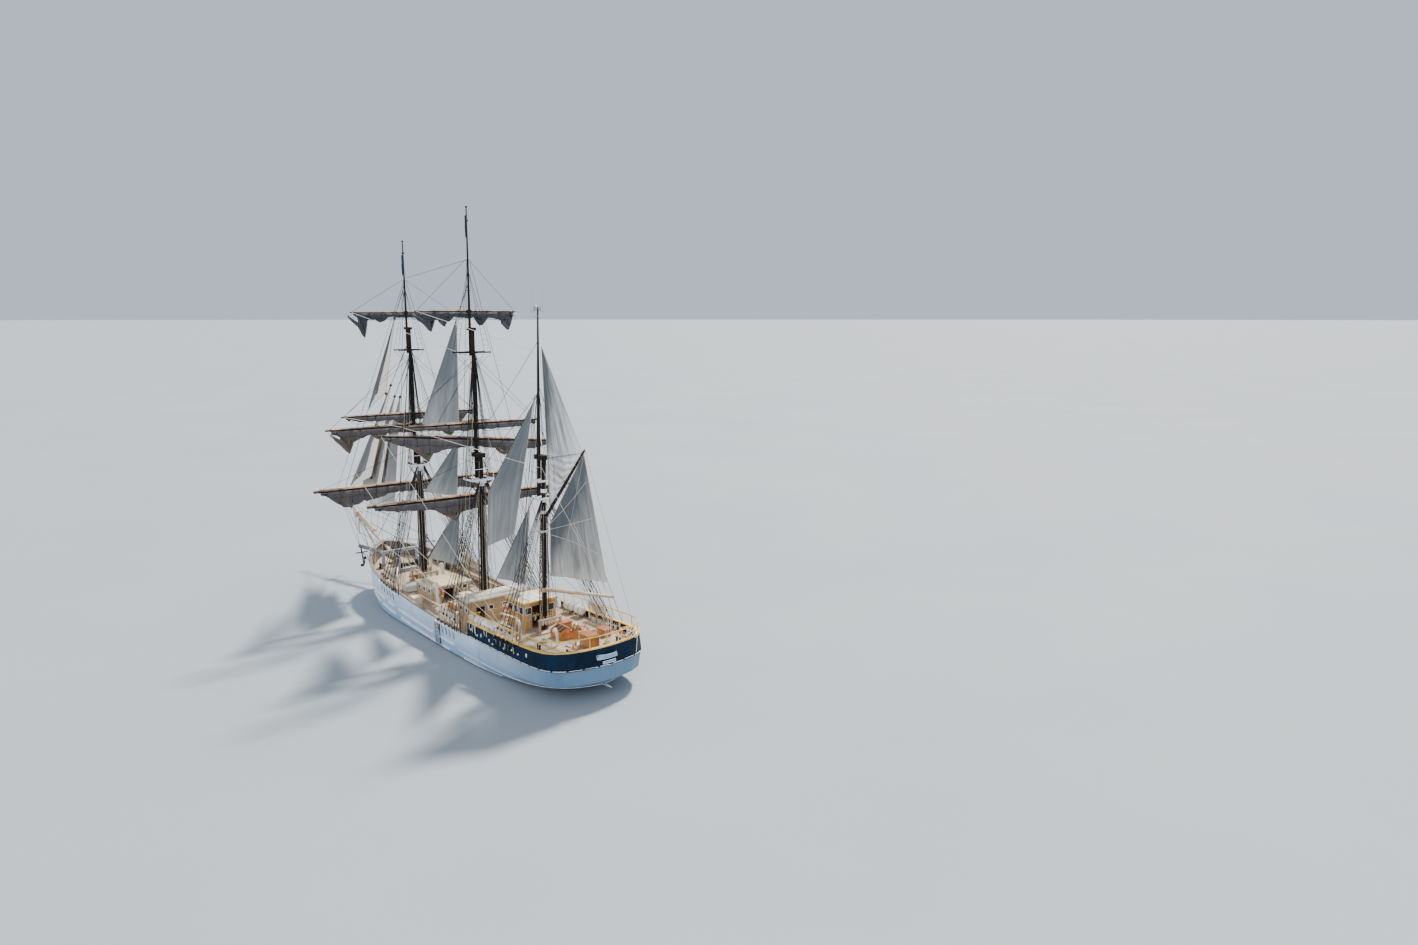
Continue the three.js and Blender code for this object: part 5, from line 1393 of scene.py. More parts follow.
def build_shrouds(thick, gap):
    """Shrouds, backstays and ratlines of all three masts, with their deadeyes and channels."""
    for mast, (backs, out) in SHROUDS.items():
        top_z = MASTS[mast][5]
        lines, steps, eyes, lanyards = [], [], [], []
        channel = Shape()
        for side in (1, -1):
            fan = []
            for k, back in enumerate(backs):
                foot = shroud_foot(mast, side, back)
                head = mast_point(mast, "lower", top_z + 0.12) + vec(-0.1 - 0.05 * k, side * 0.15, 0.04 * k)
                upper = foot.lerp(head, 0.065)
                lower = foot.lerp(head, 0.012)
                lines.append(([upper, head], 0.024 * thick))
                for shift in (-0.035, 0.0, 0.035):
                    along = vec(shift, 0, 0)
                    lanyards.append(([lower + along, upper + along], 0.012 * thick))
                eyes += [(upper, (0, 1, 0)), (lower, (0, 1, 0))]
                chain = vec(foot.x, side * (hull_side(foot.x, foot.z - 0.75) + 0.03), foot.z - 0.75)
                lines.append(([lower, foot, chain], 0.022 * thick))
                fan.append((lower, head))
            first, last = shroud_foot(mast, side, backs[0] + 0.25), shroud_foot(mast, side, backs[-1] - 0.9)
            grid = []
            for i in range(9):
                x = mix(first.x, last.x, i / 8)
                inner = rail_y(x) - 0.02
                grid.append([vec(x, side * inner, rail_z(x) - 0.12),
                             vec(x, side * (rail_y(x) + out + 0.1), rail_z(x) - 0.12)])
            channel.plate(grid, 0.06)
            low = max(foot.z for foot, _ in fan) + 0.55
            steps += ratlines(fan, low, top_z - 0.35, gap)
            sheer_pole = [foot.lerp(head, 0.085) for foot, head in fan]
            lines.append((sheer_pole, 0.028 * thick))
            if mast != "mizzen":
                long, half = TOP_HALF[mast]
                back_x = mast_point(mast, "lower", top_z).x - MASTS[mast][3] - 0.2
                upper_fan = []
                for k in range(4):
                    rim = vec(back_x + long * (0.25 + 0.16 * k), side * (half - 0.04), top_z + 0.07)
                    head = mast_point(mast, "topmast", MASTS[mast][6] - 0.25)
                    head += vec(0.03 * k - 0.1, side * 0.1, 0)
                    lines.append(([rim, head], 0.021 * thick))
                    hold = mast_point(mast, "lower", top_z - 1.15) + vec(0.05 * k - 0.1, side * 0.2, 0)
                    lines.append(([rim - vec(0, 0, 0.12), hold], 0.016 * thick))
                    eyes.append((rim + vec(0, 0, 0.08), (0, 1, 0)))
                    upper_fan.append((rim, head))
                steps += ratlines(upper_fan, top_z + 0.6, MASTS[mast][6] - 1.5, gap, 0.01)
                tree_z = MASTS[mast][6]
                highest = []
                for ahead in (-0.25, 0.7):
                    end = mast_point(mast, "topmast", tree_z) + vec(ahead, side * CROSSTREE_HALF[mast], 0.06)
                    head = mast_point(mast, "pole", TOPGALLANT_HOUNDS[mast] - 0.9) + vec(0, side * 0.06, 0)
                    lines.append(([end, head], 0.014 * thick))
                    hold = mast_point(mast, "topmast", tree_z - 1.3) + vec(ahead * 0.1, side * 0.14, 0)
                    lines.append(([end - vec(0, 0, 0.1), hold], 0.013 * thick))
                    highest.append((end, head))
                steps += ratlines(highest, tree_z + 0.5, TOPGALLANT_HOUNDS[mast] - 3.2, gap, 0.009)
                for k, (back, height, end) in enumerate((
                    (backs[-1] - 0.35, tree_z - 0.1, "topmast"),
                    (backs[-1] - 0.7, tree_z + 0.05, "topmast"),
                    (backs[-1] - 1.3, TOPGALLANT_HOUNDS[mast], "pole"),
                )):
                    foot = shroud_foot(mast, side, back)
                    head = mast_point(mast, end, height) + vec(-0.05, side * 0.1, 0)
                    lines.append(([foot.lerp(head, 0.03), head], 0.016 * thick))
                    lines.append(([foot, foot.lerp(head, 0.03)], 0.03 * thick))
            else:
                head = mast_point("mizzen", "topmast", 18.9) + vec(0, side * 0.08, 0)
                half = TOP_HALF[mast][1]
                for k, x in enumerate((-0.05, 0.35)):
                    rim = mast_point("mizzen", "lower", top_z) + vec(x, side * half, 0.06)
                    lines.append(([rim, head], 0.014 * thick))
                for back in (-2.7, -3.5):
                    foot = shroud_foot(mast, side, back)
                    lines.append(([foot, head + vec(-0.05, 0, 0.2)], 0.016 * thick))
        ropes(mast + "_shrouds", "ship", lines, "tarred")
        ropes(mast + "_ratlines", "ship", steps, "tarred", 4)
        ropes(mast + "_lanyards", "ship", lanyards, "rope", 4)
        beads(mast + "_deadeyes", "ship", eyes, "yard", 0.095, 0.07, 10)
        channel.piece(mast + "_channels", "ship", "white" if mast != "mizzen" else "blue")


def build_stays(thick):
    """Stays along the middle of the ship, those under the bowsprit, and the guys on each side of it."""
    lines = []
    stem = vec(16.55, 0, 1.0)
    bow_end, boom_end = vec(23.3, 0, 5.15), vec(28.5, 0, 7.1)
    middle = vec(24.6, 0, 5.95)
    lines += [([stem, bow_end], 0.03 * thick), ([stem + vec(0.1, 0, 0.25), bow_end + vec(-0.4, 0, 0)], 0.03)]
    striker = vec(23.35, 0, 3.6)
    lines += [([striker, boom_end], 0.02), ([striker, middle], 0.018)]
    for side in (1, -1):
        lines.append(([striker, vec(16.4, side * 1.2, 2.6)], 0.018))
        lines.append(([vec(15.6, side * 1.95, 3.3), bow_end], 0.024))
        lines.append(([vec(15.3, side * 3.0, 4.25), boom_end], 0.016))
        lines.append(([vec(15.3, side * 3.0, 4.25), middle], 0.016))
    fore_truck = mast_point("fore", "pole", TOPGALLANT_HOUNDS["fore"])
    main_head = mast_point("main", "pole", TOPGALLANT_HOUNDS["main"])
    lines += [
        ([fore_truck, boom_end], 0.016),
        ([main_head, fore_truck + vec(0, 0, 0.1)], 0.015),
        ([mast_point("mizzen", "topmast", 22.2), mast_point("main", "topmast", 14.6)], 0.015),
        ([mast_point("mizzen", "topmast", 18.9), mast_point("main", "lower", 12.6)], 0.018),
        ([mast_point("main", "lower", 13.0), mast_point("fore", "lower", 3.2)], 0.024),
        ([mast_point("fore", "lower", 12.4) + vec(0, 0.08, 0), vec(18.6, 0.12, 4.0)], 0.024),
        ([mast_point("main", "topmast", 20.8), mast_point("fore", "lower", 12.3)], 0.018),
    ]
    ropes("fore_and_aft_stays", "ship", lines, "tarred")
    dolphin = Shape()
    dolphin.turned(vec(23.3, 0, 5.0), striker + vec(0, 0, -0.15),
                   ((0, 0.06), (0.15, 0.09), (0.8, 0.07), (0.97, 0.05), (1, 0.02)), 10)
    dolphin.piece("dolphin_striker", "ship", "bowsprit")


# Running rigging
def pin_spot(side, x, up=0.0, inboard=0.28):
    return vec(x, side * (rail_y(x) - inboard), rail_z(x) - 0.15 + up)


def build_running_rigging(thick):
    """Halyards, buntlines, sheets and downhauls led to the rails."""
    draw = random.Random(SEED)
    dark, pale = [], []
    leads = (
        ("fore", "lower", (11.3, 11.0, 10.6, 9.8), 10, (5.2, 8.6)),
        ("fore", "topmast", (14.2, 17.5, 20.6), 7, (4.6, 7.8)),
        ("main", "lower", (11.5, 11.2, 10.9, 10.1), 10, (-5.8, -2.1)),
        ("main", "topmast", (14.2, 17.6, 20.7), 7, (-6.1, -2.6)),
        ("mizzen", "lower", (11.4, 11.0, 10.2), 8, (-13.6, -10.7)),
        ("mizzen", "topmast", (16.2, 18.6), 4, (-13.2, -11.2)),
    )
    for mast, length, heights, count, (x0, x1) in leads:
        for side in (1, -1):
            for k in range(count):
                z = heights[k % len(heights)] + draw.uniform(-0.2, 0.2)
                shift = vec(draw.uniform(-0.1, 0.15), side * draw.uniform(0.12, 0.24), 0)
                head = mast_point(mast, length, z) + shift
                foot = pin_spot(side, mix(x0, x1, (k + draw.uniform(0.2, 0.8)) / count))
                group = pale if draw.random() < 0.45 else dark
                group.append(([foot, head], draw.uniform(0.011, 0.017) * thick))
    for mast, half, count in (("fore", 0.75, 8), ("main", 0.85, 10), ("mizzen", 0.6, 6)):
        foot_x, foot_z = MASTS[mast][0], deck_z(MASTS[mast][0]) + 0.95
        for k in range(count):
            y = mix(-half, half, k / (count - 1))
            z = draw.uniform(10.3, 11.6) if k % 3 else draw.uniform(13.2, 13.8)
            head = mast_point(mast, "lower", z) + vec(-0.22, y * 0.25, 0)
            (pale if k % 2 else dark).append(([vec(foot_x - 0.75, y, foot_z), head], 0.013 * thick))
    for name, (start, end, flat) in STAYSAILS.items():
        corners, jib = staysail_corners(flat)
        head, tack, clew = corners[0], corners[1], corners[-1]
        if name == "fore_staysail":
            foot = vec(9.6, 2.9, deck_z(9.6) + 0.9)
        elif jib:
            foot = vec(clew.x - 3.9, rail_y(clew.x - 3.9) - 0.2, rail_z(clew.x - 3.9))
        elif name.startswith("mizzen"):
            foot = vec(-12.6 if "top" in name else -9.9, -(rail_y(-12.6) - 0.2), rail_z(-12.6))
        else:
            foot = vec(-3.6, -(rail_y(-3.6) - 0.2), rail_z(-3.6))
        pale.append(([clew, foot], 0.016 * thick))
        top = vec(start[0], 0, start[1])
        dark.append(([head, head.lerp(top, 0.8) + vec(-0.12, 0, 0.02)], 0.013 * thick))
        dark.append(([tack, tack.lerp(vec(end[0], 0, end[1]), 0.55)], 0.016 * thick))
    ropes("halyards_and_buntlines", "ship", dark, "tarred", 4)
    ropes("sheets_and_downhauls", "ship", pale, "rope", 4)


def build_falls(thick):
    """Ropes that run down beside each mast to its own pins, and coils hung on the shrouds' pinrails."""
    draw = random.Random(SEED + 3)
    dark, pale = [], []
    for mast, count in (("fore", 16), ("main", 18), ("mizzen", 14)):
        reach = MASTS[mast][3]
        for k in range(count):
            angle = 2 * math.pi * (k + draw.uniform(-0.3, 0.3)) / count
            way = vec(math.cos(angle), math.sin(angle), 0)
            low_z = deck_z(MASTS[mast][0]) + draw.uniform(0.9, 1.4)
            low = mast_point(mast, "lower", low_z) + way * (reach + 0.16)
            high_z = MASTS[mast][5] - draw.uniform(0.3, 2.0)
            if mast == "mizzen" and way.x < -0.4:
                continue
            high = mast_point(mast, "lower", high_z) + way * (reach + draw.uniform(0.03, 0.07))
            group = pale if draw.random() < 0.12 else dark
            group.append(([low, low.lerp(high, 0.5) + way * 0.02, high], draw.uniform(0.014, 0.024) * thick))
    for mast, top in (("fore", 20.6), ("main", 20.8)):
        for k in range(9):
            angle = 2 * math.pi * (k + draw.uniform(-0.3, 0.3)) / 9
            way = vec(math.cos(angle), math.sin(angle), 0)
            low = mast_point(mast, "topmast", 14.1) + way * 0.24
            high = mast_point(mast, "topmast", top - draw.uniform(0, 2)) + way * 0.18
            dark.append(([low, high], draw.uniform(0.012, 0.018) * thick))
    ropes("mast_falls", "ship", dark, "tarred")
    ropes("mast_falls_pale", "ship", pale, "rope")

    rails, coils = Shape(), []
    for mast, (backs, _) in SHROUDS.items():
        high = 0.95 if mast != "mizzen" else 0.8
        for side in (1, -1):
            ends = []
            for back in (backs[0] + 0.3, backs[-1] - 0.3):
                foot = shroud_foot(mast, side, back)
                head = mast_point(mast, "lower", MASTS[mast][5])
                ends.append(foot.lerp(head, high / (head.z - foot.z)) + vec(0, -side * 0.07, 0))
            rails.beam(ends[0], ends[1], 0.13, 0.07)
            count = 13 if mast != "mizzen" else 10
            for k in range(count):
                place = ends[0].lerp(ends[1], (k + draw.uniform(0.3, 0.7)) / count)
                outboard = mast == "main" and k % 2
                drop = draw.uniform(1.2, 1.9) if outboard else draw.uniform(0.5, 0.95)
                wide = draw.uniform(0.07, 0.13)
                if outboard:
                    place = place + vec(0, side * 0.22, 0)
                for turn in range(draw.choice((2, 3, 4))):
                    loop = []
                    for angle in round_angles(10, 1):
                        loop.append(place + vec(
                            wide * math.sin(angle) * (0.6 + 0.2 * turn),
                            side * (0.02 + 0.03 * turn) - side * 0.1,
                            0.1 - drop * (0.5 - 0.5 * math.cos(angle)) * (0.8 + 0.1 * turn),
                        ))
                    coils.append((loop, 0.02 * thick))
    rails.piece("shroud_pinrails", "ship", "teak")
    ropes("shroud_coils", "ship", coils, "white_rope", 4)


LIFTS = {
    # where a yard's lifts come from, as mast, length of mast and height,
    # and where its braces do, given so too or as an x along the rail
    "fore_course": (("fore", "lower", 13.3), -10.9),
    "fore_lower_topsail": (("fore", "topmast", 20.4), -4.6),
    "fore_upper_topsail": (("fore", "topmast", 20.9), ("main", "topmast", 14.9)),
    "fore_topgallant": (("fore", "pole", 26.7), ("main", "topmast", 20.9)),
    "main_course": (("main", "lower", 13.7), -12.9),
    "main_lower_topsail": (("main", "topmast", 20.5), -11.9),
    "main_upper_topsail": (("main", "topmast", 21.0), ("mizzen", "lower", 13.9)),
    "main_topgallant": (("main", "pole", 27.8), ("mizzen", "topmast", 21.6)),
}


def build_yard_gear(thick):
    """Lifts and braces between each yard and the ship, and footropes."""
    for name, (lift, brace) in LIFTS.items():
        half = YARDS[name][4]
        body = name + "_yard"
        for side, word in PORT_AND_STARBOARD:
            arm = on_yard(name, side * half * 0.95, 0, 0.08)
            head = mast_point(*lift) + vec(0.1, side * 0.12, 0)
            ropes(f"{name}_lift_{word}", "ship", [([head, arm], 0.014 * thick)], "tarred", 4,
                  (body, head))
            arm = on_yard(name, side * half * 0.97, -0.05, 0)
            if isinstance(brace, float):
                hold = pin_spot(side, brace, 0.25, 0.1)
            else:
                hold = mast_point(*brace) + vec(0.15, side * 0.2, 0)
            ropes(f"{name}_brace_{word}", "ship", [([hold, arm], 0.017 * thick)], "white_rope", 4,
                  (body, hold))
        hung = []
        for side in (1, -1):
            inner, outer = side * 0.4, side * half * 0.93
            path = []
            count = max(3, int(half / 1.5))
            for i in range(count * 6 + 1):
                share = i / (count * 6)
                along = mix(inner, outer, share)
                near = abs((share * count) % 1.0 - 0.5) * 2
                sag = 0.62 - 0.1 * near - 0.35 * smooth((share - 0.85) / 0.15)
                sag -= 0.3 * smooth((0.08 - share) / 0.08)
                path.append(on_yard(name, along, -0.22, -sag))
            hung.append((path, 0.013 * thick))
            for i in range(1, count):
                along = mix(inner, outer, i / count)
                hung.append(([on_yard(name, along, -0.1, 0.0), on_yard(name, along, -0.22, -0.52)],
                             0.01 * thick))
        ropes(name + "_footropes", body, hung, "tarred", 4)
        jack = []
        for i in range(25):
            along = mix(-half, half, 0.05 + 0.9 * i / 24)
            jack.append(on_yard(name, along, 0.03, yard_radius(name, along) + 0.035))
        ropes(name + "_jackstay", body, [(jack, 0.013 * thick)], "steel")
        bands = Shape()
        for share in (0.035, 0.3, 0.42, 0.58, 0.7, 0.965):
            along = mix(-half, half, share)
            reach = yard_radius(name, along)
            ends = [on_yard(name, along + shift, 0, 0) for shift in (-0.05, 0.05)]
            hoop(bands, *ends, reach, 0.014, 12, 0.01)
        for side in (1, -1):
            reach = yard_radius(name, side * half * 0.999)
            bands.turned(on_yard(name, side * half * 0.94, 0, 0), on_yard(name, side * half * 0.999, 0, 0),
                         ((0, reach * 1.36 + 0.006), (0.7, reach * 1.12 + 0.006), (1, reach + 0.006)), 12, 1)
            bands.block(on_yard(name, side * half * 0.9, -0.12, -0.26) - vec(0.05, 0.09, 0.07),
                        on_yard(name, side * half * 0.9, -0.12, -0.26) + vec(0.05, 0.09, 0.07), 0, 0.03)
        bands.piece(name + "_bands", body, ["black", "black"])
    for name in ("fore_course", "main_course"):
        half = YARDS[name][4]
        stub = Shape()
        for side in (1, -1):
            inner = on_yard(name, side * half * 0.6, 0.24, 0.1)
            outer = on_yard(name, side * half * 1.0, 0.2, 0.08)
            stub.turned(inner, outer, ((0, 0.03), (0.02, 0.065), (0.6, 0.07), (0.97, 0.055), (1, 0.03)), 12)
            for share in (0.68, 0.93):
                ring = []
                for angle in round_angles(12):
                    ring.append(on_yard(name, side * half * share, 0.13 + 0.24 * math.cos(angle),
                                        0.04 + 0.2 * math.sin(angle)))
                stub.tube(ring, 0.016, 5, 1, True)
        stub.piece(name + "_boom_stubs", name + "_yard", ["boom", "black"])


def build_spanker_gear(thick):
    """Topping lifts, vangs and sheet of the boom and gaff, with the lacings and brails of the spanker."""
    boom_end = Vector(BOOM[1])
    gaff_end = Vector(GAFF[1])
    moving = "spanker_gear"
    for side, word in PORT_AND_STARBOARD:
        hold = mast_point("mizzen", "lower", 14.0) + vec(0, side * 0.2, 0)
        for share, radius in ((0.96, 0.014), (0.55, 0.013)):
            end = Vector(GAFF[0]).lerp(gaff_end, share)
            ropes(f"gaff_lift_{word}_{int(share * 100)}", "ship",
                  [([hold + vec(0, 0, 0.5), end], radius * thick)], "tarred", 4,
                  (moving, hold))
        end = Vector(BOOM[0]).lerp(boom_end, 0.93)
        ropes(f"boom_lift_{word}", "ship", [([hold, end], 0.015 * thick)],
              "white_rope", 4, (moving, hold))
        foot = vec(-15.9, side * (rail_y(-15.9) - 0.2), rail_z(-15.9))
        ropes(f"vang_{word}", "ship", [([foot, gaff_end], 0.013 * thick)],
              "rope", 4, (moving, foot))
    for k, y in enumerate((-0.25, 0.0, 0.25)):
        foot = vec(-17.3, y - 0.3, rail_z(-17.3) + 0.05)
        end = Vector(BOOM[0]).lerp(boom_end, 0.95) + vec(0, 0, -0.12)
        ropes(f"boom_sheet_{k}", "ship", [([foot, end], 0.016 * thick)], "white_rope", 4,
              (moving, foot))
    brails = []
    tack, throat = Vector(SPANKER[2]), Vector(SPANKER[1])
    clew, peak = Vector(SPANKER[3]), Vector(SPANKER[0])
    for share in (0.22, 0.5, 0.78):
        leech = clew.lerp(peak, share)
        for side in (1, -1):
            points = []
            for i in range(13):
                t = i / 12
                point = leech.lerp(tack.lerp(throat, mix(share, 1.0, 0.75)), t)
                fall = 0.06 * 9.0 * math.sin(math.pi * (1 - t)) * (1 - share) * (0.4 + 1.2 * share)
                points.append(point + vec(0, -fall * 0.9 + side * (0.28 if side < 0 else 0.2), 0))
            brails.append((points, 0.014 * thick))
    ropes("spanker_brails", moving, brails, "white_rope", 4)
    lacing = []
    for i in range(18):
        share = (i + 0.5) / 18
        centre = tack.lerp(throat, share)
        mast_centre = mast_point("mizzen", "lower", centre.z)
        ring = [vec(0.27 * math.cos(a), 0.27 * math.sin(a), 0.03 * math.sin(a)) for a in round_angles(14, 1)]
        lacing.append(([mast_centre + p for p in ring], 0.018))
    ropes("spanker_mast_hoops", moving, lacing, "mast")
    head_rope = []
    for i in range(60):
        share = 0.05 + 0.9 * i / 59
        centre = Vector(GAFF[0]).lerp(gaff_end, share)
        angle = i * 2 * math.pi / 4
        reach = 0.125 * (1 - 0.3 * share)
        axis = (gaff_end - Vector(GAFF[0])).normalized()
        side_way = axis.orthogonal().normalized()
        head_rope.append(centre + Matrix.Rotation(angle, 3, axis) @ side_way * reach)
    ropes("spanker_head_lacing", moving, [(head_rope, 0.012 * thick)], "rope", 4)
    sheet_path = [clew, Vector(BOOM[0]).lerp(boom_end, 0.93) + vec(0, 0, 0.14)]
    ropes("spanker_outhaul", moving, [(sheet_path, 0.018 * thick)], "white_rope")


# Hull trim
def stern_x(y, z):
    """Where the round stern stands at a distance from the centre line and a height."""
    low, high = -18.1, -9.0
    for _ in range(40):
        middle = (low + high) / 2
        if hull_side(middle, z) >= abs(y):
            high = middle
        else:
            low = middle
    return high


def round_stern(z_of, out=0.0, start=-6.4, end=-17.86, count=90):
    """A path along the port side, round the stern and back along the starboard side."""
    port = []
    for i in range(count + 1):
        angle = (i / count) * math.pi / 2
        x = mix(start, end, math.sin(angle) ** 0.9)
        z = z_of(x)
        port.append(vec(x, hull_side(x, z) + out, z))
    last = port[-1]
    across = []
    for i in range(1, 12):
        y = mix(last.y, -last.y, i / 12)
        z = z_of(last.x)
        across.append(vec(min(last.x, stern_x(y, z) - out), y, z))
    return port + across + [vec(p.x, -p.y, p.z) for p in reversed(port)]


def build_hull_trim():
    """Strakes, knuckle line, mouldings, blank boards, cleats, rope ends, ports, hawses, cables and ladder."""
    white = Shape()
    for z0, runs in (
        (0.78, ((13.5, 11.6), (11.2, 8.2), (7.4, 6.1), (5.4, -0.9), (-2.4, -4.3))),
        (0.16, ((12.1, 9.3), (8.9, 6.0), (5.0, -1.2), (-2.3, -3.4), (-5.6, -10.4))),
    ):
        for x0, x1 in runs:
            for side in (1, -1):
                grid = []
                for i in range(25):
                    x = mix(x0, x1, i / 24)
                    z = z0 + (sheer("deck", x) - 1.05) * 0.75
                    y = hull_side(x, z)
                    grid.append([
                        vec(x, side * (y + 0.08), z - 0.004),
                        vec(x, side * (y + 0.081), z + 0.125),
                        vec(x, side * (y + 0.07), z + 0.137),
                        vec(x, side * (y - 0.01), z + 0.142),
                    ])
                white.plate(grid, 0.008)
    white.piece("bright_strakes", "ship", "white")

    line = Shape()
    knuckle = round_stern(lambda x: sheer("knuckle", x) + 0.02, 0.012, -4.8, -17.12)
    line.tube(knuckle, 0.022, 6)
    line.piece("counter_knuckle_line", "ship", "white")

    edge = round_stern(lambda x: sheer("rail", x) + 0.02, 0.012)
    dark = Shape()
    dark.tube(edge, 0.034, 8)
    dark.piece("quarter_moulding", "ship", "black")
    outer = round_stern(lambda x: sheer("rail", x) + 0.045, 0.03)
    lengths = [0.0]
    for p, q in zip(outer, outer[1:]):
        lengths.append(lengths[-1] + (q - p).length)
    dashes = Shape()
    reach = 0.3
    while reach < lengths[-1] - 1.0:
        span = 0.85
        dashes.tube([along_path(outer, (reach + span * k / 6) / lengths[-1]) for k in range(7)], 0.022, 6)
        reach += span + 0.16
    dashes.piece("quarter_moulding_dashes", "ship", "white")

    boards = Shape()
    for y0, y1, z, high in ((0.86, -0.57, 2.93, 0.25), (0.52, -0.42, 2.57, 0.17)):
        def spot(y, up, out):
            return vec(stern_x(y, z + up) - out, y, z + up)

        grid = [[spot(mix(y0, y1, i / 16), up, 0.02) for up in (-high / 2, 0.0, high / 2)] for i in range(17)]
        boards.plate(grid, 0.03, 0)
        for up in (-high / 2, high / 2):
            boards.tube([spot(mix(y0, y1, i / 16), up, 0.035) for i in range(17)], 0.014, 6, 1)
        for y in (y0, y1):
            boards.tube([spot(y, up, 0.035) for up in (-high / 2, 0.0, high / 2)], 0.014, 6, 1)
    boards.piece("name_boards", "ship", ["board", "white"])

    marks = Shape()
    for x, down, tall, wide in (
        (-6.9, 0.42, 0.16, 0.1), (-7.8, 0.62, 0.14, 0.09), (-8.35, 0.5, 0.26, 0.07), (-9.5, 0.55, 0.22, 0.08),
        (-9.95, 0.7, 0.12, 0.1), (-11.0, 0.5, 0.2, 0.09), (-11.5, 0.62, 0.18, 0.07), (-12.5, 0.5, 0.15, 0.1),
        (-13.3, 0.6, 0.12, 0.1), (-14.3, 0.45, 0.24, 0.1),
    ):
        for side in (1, -1):
            z = sheer("quarter", x) - down
            y = hull_side(x, z)
            marks.block((x - wide / 2, side * y - 0.035, z - tall / 2),
                        (x + wide / 2, side * y + 0.035, z + tall / 2), 0, 0.02)
            marks.tube([(x, side * (y + 0.03), z + tall * 0.3), (x + 0.02, side * (y + 0.07), z),
                        (x, side * (y + 0.03), z - tall * 0.3)], 0.014, 6, 0)
    marks.piece("quarter_cleats", "ship", "canister")
    hung = []
    draw = random.Random(SEED + 4)
    for k in range(26):
        x = draw.uniform(-13.8, -6.8)
        side = 1 if k % 3 else -1
        top = vec(x, side * (rail_y(x) + 0.06), rail_z(x) + 0.03)
        inner = vec(x, side * (rail_y(x) - 0.25), rail_z(x) + 0.02)
        low_z = top.z - draw.uniform(0.3, 0.75)
        end = vec(x + draw.uniform(-0.15, 0.15), side * (hull_side(x, low_z) + 0.04), low_z)
        hung.append(([inner, top, top.lerp(end, 0.4) + vec(0.02, side * 0.02, 0), end], 0.02))
    hung.append(([vec(-17.2, -2.35, 3.75), vec(-17.45, -2.5, 3.5), vec(-17.5, -2.4, 2.7),
                  vec(-17.4, -2.35, 2.0)], 0.024))
    ropes("hanging_rope_ends", "ship", hung, "white_rope")

    ports = Shape()
    for side in (1, -1):
        for x in (10.8, 8.1, 3.0, 0.4, -2.9, -5.1):
            z = sheer("deck", x) + 0.24
            y = hull_side(x, z)
            y2 = hull_side(x, z + 0.32)
            grid = [[vec(x + s, side * (y + 0.012), z), vec(x + s, side * (y2 + 0.012), z + 0.3)]
                    for s in (-0.34, -0.17, 0, 0.17, 0.34)]
            ports.plate(grid, 0.03, 0)
            for a, b in (((-0.37, 0), (-0.37, 0.32)), ((0.37, 0), (0.37, 0.32)),
                         ((-0.37, 0.32), (0.37, 0.32)), ((-0.37, -0.02), (0.37, -0.02))):
                ports.beam((x + a[0], side * (y + 0.02), z + a[1]), (x + b[0], side * (y2 + 0.02), z + b[1]),
                           0.035, 0.035)
    ports.piece("freeing_ports", "ship", "hull")

    hawse = Shape()
    for side in (1, -1):
        place = vec(15.35, side * hull_side(15.35, 1.75), 1.75)
        way = vec(0.55, side * 0.8, -0.25).normalized()
        hawse.tube(round_path(place + way * 0.03, way, 0.17, 16), 0.045, 8, 0, True)
    hawse.piece("hawse_rims", "ship", "black")
    chain = []
    for side in (1, -1):
        path = sagged((15.4, side * (hull_side(15.4, 1.75) + 0.05), 1.72),
                      (15.05, side * 3.02, 4.02), 0.18, 14)
        for k, (a, b) in enumerate(zip(path, path[1:])):
            chain.append(([a, a.lerp(b, 0.5) + vec(0.03 if k % 2 else -0.03, 0, 0), b], 0.03))
    ropes("anchor_cables", "ship", chain, "black")

    ladder, x = Shape(), -1.6
    for dx in (-0.19, 0.19):
        ladder.tube([(x + dx, hull_side(x, z) + 0.1, z) for z in (1.95, 1.5, 1.0, 0.5, 0.25)], 0.024, 8)
    for k in range(6):
        z = 0.32 + 0.28 * k
        y = hull_side(x, z) + 0.1
        ladder.beam((x - 0.21, y, z), (x + 0.21, y, z), 0.11, 0.035, 1)
    ladder.piece("side_ladder", "ship", ["rope", "teak"], "deck_planks")
    rubber = Shape()
    for x in (-1.25, -2.0):
        rubber.beam((x, hull_side(x, 0.3) + 0.06, 0.3), (x, hull_side(x, 1.9) + 0.05, 1.9), 0.07, 0.07)
    rubber.piece("side_fenders", "ship", "teal_cloth")


# Deck gear, by its place along the ship
CAPSTAN_X = 14.6
BINNACLE_X = -14.1


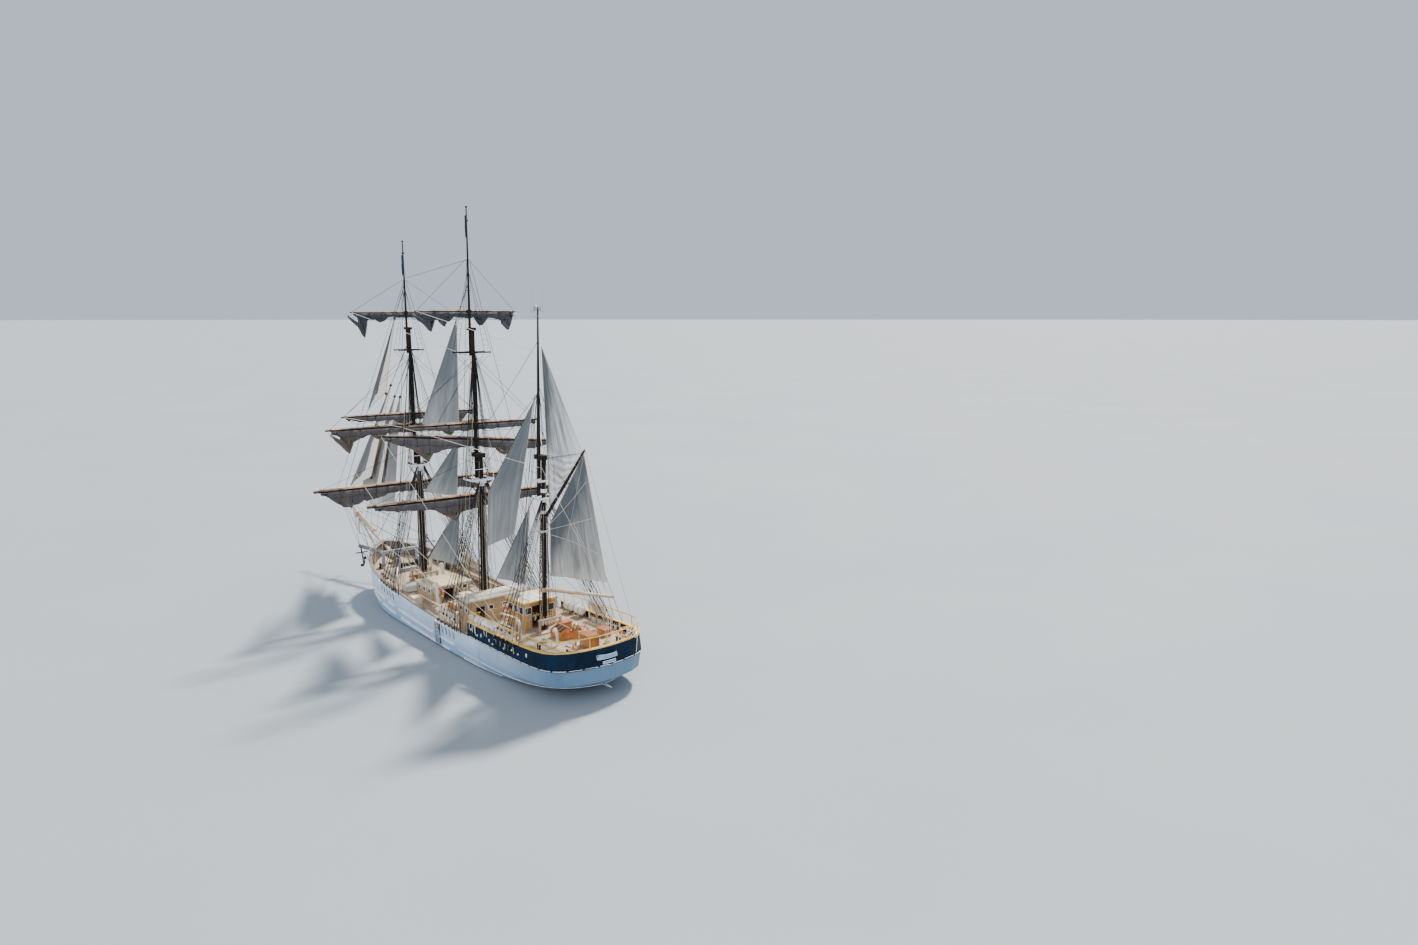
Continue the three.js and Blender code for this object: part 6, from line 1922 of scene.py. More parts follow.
def build_bulwark_gear(thick):
    """Stanchions inside the bulwark, pinrails with their pins and coils, and the bow rail."""
    posts = Shape()
    x = 14.6
    while x > -17.0:
        top_line = "quarter" if x < BREAK_X - 0.1 else "rail"
        if abs(x - BREAK_X) > 0.3:
            inset = breadth(top_line, x, 0.12)
            low_y = breadth("deck" if x > BREAK_X else "rail", x, 0.12)
            z0, z1 = deck_z(x), sheer(top_line, x) - 0.02
            for side in (1, -1):
                posts.beam((x, side * (low_y - 0.08), z0), (x, side * (inset - 0.06), z1), 0.12, 0.1)
        x -= 0.92
    posts.piece("bulwark_stanchions", "ship", "cream")

    rails, pins, coils = Shape(), [], []
    draw = random.Random(SEED + 1)
    for x0, x1 in ((8.7, 4.6), (-1.7, -6.0), (-10.6, -13.9)):
        for side in (1, -1):
            path = [vec(x, side * (rail_y(x) - 0.3), rail_z(x) - 0.28) for x in
                    [mix(x0, x1, i / 8) for i in range(9)]]
            for a, b in zip(path, path[1:]):
                rails.beam(a, b, 0.2, 0.07)
            count = int(abs(x1 - x0) / 0.24)
            for k in range(count):
                place = along_path(path, (k + 0.5) / count)
                pins.append((place, (0, 0, 1)))
                if draw.random() < 0.75:
                    coils.append((place, side, draw.uniform(0.1, 0.16), draw.uniform(0.26, 0.42)))
    for mast in MASTS:
        mx, mz = MASTS[mast][0], deck_z(MASTS[mast][0])
        half = 0.9
        for dx in (-0.75, 0.6):
            rails.beam((mx + dx, -half, mz + 0.92), (mx + dx, half, mz + 0.92), 0.2, 0.08)
            for y in (-half + 0.1, half - 0.1):
                rails.beam((mx + dx, y, mz), (mx + dx, y, mz + 1.0), 0.14, 0.14, up=(1, 0, 0))
            for k in range(7):
                place = vec(mx + dx, mix(-0.72, 0.72, k / 6), mz + 0.95)
                pins.append((place, (0, 0, 1)))
                if k % 2 == 0 or dx < 0:
                    coils.append((place, 1 if dx < 0 else -1, 0.13, 0.36))
    rails.piece("pinrails", "ship", "teak")
    beads("belaying_pins", "ship", pins, "boom", 0.026, 0.36, 6, 0.05)
    loops = []
    for place, side, wide, tall in coils:
        for turn in range(3):
            shift = draw.uniform(-0.03, 0.03)
            path = []
            for angle in round_angles(10, 1):
                path.append(place + vec(
                    wide * math.sin(angle) * (0.7 + 0.12 * turn) + shift,
                    -side * (0.1 + 0.03 * turn),
                    -0.02 - tall * (0.5 - 0.5 * math.cos(angle)) * (0.85 + 0.12 * turn),
                ))
            loops.append((path, 0.018 * thick))
    ropes("rope_coils", "ship", loops, "white_rope", 4)

    ring = [vec(x, y, 4.0 + 0.03 * (x - 12.8)) for x, y in (
        (12.79, 3.36), (13.9, 2.75), (15.0, 2.1), (15.64, 1.71), (16.4, 1.05), (16.85, 0.54), (17.0, 0.2))]
    whole = ring + [vec(p.x, -p.y, p.z) for p in reversed(ring)]
    bow = Shape()
    bow.tube(whole, 0.035, 8)
    bow.tube([vec(p.x, p.y * 0.995, p.z - 0.4) for p in whole], 0.02, 6)
    for k, p in enumerate(whole):
        foot_y = min(breadth("rail", min(p.x, 17.2)), abs(p.y) + 0.12)
        foot = vec(min(p.x, 17.0), math.copysign(max(0.12, foot_y - 0.1), p.y),
                   sheer("rail", min(p.x, 17.0)) + 0.04)
        bow.tube([foot, p], 0.024, 6)
    bow.piece("bow_rail", "ship", "steel")


def coaming(shape, x0, x1, half, z, tall, kind=0, lid=1):
    """A hatch: a coaming of four boards and a lid of planks with battens."""
    for y in (-half, half):
        shape.beam((x0, y, z + tall / 2), (x1, y, z + tall / 2), 0.09, tall, kind)
    for x in (x0, x1):
        shape.beam((x, -half, z + tall / 2), (x, half, z + tall / 2), 0.09, tall, kind)
    count = max(3, int(2 * half / 0.24))
    for k in range(count):
        y = mix(-half + 0.12, half - 0.12, k / (count - 1))
        shape.beam((x0 + 0.03, y, z + tall + 0.02), (x1 - 0.03, y, z + tall + 0.02),
                   2 * half / count - 0.02, 0.05, lid)
    for x in (mix(x0, x1, 0.25), mix(x0, x1, 0.75)):
        shape.beam((x, -half + 0.05, z + tall + 0.06), (x, half - 0.05, z + tall + 0.06), 0.07, 0.035, kind)


def bollards(shape, x, y, z, kind=0):
    """A pair of mooring bitts on one base."""
    shape.block((x - 0.3, y - 0.12, z), (x + 0.3, y + 0.12, z + 0.06), kind)
    for dx in (-0.17, 0.17):
        shape.turned((x + dx, y, z + 0.04), (x + dx, y, z + 0.42),
                     ((0, 0.085), (0.15, 0.07), (0.8, 0.07), (0.86, 0.1), (0.97, 0.1), (1, 0.07)), 12, kind)


def build_deck_gear():
    """Hatches, bitts, capstan, chests, rafts, lifebuoys, gratings, binnacle, ventilators and spare gear."""
    wood = Shape()
    coaming(wood, 1.2, 3.0, 0.85, deck_z(2.0), 0.35)
    coaming(wood, -5.6, -4.4, 0.7, deck_z(-5.0), 0.3)
    coaming(wood, 10.0, 10.9, 0.5, deck_z(10.4), 0.3)
    wood.piece("hatches", "ship", ["varnish", "teak"])

    iron = Shape()
    for side in (1, -1):
        for x, y in ((13.6, 1.9), (10.9, 2.9), (2.2, 3.2), (-5.2, 3.2), (-13.9, 2.7), (-16.2, 1.9)):
            bollards(iron, x, side * y, deck_z(x))
    iron.piece("mooring_bitts", "ship", "black")

    cable = []
    for side in (1, -1):
        path = sagged((12.0, side * 0.5, deck_z(12.0) + 0.65),
                      (14.6, side * 0.95, deck_z(14.6) + 0.1), 0.2, 18)
        for k, (a, b) in enumerate(zip(path, path[1:])):
            side_step = vec(0, 0.03 if k % 2 else -0.03, 0.0)
            cable.append(([a, a.lerp(b, 0.5) + side_step, b], 0.032))
    ropes("foredeck_cables", "ship", cable, "black")
    capstan = Shape()
    foot = vec(CAPSTAN_X, 0, deck_z(CAPSTAN_X))
    capstan.turned(foot, foot + vec(0, 0, 0.95), (
        (0, 0.36), (0.08, 0.36), (0.12, 0.26), (0.3, 0.19), (0.6, 0.2), (0.74, 0.3), (0.78, 0.34),
        (0.95, 0.34), (1, 0.25),
    ), 20)
    for angle in round_angles(6):
        out = vec(math.cos(angle), math.sin(angle), 0)
        capstan.beam(foot + vec(0, 0, 0.2) + out * 0.21,
                     foot + vec(0, 0, 0.7) + out * 0.27, 0.05, 0.06, up=out)
    capstan.piece("capstan", "ship", "grey")

    boxes = Shape()
    for x0, x1, y0, y1, z, tall, kind in (
        (-11.3, -10.75, -1.5, -0.6, 2.63, 0.55, 0), (7.3, 8.2, 1.4, 2.3, deck_z(7.7), 0.5, 1),
        (3.1, 3.9, -1.3, -0.4, deck_z(3.5), 0.55, 2), (-0.9, -0.2, 1.2, 2.0, deck_z(-0.5), 0.6, 1),
        (11.2, 12.0, 2.0, 2.6, deck_z(11.6), 0.45, 3), (-14.6, -13.7, -2.5, -1.9, deck_z(-14.0), 0.5, 0),
        (-6.9, -6.45, -0.6, 0.6, deck_z(-6.7), 0.7, 0), (4.3, 5.1, 2.4, 3.0, deck_z(4.7), 0.6, 2),
        (-4.1, -3.75, -2.1, -1.2, deck_z(-3.9), 0.75, 1), (-2.1, -1.0, -3.1, -2.5, deck_z(-1.5), 0.55, 3),
    ):
        boxes.block((x0, y0, z), (x1, y1, z + tall - 0.05), kind, 0.03)
        boxes.block((x0 - 0.04, y0 - 0.04, z + tall - 0.05),
                    (x1 + 0.04, y1 + 0.04, z + tall + 0.03), kind, 0.02)
    boxes.piece("deck_chests", "ship", ["varnish", "white", "cream", "grey"])

    rafts = Shape()
    for x, y in ((-8.15, 3.28), (-9.45, 3.28), (-8.15, -3.28), (-9.45, -3.28), (-7.1, 3.28)):
        z = deck_z(x) + 0.55
        ends = (vec(x - 0.52, y, z), vec(x + 0.52, y, z))
        rafts.turned(*ends,
                     ((0, 0.1), (0.02, 0.22), (0.08, 0.29), (0.3, 0.31), (0.47, 0.31),
                      (0.48, 0.33), (0.52, 0.33),
                             (0.53, 0.31), (0.7, 0.31), (0.92, 0.29), (0.98, 0.22), (1, 0.1)), 24, 0)
        for dx in (-0.3, 0.3):
            rafts.beam((x + dx, y - 0.34, z - 0.5), (x + dx, y - 0.2, z - 0.18), 0.07, 0.07, 1, up=(1, 0, 0))
            rafts.beam((x + dx, y + 0.34, z - 0.5), (x + dx, y + 0.2, z - 0.18), 0.07, 0.07, 1, up=(1, 0, 0))
            rafts.beam((x + dx, y - 0.36, z - 0.3), (x + dx, y + 0.36, z - 0.3), 0.06, 0.07, 1)
            ring = [vec(x + dx, y + 0.325 * math.cos(a), z + 0.325 * math.sin(a)) for a in round_angles(20)]
            rafts.tube(ring, 0.016, 5, 2, True)
    rafts.piece("raft_canisters", "ship", ["canister", "steel", "black"])

    buoys = Shape()
    for x, y, z, way in ((-16.9, 1.9, 3.75, (1, 0.9, 0)), (-16.9, -1.9, 3.75, (1, -0.9, 0)),
                         (-7.35, 1.33, 3.75, (0, 1, 0)), (4.0, 1.0, 2.15, (1, 0, 0)),
                         (-3.75, -1.2, 2.4, (1, 0, 0))):
        way = Vector(way).normalized()
        ring = round_path(vec(x, y, z), way, 0.3, 28)
        buoys.tube(ring, 0.07, 10, 0, True)
        for k in (0, 7, 14, 21):
            buoys.tube([ring[k], ring[(k + 1) % 28], ring[(k + 2) % 28]], 0.078, 10, 1)
    buoys.piece("lifebuoys", "ship", ["orange", "white"])

    gratings = Shape()
    for x0, x1, y0, y1, z in ((-10.3, -8.9, 3.25, 4.05, 3.62),
                              (-15.0, -14.2, -0.9, 0.9, deck_z(-14.6) + 0.09)):
        for k in range(9):
            y = mix(y0, y1, k / 8)
            gratings.beam((x0, y, z), (x1, y, z), 0.035, 0.05)
        for k in range(13):
            x = mix(x0, x1, k / 12)
            gratings.beam((x, y0, z + 0.012), (x, y1, z + 0.012), 0.035, 0.045)
    gratings.piece("gratings", "ship", "canister")

    binnacle = Shape()
    z = deck_z(BINNACLE_X)
    binnacle.turned((BINNACLE_X, 0, z), (BINNACLE_X, 0, z + 1.25), (
        (0, 0.26), (0.05, 0.26), (0.1, 0.2), (0.6, 0.17), (0.66, 0.24), (0.76, 0.25),
    ), 16, 0)
    binnacle.turned((BINNACLE_X, 0, z + 0.93), (BINNACLE_X, 0, z + 1.3),
                    ((0, 0.23), (0.5, 0.22), (0.8, 0.15), (1, 0.03)), 20, 1)
    for side in (1, -1):
        binnacle.turned((BINNACLE_X, side * 0.36, z + 0.72), (BINNACLE_X, side * 0.36, z + 0.95),
                        ((0, 0.03), (0.2, 0.1), (0.8, 0.1), (1, 0.03)), 14, 2)
        binnacle.beam((BINNACLE_X, side * 0.2, z + 0.83), (BINNACLE_X, side * 0.36, z + 0.83), 0.05, 0.05, 1)
    binnacle.piece("binnacle", "ship", ["varnish", "bronze", "red"])

    vents = Shape()
    for x, y, tall, radius in ((7.9, -1.1, 1.5, 0.16), (3.4, 1.5, 1.6, 0.17), (-4.4, 2.5, 1.4, 0.15),
                               (-10.9, 2.3, 1.1, 0.13), (-13.9, 1.3, 1.0, 0.12), (11.3, -1.6, 1.3, 0.15)):
        z = deck_z(x)
        bend = [vec(x, y, z), vec(x, y, z + tall * 0.6), vec(x + 0.02, y, z + tall * 0.8),
                vec(x + 0.1, y, z + tall * 0.95), vec(x + 0.26, y, z + tall)]
        vents.tube(bend, [radius * 0.8, radius * 0.75, radius * 0.8, radius, radius * 1.4], 16, 0)
        vents.turned(bend[-1] - vec(0.01, 0, 0.0), bend[-1] + vec(0.03, 0, 0),
                     ((0, radius * 1.4), (0.5, radius * 1.5), (1, radius * 1.35)), 16, 0)
        vents.turned(bend[-1] + vec(0.02, 0, 0), bend[-1] + vec(0.035, 0, 0),
                     ((0, radius * 1.25), (1, radius * 1.25)), 16, 1)
    vents.piece("ventilators", "ship", ["cream", "red"])

    bottles = Shape()
    for k, (x, y) in enumerate(((-0.55, -0.95), (-0.3, -0.95), (-0.05, -0.95), (-0.55, -0.7))):
        z = deck_z(x)
        bottles.turned((x, y, z), (x, y, z + 1.35),
                       ((0, 0.1), (0.02, 0.11), (0.82, 0.11), (0.9, 0.08), (0.94, 0.04),
                                                     (1, 0.035)), 14, 0)
        bottles.turned((x, y, z + 1.3), (x, y, z + 1.42), ((0, 0.03), (0.3, 0.05), (1, 0.04)), 10, 1)
    bottles.beam((-0.7, -0.82, deck_z(0) + 0.9), (0.1, -0.82, deck_z(0) + 0.9), 0.04, 0.06, 1)
    bottles.piece("gas_bottles", "ship", ["red", "steel"])

    spare = Shape()
    for start, end, radius, kind in (
        ((3.6, 2.9, 2.55), (-2.4, 3.05, 2.5), 0.09, 0), ((8.6, -2.7, 2.7), (2.0, -3.0, 2.45), 0.1, 0),
        ((-9.6, 2.95, 4.25), (-11.5, 2.72, 4.3), 0.06, 1),
        ((10.2, 1.9, deck_z(10) + 0.5), (13.3, 0.5, deck_z(13) + 0.5), 0.07, 1),
        ((9.2, 2.2, deck_z(9) + 0.16), (12.0, 1.3, deck_z(12) + 0.2), 0.06, 0),
    ):
        spare.turned(start, end,
                     ((0, radius * 0.5), (0.02, radius * 0.8), (0.4, radius),
                      (0.7, radius * 0.9), (0.98, radius * 0.6),
                                  (1, radius * 0.4)), 12, kind)
    for x, y, low, high in ((-10.0, 2.9, 2.65, 4.2), (-11.2, 2.76, 2.68, 4.22), (3.0, 2.92, 1.3, 2.46),
                            (-2.0, 3.03, 1.15, 2.42), (8.0, -2.73, 1.75, 2.6), (2.8, -2.96, 1.35, 2.37)):
        spare.beam((x, y, low), (x, y, high), 0.09, 0.09, 0, up=(1, 0, 0))
    spare.piece("spare_spars", "ship", ["boom", "white"])

    piles = []
    draw = random.Random(SEED + 2)
    for x, y in ((11.6, -1.0), (9.9, 0.7), (7.5, -2.3), (0.4, 2.4), (-5.9, -2.6), (-12.6, 1.5),
                 (-15.9, -1.2), (12.9, -1.9), (6.9, 2.7), (-13.3, -1.9)):
        z = deck_z(x)
        path = []
        turns = 5
        for k in range(turns * 12 + 1):
            angle = 2 * math.pi * k / 12
            layer = k / 12
            reach = 0.16 + 0.035 * (layer % 3) + draw.uniform(-0.006, 0.006)
            path.append(vec(x + reach * math.cos(angle), y + reach * math.sin(angle),
                            z + 0.03 + 0.03 * layer))
        piles.append((path, 0.024))
    ropes("deck_rope_piles", "ship", piles, "rope")


def build_houses():
    """Windows, doors, roof edges and handrails of the houses, the skylight's lights and the steps."""
    houses = (
        ("charthouse", -9.6, -7.4, 1.2, 2.62, 4.6, 0.14, (0.3, 0.33, 4.25), "tan_rail"),
        ("midship_house", -3.6, -1.95, 2.3, 1.14, 3.55, 0.12, (1.4, 0.35, 2.95), "teak"),
        ("fore_house", 4.15, 6.9, 1.6, 1.45, 2.75, 0.1, (0.2, 0.4, 2.4), "teak"),
    )
    for name, x0, x1, half, floor, roof, over, (door_y, door_half, door_top), wood in houses:
        frames = Shape()
        window_z = mix(floor, roof, 0.68)
        tall, wide = (0.5, 0.62) if name == "charthouse" else (0.34, 0.4)
        for side in (1, -1):
            count = 3 if name != "midship_house" else 2
            for k in range(count):
                x = mix(x0, x1, (k + 0.5) / count)
                window(frames, (x, side * half, window_z), (1, 0, 0), (0, side, 0),
                       min(wide, (x1 - x0) / count - 0.2), tall)
        for x, way in ((x0, -1), (x1, 1)):
            for y in [mix(-half, half, (k + 0.5) / 4) for k in range(4)]:
                if way < 0 and abs(y - door_y) < door_half + 0.25:
                    continue
                window(frames, (x, y, window_z), (0, 1, 0), (way, 0, 0), min(wide, half * 0.42), tall)
        edge = over + 0.012
        corners = [(x0 - edge, -half - edge), (x1 + edge, -half - edge), (x1 + edge, half + edge),
                   (x0 - edge, half + edge)]
        for (ax, ay), (bx, by) in zip(corners, corners[1:] + corners[:1]):
            frames.beam((ax, ay, roof - 0.05), (bx, by, roof - 0.05), 0.035, 0.13, 2)
        for y in (-half * 0.72, half * 0.72):
            rail = [vec(mix(x0, x1, k / 6), y, roof + (0.11 if k % 2 else 0.1)) for k in range(7)]
            frames.tube(rail, 0.022, 6, 0)
            for p in rail[::2]:
                frames.beam(p - vec(0, 0, 0.11), p, 0.05, 0.05, 0, up=(1, 0, 0))
        for y in (door_y - door_half - 0.04, door_y + door_half + 0.04):
            frames.beam((x0 - 0.02, y, floor), (x0 - 0.02, y, door_top + 0.05), 0.05, 0.08, 0, up=(1, 0, 0))
        frames.beam((x0 - 0.02, door_y - door_half - 0.08, door_top + 0.05),
                    (x0 - 0.02, door_y + door_half + 0.08, door_top + 0.05), 0.05, 0.08, 0)
        for y in (-half, half):
            for x in (x0, x1):
                frames.beam((x, y, floor), (x, y, roof - 0.12), 0.1, 0.1, 0, up=(1, 0, 0))
        frames.beam((x0 - 0.015, -half - 0.015, floor + 0.1),
                    (x1 + 0.015, -half - 0.015, floor + 0.1), 0.04, 0.2, 0)
        frames.beam((x0 - 0.015, half + 0.015, floor + 0.1),
                    (x1 + 0.015, half + 0.015, floor + 0.1), 0.04, 0.2, 0)
        frames.piece(name + "_joinery", "ship", [wood, "glass", "yellow" if name == "charthouse" else "cream",
                                                 "white"], "varnished_timber")
        plates = Shape()
        planks = 9 if name == "midship_house" else 6
        for k in range(planks):
            y = mix(-half - over + 0.12, half + over - 0.12, k / (planks - 1))
            plates.beam((x0 - over + 0.04, y, roof + 0.012), (x1 + over - 0.04, y, roof + 0.012), 0.03, 0.02)
        plates.piece(name + "_roof_battens", "ship", "cream")

    sky = Shape()
    for side in (1, -1):
        for k in range(3):
            x0 = mix(-13.22, -11.98, k / 3) + 0.03
            x1 = mix(-13.22, -11.98, (k + 1) / 3) - 0.03
            low, high = vec(0, side * 0.55, 3.275), vec(0, side * 0.08, 3.47)
            grid = [[vec(x, p.y, p.z + 0.012) for p in (low, high)] for x in (x0, x1)]
            sky.plate(grid, 0.015, 1)
            for x in (x0, x1):
                sky.beam(vec(x, low.y, low.z + 0.02), vec(x, high.y, high.z + 0.02), 0.04, 0.03, 0)
            for b in range(4):
                t = (b + 1) / 5
                p = low.lerp(high, t)
                sky.tube([vec(x0, p.y, p.z + 0.05), vec(x1, p.y, p.z + 0.05)], 0.009, 6, 2)
    sky.beam((-13.34, 0, 3.51), (-11.86, 0, 3.51), 0.12, 0.05, 0)
    sky.piece("skylight_lights", "ship", ["varnish", "glass", "bronze"])
    step = Shape()
    for side in (1, -1):
        for k in range(5):
            x = BREAK_X + 0.75 - 0.15 * k
            z = 1.2 + 0.3 * k
            step.beam((x, side * 2.0, z), (x, side * 2.7, z), 0.22, 0.045, 0)
        for y in (side * 1.98, side * 2.72):
            step.beam((BREAK_X + 0.85, y, 1.1), (BREAK_X + 0.05, y, 2.62), 0.05, 0.2, 1)
    step.beam((BREAK_X + 0.03, -3.5, 2.6), (BREAK_X + 0.03, 3.5, 2.6), 0.08, 0.14, 1)
    for y in (-3.3, -2.9, -1.8, -0.9, 0.0, 0.9, 1.8, 2.9, 3.3):
        step.tube([(BREAK_X - 0.02, y, 2.6), (BREAK_X - 0.02, y, 3.5)], 0.028, 8, 2)
    for y0, y1 in ((-3.4, -2.8), (-1.9, 1.9), (2.8, 3.4)):
        step.tube([(BREAK_X - 0.02, y0, 3.5), (BREAK_X - 0.02, y1, 3.5)], 0.036, 8, 2)
        step.tube([(BREAK_X - 0.02, y0, 3.1), (BREAK_X - 0.02, y1, 3.1)], 0.02, 8, 2)
    step.piece("quarterdeck_steps", "ship", ["teak", "varnish", "yellow"])


def window(shape, centre, along, out, wide, tall):
    """A framed pane with a rail across it, standing a little proud of its wall."""
    centre, along, out = Vector(centre), Vector(along), Vector(out)
    up = vec(0, 0, 1)
    a, b = along * wide / 2, up * tall / 2
    pane = [[centre - a - b + out * 0.012, centre - a + b + out * 0.012],
            [centre + a - b + out * 0.012, centre + a + b + out * 0.012]]
    shape.plate(pane, 0.02, 1)
    for p, q in ((-a - b, a - b), (-a + b, a + b)):
        shape.beam(centre + p + out * 0.02, centre + q + out * 0.02, 0.045, 0.05, 3)
    for p, q in ((-a - b, -a + b), (a - b, a + b)):
        shape.beam(centre + p + out * 0.02, centre + q + out * 0.02, 0.045, 0.05, 3, up=tuple(along))


def hoop(shape, low, high, reach, proud, sides, edge=0.1):
    """A band round a spar that stands proud of it."""
    shape.turned(low, high, ((0, reach), (edge, reach + proud), (1 - edge, reach + proud), (1, reach)), sides)


def build_mast_gear():
    """Painted bands, hoops, the tops' battens and rails, trucks, aerials and the staffs at the stern."""
    white = Shape()
    for mast, length, z, tall in (
        ("fore", "lower", 11.4, 0.24), ("main", "lower", 11.6, 0.24), ("mizzen", "lower", 12.35, 0.24),
        ("mizzen", "lower", 10.9, 0.2),
    ):
        reach = MASTS[mast][3]
        low, high = mast_point(mast, length, z - tall / 2), mast_point(mast, length, z + tall / 2)
        hoop(white, low, high, reach + 0.002, 0.018, 20, 0.06)
    white.piece("mast_bands", "ship", "white")
    iron = Shape()
    for mast in MASTS:
        top, foot = MASTS[mast][4], deck_z(MASTS[mast][0])
        z = foot + 2.2
        while z < top - 2.6:
            low, high = mast_point(mast, "lower", z), mast_point(mast, "lower", z + 0.08)
            reach = MASTS[mast][3]
            hoop(iron, low, high, reach, 0.016, 18)
            z += 1.45
        low = mast_point(mast, "lower", foot - 0.03)
        iron.turned(low, low + vec(0, 0, 0.16), ((0, MASTS[mast][3] + 0.1), (0.5, MASTS[mast][3] + 0.09),
                                                     (1, MASTS[mast][3] + 0.01)), 20)
    for mast in ("fore", "main"):
        for z in (13.2, 15.2, 18.4, 19.7):
            low = mast_point(mast, "topmast", z)
            hoop(iron, low, low + vec(0, 0, 0.07), 0.15, 0.022, 16)
        for z in (22.0, 23.2, 25.6):
            low = mast_point(mast, "pole", z)
            hoop(iron, low, low + vec(0, 0, 0.06), 0.1, 0.02, 14)
    iron.piece("mast_hoops", "ship", "black")
    rails = Shape()
    for mast in ("fore", "main"):
        long, half = TOP_HALF[mast]
        z = MASTS[mast][5] + 0.06
        back = mast_point(mast, "lower", z).x - MASTS[mast][3] - 0.2
        for k in range(9):
            y = mix(-half + 0.05, half - 0.05, k / 8)
            rails.beam((back + 0.03, y, z + 0.02), (back + long - 0.03, y, z + 0.02), 0.05, 0.035)
        for side in (1, -1):
            rails.tube([(back + 0.05, side * (half - 0.05), z),
                        (back + 0.05, side * (half - 0.05), z + 0.75)], 0.022, 6)
        rails.tube([(back + 0.05, -half + 0.05, z + 0.75), (back + 0.05, half - 0.05, z + 0.75)], 0.024, 6)
    for z, half, deep in ((13.05, 0.62, 0.34), (9.6, 0.4, 0.26)):
        place = mast_point("mizzen", "lower", z)
        for dx in (-deep, deep):
            rails.beam(place + vec(dx, -half, 0), place + vec(dx, half, 0), 0.1, 0.12)
        for y in (-half + 0.06, -0.24, 0.24, half - 0.06):
            rails.beam(place + vec(-deep, y, 0.03), place + vec(deep, y, 0.03), 0.08, 0.08)
    rails.piece("top_battens", "ship", "white")
    trucks = Shape()
    for mast, radius in (("fore", 0.09), ("main", 0.09)):
        tip = mast_point(mast, "pole", MASTS[mast][8])
        trucks.turned(tip - vec(0, 0, 0.1), tip + vec(0, 0, 0.02),
                      ((0, 0.05), (0.2, radius), (0.8, radius), (1, 0.03)), 16)
        knob = mast_point(mast, "pole", MASTS[mast][8] - 1.05)
        trucks.turned(knob, knob + vec(0, 0, 0.16), ((0, 0.05), (0.2, 0.11), (0.8, 0.11), (1, 0.05)), 14)
    trucks.piece("mast_trucks", "ship", "black")

    aerials = Shape()
    head = mast_point("mizzen", "topmast", 24.3)
    aerials.beam(head + vec(0, -0.4, -0.15), head + vec(0, 0.55, -0.15), 0.05, 0.05)
    aerials.beam(head + vec(0, -0.3, -0.5), head + vec(0, 0.4, -0.5), 0.05, 0.05)
    for y, tall in ((0.5, 1.35), (0.3, 1.4), (-0.38, 1.35)):
        aerials.turned(head + vec(0, y, -0.3), head + vec(0, y, tall),
                       ((0, 0.025), (0.15, 0.02), (0.2, 0.009), (1, 0.004)), 6)
    aerials.turned(head + vec(0, 0.15, -0.1), head + vec(0, 0.15, 0.2),
                   ((0, 0.08), (0.3, 0.13), (0.8, 0.12), (1, 0.03)), 14)
    aerials.turned(head + vec(0, -0.16, -0.14), head + vec(0, -0.16, 0.08),
                   ((0, 0.06), (0.3, 0.08), (1, 0.05)), 12)
    aerials.piece("aerials", "ship", "steel")

    staffs = Shape()
    staffs.turned((-17.3, -2.0, 3.7), (-17.58, -2.32, 5.27), ((0, 0.035), (0.5, 0.03), (1, 0.012)), 8)
    staffs.turned((-17.2, -1.7, 3.65), (-17.72, -2.1, 4.1), ((0, 0.04), (1, 0.03)), 8)
    staffs.tube([(-17.3, -2.0, 3.5), (-17.7, -2.1, 4.02), (-17.78, -2.35, 3.7), (-17.5, -2.3, 3.45)],
                0.025, 6)
    staffs.piece("taffrail_staffs", "ship", "white")


def build_flags():
    """Two plain flags hanging limp in folds from the fore and main trucks."""
    for name, mast, top, tall, wide, finish in (
        ("main_flag", "main", 30.95, 0.85, 1.2, "navy_cloth"),
        ("fore_flag", "fore", 28.75, 0.95, 1.25, "teal_cloth"),
    ):
        rows, columns = 26, 72
        grid = []
        for i in range(rows + 1):
            v = i / rows
            hold = mast_point(mast, "pole", top - v * tall)
            place = vec(hold.x - 0.07, 0.02, hold.z)
            row = [place.copy()]
            for j in range(columns):
                u = (j + 0.5) / columns
                turn = 1.9 * math.sin(2 * math.pi * (2.6 * u + 0.1 * v)) + 0.5
                level = 0.8 - 0.1 * math.sin(3 * u)
                way = vec(-math.cos(turn) * level, math.sin(turn) * level, -math.sqrt(1 - level * level))
                place = place + way * (wide / columns)
                row.append(place.copy())
            grid.append(row)
        cloth = Shape()
        cloth.plate(grid, 0.008)
        flag = cloth.piece(name, "ship", finish, crease=60)


# Settings that a user would change
def colour_setting(name, description, default):
    return bpy.props.FloatVectorProperty(
        name=name, description=description, default=default, subtype="COLOR", size=3, min=0.0, max=1.0,
    )


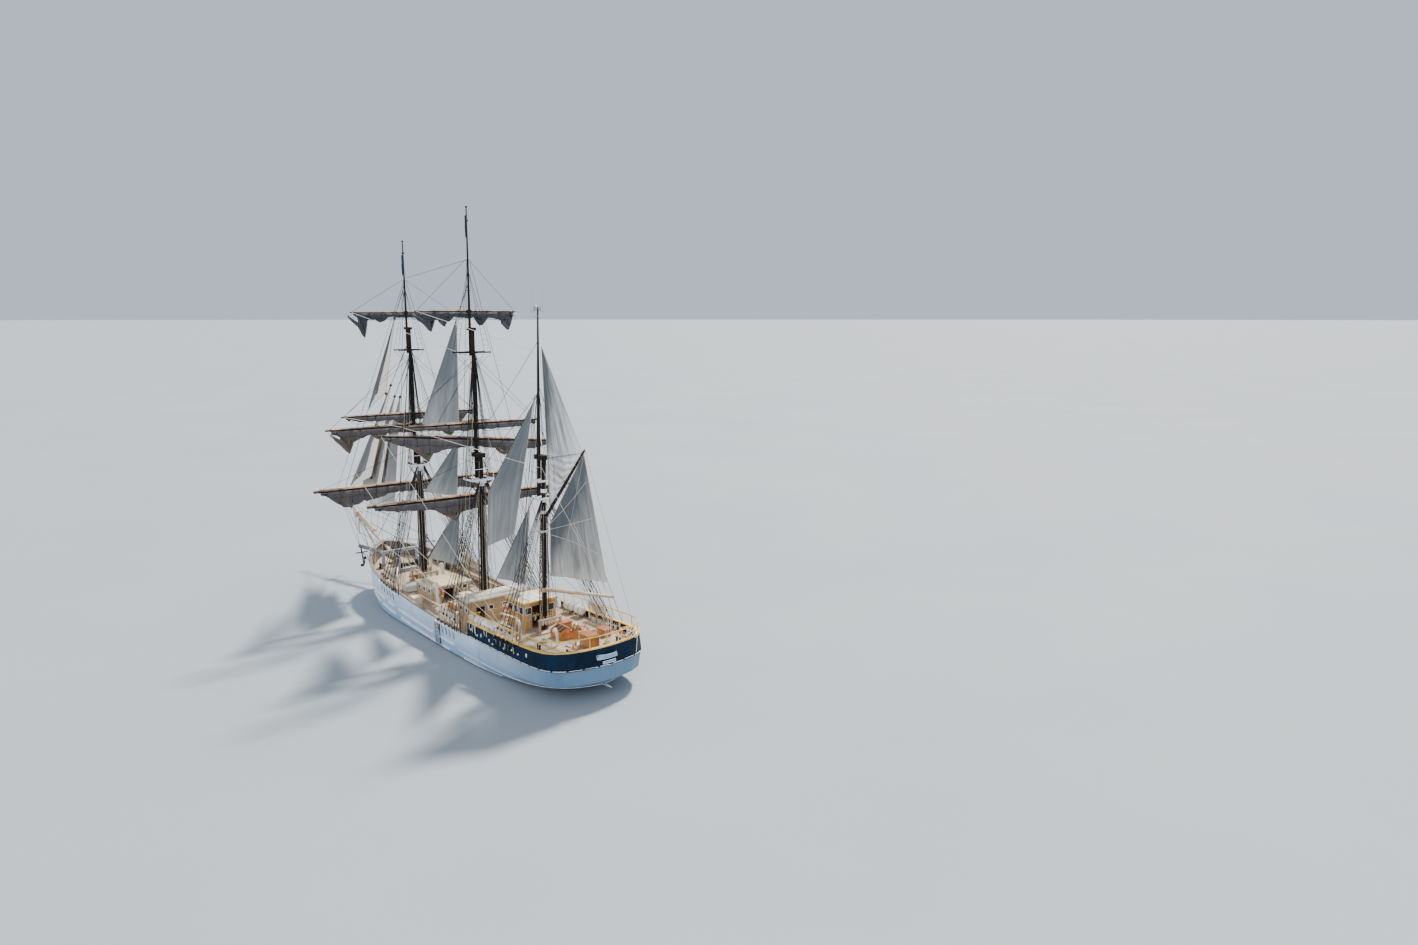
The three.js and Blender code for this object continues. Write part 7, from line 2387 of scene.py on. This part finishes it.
class TallShipColours(bpy.types.PropertyGroup):
    hull_white: colour_setting("Topsides", "Paint of the hull above the water", (0.72, 0.83, 0.98))
    quarter_blue: colour_setting("Quarter bulwark", "Dark paint round the quarterdeck",
                                 (0.0012, 0.009, 0.022))
    bottom: colour_setting("Bottom", "Paint of the hull under water", (0.16, 0.035, 0.025))
    deck: colour_setting("Decks", "Bleached planks of both decks", (0.66, 0.5, 0.35))
    yellow: colour_setting("Handrails", "Paint of the quarterdeck's handrail", (0.85, 0.55, 0.1))
    spars: colour_setting("Spars", "Dark paint of masts and yards", (0.013, 0.008, 0.007))
    varnish: colour_setting("Varnish", "Varnished joinery on deck", (0.55, 0.19, 0.035))
    canvas: colour_setting("Canvas", "Weathered cloth of the set sails", (0.24, 0.25, 0.25))
    # Pale canvas is also the painted highlight colour of the set sails.
    canvas_pale: colour_setting("Pale canvas", "Bleached patches of the sails", (0.52, 0.52, 0.5))
    furled: colour_setting("Furled canvas", "Cloth of the rolled square sails", (0.36, 0.335, 0.345))
    rope: colour_setting("Rope", "Running rigging", (0.55, 0.47, 0.36))


class TallShipSettings(bpy.types.PropertyGroup):
    colours: bpy.props.PointerProperty(type=TallShipColours)
    rope_scale: bpy.props.FloatProperty(
        name="Rope thickness", description="Every rope's thickness as a share of the drawn one",
        default=1.0, min=0.2, max=4.0, subtype="FACTOR",
    )
    ratline_gap: bpy.props.FloatProperty(
        name="Ratline spacing", description="Height between two steps in the shrouds", default=0.2, min=0.05,
        unit="LENGTH",
    )


class Undoable:
    bl_options = {"REGISTER", "UNDO"}


class TALLSHIP_OT_stage(Undoable, bpy.types.Operator):
    """Set the pale floor at the waterline, the soft light and the camera"""
    bl_idname = "tallship.stage"
    bl_label = "Stage"

    def execute(self, context):
        build_stage()
        return {"FINISHED"}


class TALLSHIP_OT_finishes(Undoable, bpy.types.Operator):
    """Build the finishes and give every carried-over solid its own"""
    bl_idname = "tallship.finishes"
    bl_label = "Finishes"

    def execute(self, context):
        make_finishes(context.scene.tall_ship.colours)
        paint_nodes()
        return {"FINISHED"}


class TALLSHIP_OT_staysails(Undoable, bpy.types.Operator):
    """Cut and set the jibs and staysails on their stays"""
    bl_idname = "tallship.staysails"
    bl_label = "Jibs and staysails"

    def execute(self, context):
        build_staysails()
        return {"FINISHED"}


class TALLSHIP_OT_spanker(Undoable, bpy.types.Operator):
    """Set the spanker and the gaff topsail"""
    bl_idname = "tallship.spanker"
    bl_label = "Spanker and gaff topsail"

    def execute(self, context):
        build_spanker()
        return {"FINISHED"}


class TALLSHIP_OT_furled_sails(Undoable, bpy.types.Operator):
    """Roll the square sails under their yards and bind them with gaskets"""
    bl_idname = "tallship.furled_sails"
    bl_label = "Furled square sails"

    def execute(self, context):
        build_furled_sails()
        return {"FINISHED"}


class TALLSHIP_OT_shrouds(Undoable, bpy.types.Operator):
    """Set up the shrouds, backstays and ratlines with their deadeyes and channels"""
    bl_idname = "tallship.shrouds"
    bl_label = "Shrouds and ratlines"

    def execute(self, context):
        settings = context.scene.tall_ship
        build_shrouds(settings.rope_scale, settings.ratline_gap / SCALE)
        return {"FINISHED"}


class TALLSHIP_OT_stays(Undoable, bpy.types.Operator):
    """Set up the fore-and-aft stays and the stays under the bowsprit"""
    bl_idname = "tallship.stays"
    bl_label = "Stays"

    def execute(self, context):
        build_stays(context.scene.tall_ship.rope_scale)
        return {"FINISHED"}


class TALLSHIP_OT_running_rigging(Undoable, bpy.types.Operator):
    """Lead halyards, buntlines, sheets and downhauls to the rails"""
    bl_idname = "tallship.running_rigging"
    bl_label = "Running rigging"

    def execute(self, context):
        build_running_rigging(context.scene.tall_ship.rope_scale)
        return {"FINISHED"}


class TALLSHIP_OT_falls(Undoable, bpy.types.Operator):
    """Run the ropes beside the masts and hang coils in the shrouds"""
    bl_idname = "tallship.falls"
    bl_label = "Falls and coils"

    def execute(self, context):
        build_falls(context.scene.tall_ship.rope_scale)
        return {"FINISHED"}


class TALLSHIP_OT_yard_gear(Undoable, bpy.types.Operator):
    """Fit each yard's lifts, braces, footropes, jackstay and bands"""
    bl_idname = "tallship.yard_gear"
    bl_label = "Yard gear"

    def execute(self, context):
        build_yard_gear(context.scene.tall_ship.rope_scale)
        return {"FINISHED"}


class TALLSHIP_OT_spanker_gear(Undoable, bpy.types.Operator):
    """Fit the lifts, vangs, sheets, brails and lacings of the boom and gaff"""
    bl_idname = "tallship.spanker_gear"
    bl_label = "Boom and gaff gear"

    def execute(self, context):
        build_spanker_gear(context.scene.tall_ship.rope_scale)
        return {"FINISHED"}


class TALLSHIP_OT_mast_gear(Undoable, bpy.types.Operator):
    """Fit bands, hoops, top battens, trucks, aerials and staffs"""
    bl_idname = "tallship.mast_gear"
    bl_label = "Mast fittings"

    def execute(self, context):
        build_mast_gear()
        return {"FINISHED"}


class TALLSHIP_OT_flags(Undoable, bpy.types.Operator):
    """Hang the two plain flags at the trucks"""
    bl_idname = "tallship.flags"
    bl_label = "Flags"

    def execute(self, context):
        build_flags()
        return {"FINISHED"}


class TALLSHIP_OT_hull_trim(Undoable, bpy.types.Operator):
    """Fit strakes, mouldings, blank boards, ports, chains and the side ladder"""
    bl_idname = "tallship.hull_trim"
    bl_label = "Hull trim"

    def execute(self, context):
        build_hull_trim()
        return {"FINISHED"}


class TALLSHIP_OT_bulwark_gear(Undoable, bpy.types.Operator):
    """Fit stanchions, pinrails with pins and coils, and the bow rail"""
    bl_idname = "tallship.bulwark_gear"
    bl_label = "Bulwarks and pinrails"

    def execute(self, context):
        build_bulwark_gear(context.scene.tall_ship.rope_scale)
        return {"FINISHED"}


class TALLSHIP_OT_deck_gear(Undoable, bpy.types.Operator):
    """Set hatches, bitts, chests, canisters, buoys, gratings and spars on the decks"""
    bl_idname = "tallship.deck_gear"
    bl_label = "Deck gear"

    def execute(self, context):
        build_deck_gear()
        return {"FINISHED"}


class TALLSHIP_OT_houses(Undoable, bpy.types.Operator):
    """Fit windows, doors, roof edges and handrails, the skylight's lights and the steps"""
    bl_idname = "tallship.houses"
    bl_label = "Deckhouse joinery"

    def execute(self, context):
        build_houses()
        return {"FINISHED"}


JOBS = (
    TALLSHIP_OT_stage, TALLSHIP_OT_finishes, TALLSHIP_OT_staysails, TALLSHIP_OT_spanker,
    TALLSHIP_OT_furled_sails, TALLSHIP_OT_shrouds, TALLSHIP_OT_stays, TALLSHIP_OT_running_rigging,
    TALLSHIP_OT_falls, TALLSHIP_OT_yard_gear, TALLSHIP_OT_spanker_gear, TALLSHIP_OT_mast_gear,
    TALLSHIP_OT_flags, TALLSHIP_OT_hull_trim, TALLSHIP_OT_bulwark_gear, TALLSHIP_OT_deck_gear,
    TALLSHIP_OT_houses,
)


class TALLSHIP_PT_panel(bpy.types.Panel):
    """Lists the ship's pieces, each with the button that builds it"""
    bl_idname = "TALLSHIP_PT_panel"
    bl_label = "Tall ship"
    bl_space_type = "VIEW_3D"
    bl_region_type = "UI"
    bl_category = "Tall ship"

    def draw(self, context):
        settings = context.scene.tall_ship
        for name in TallShipColours.__annotations__:
            self.layout.prop(settings.colours, name)
        self.layout.prop(settings, "rope_scale")
        self.layout.prop(settings, "ratline_gap")
        for job in JOBS:
            self.layout.operator(job.bl_idname)


CLASSES = (TallShipColours, TallShipSettings) + JOBS + (TALLSHIP_PT_panel,)


def register():
    for cls in CLASSES:
        bpy.utils.register_class(cls)
    bpy.types.Scene.tall_ship = bpy.props.PointerProperty(type=TallShipSettings)


def unregister():
    del bpy.types.Scene.tall_ship
    for cls in reversed(CLASSES):
        bpy.utils.unregister_class(cls)


def main():
    register()
    for job in JOBS:
        family, name = job.bl_idname.split(".")
        getattr(getattr(bpy.ops, family), name)()


if __name__ == "__main__":
    main()
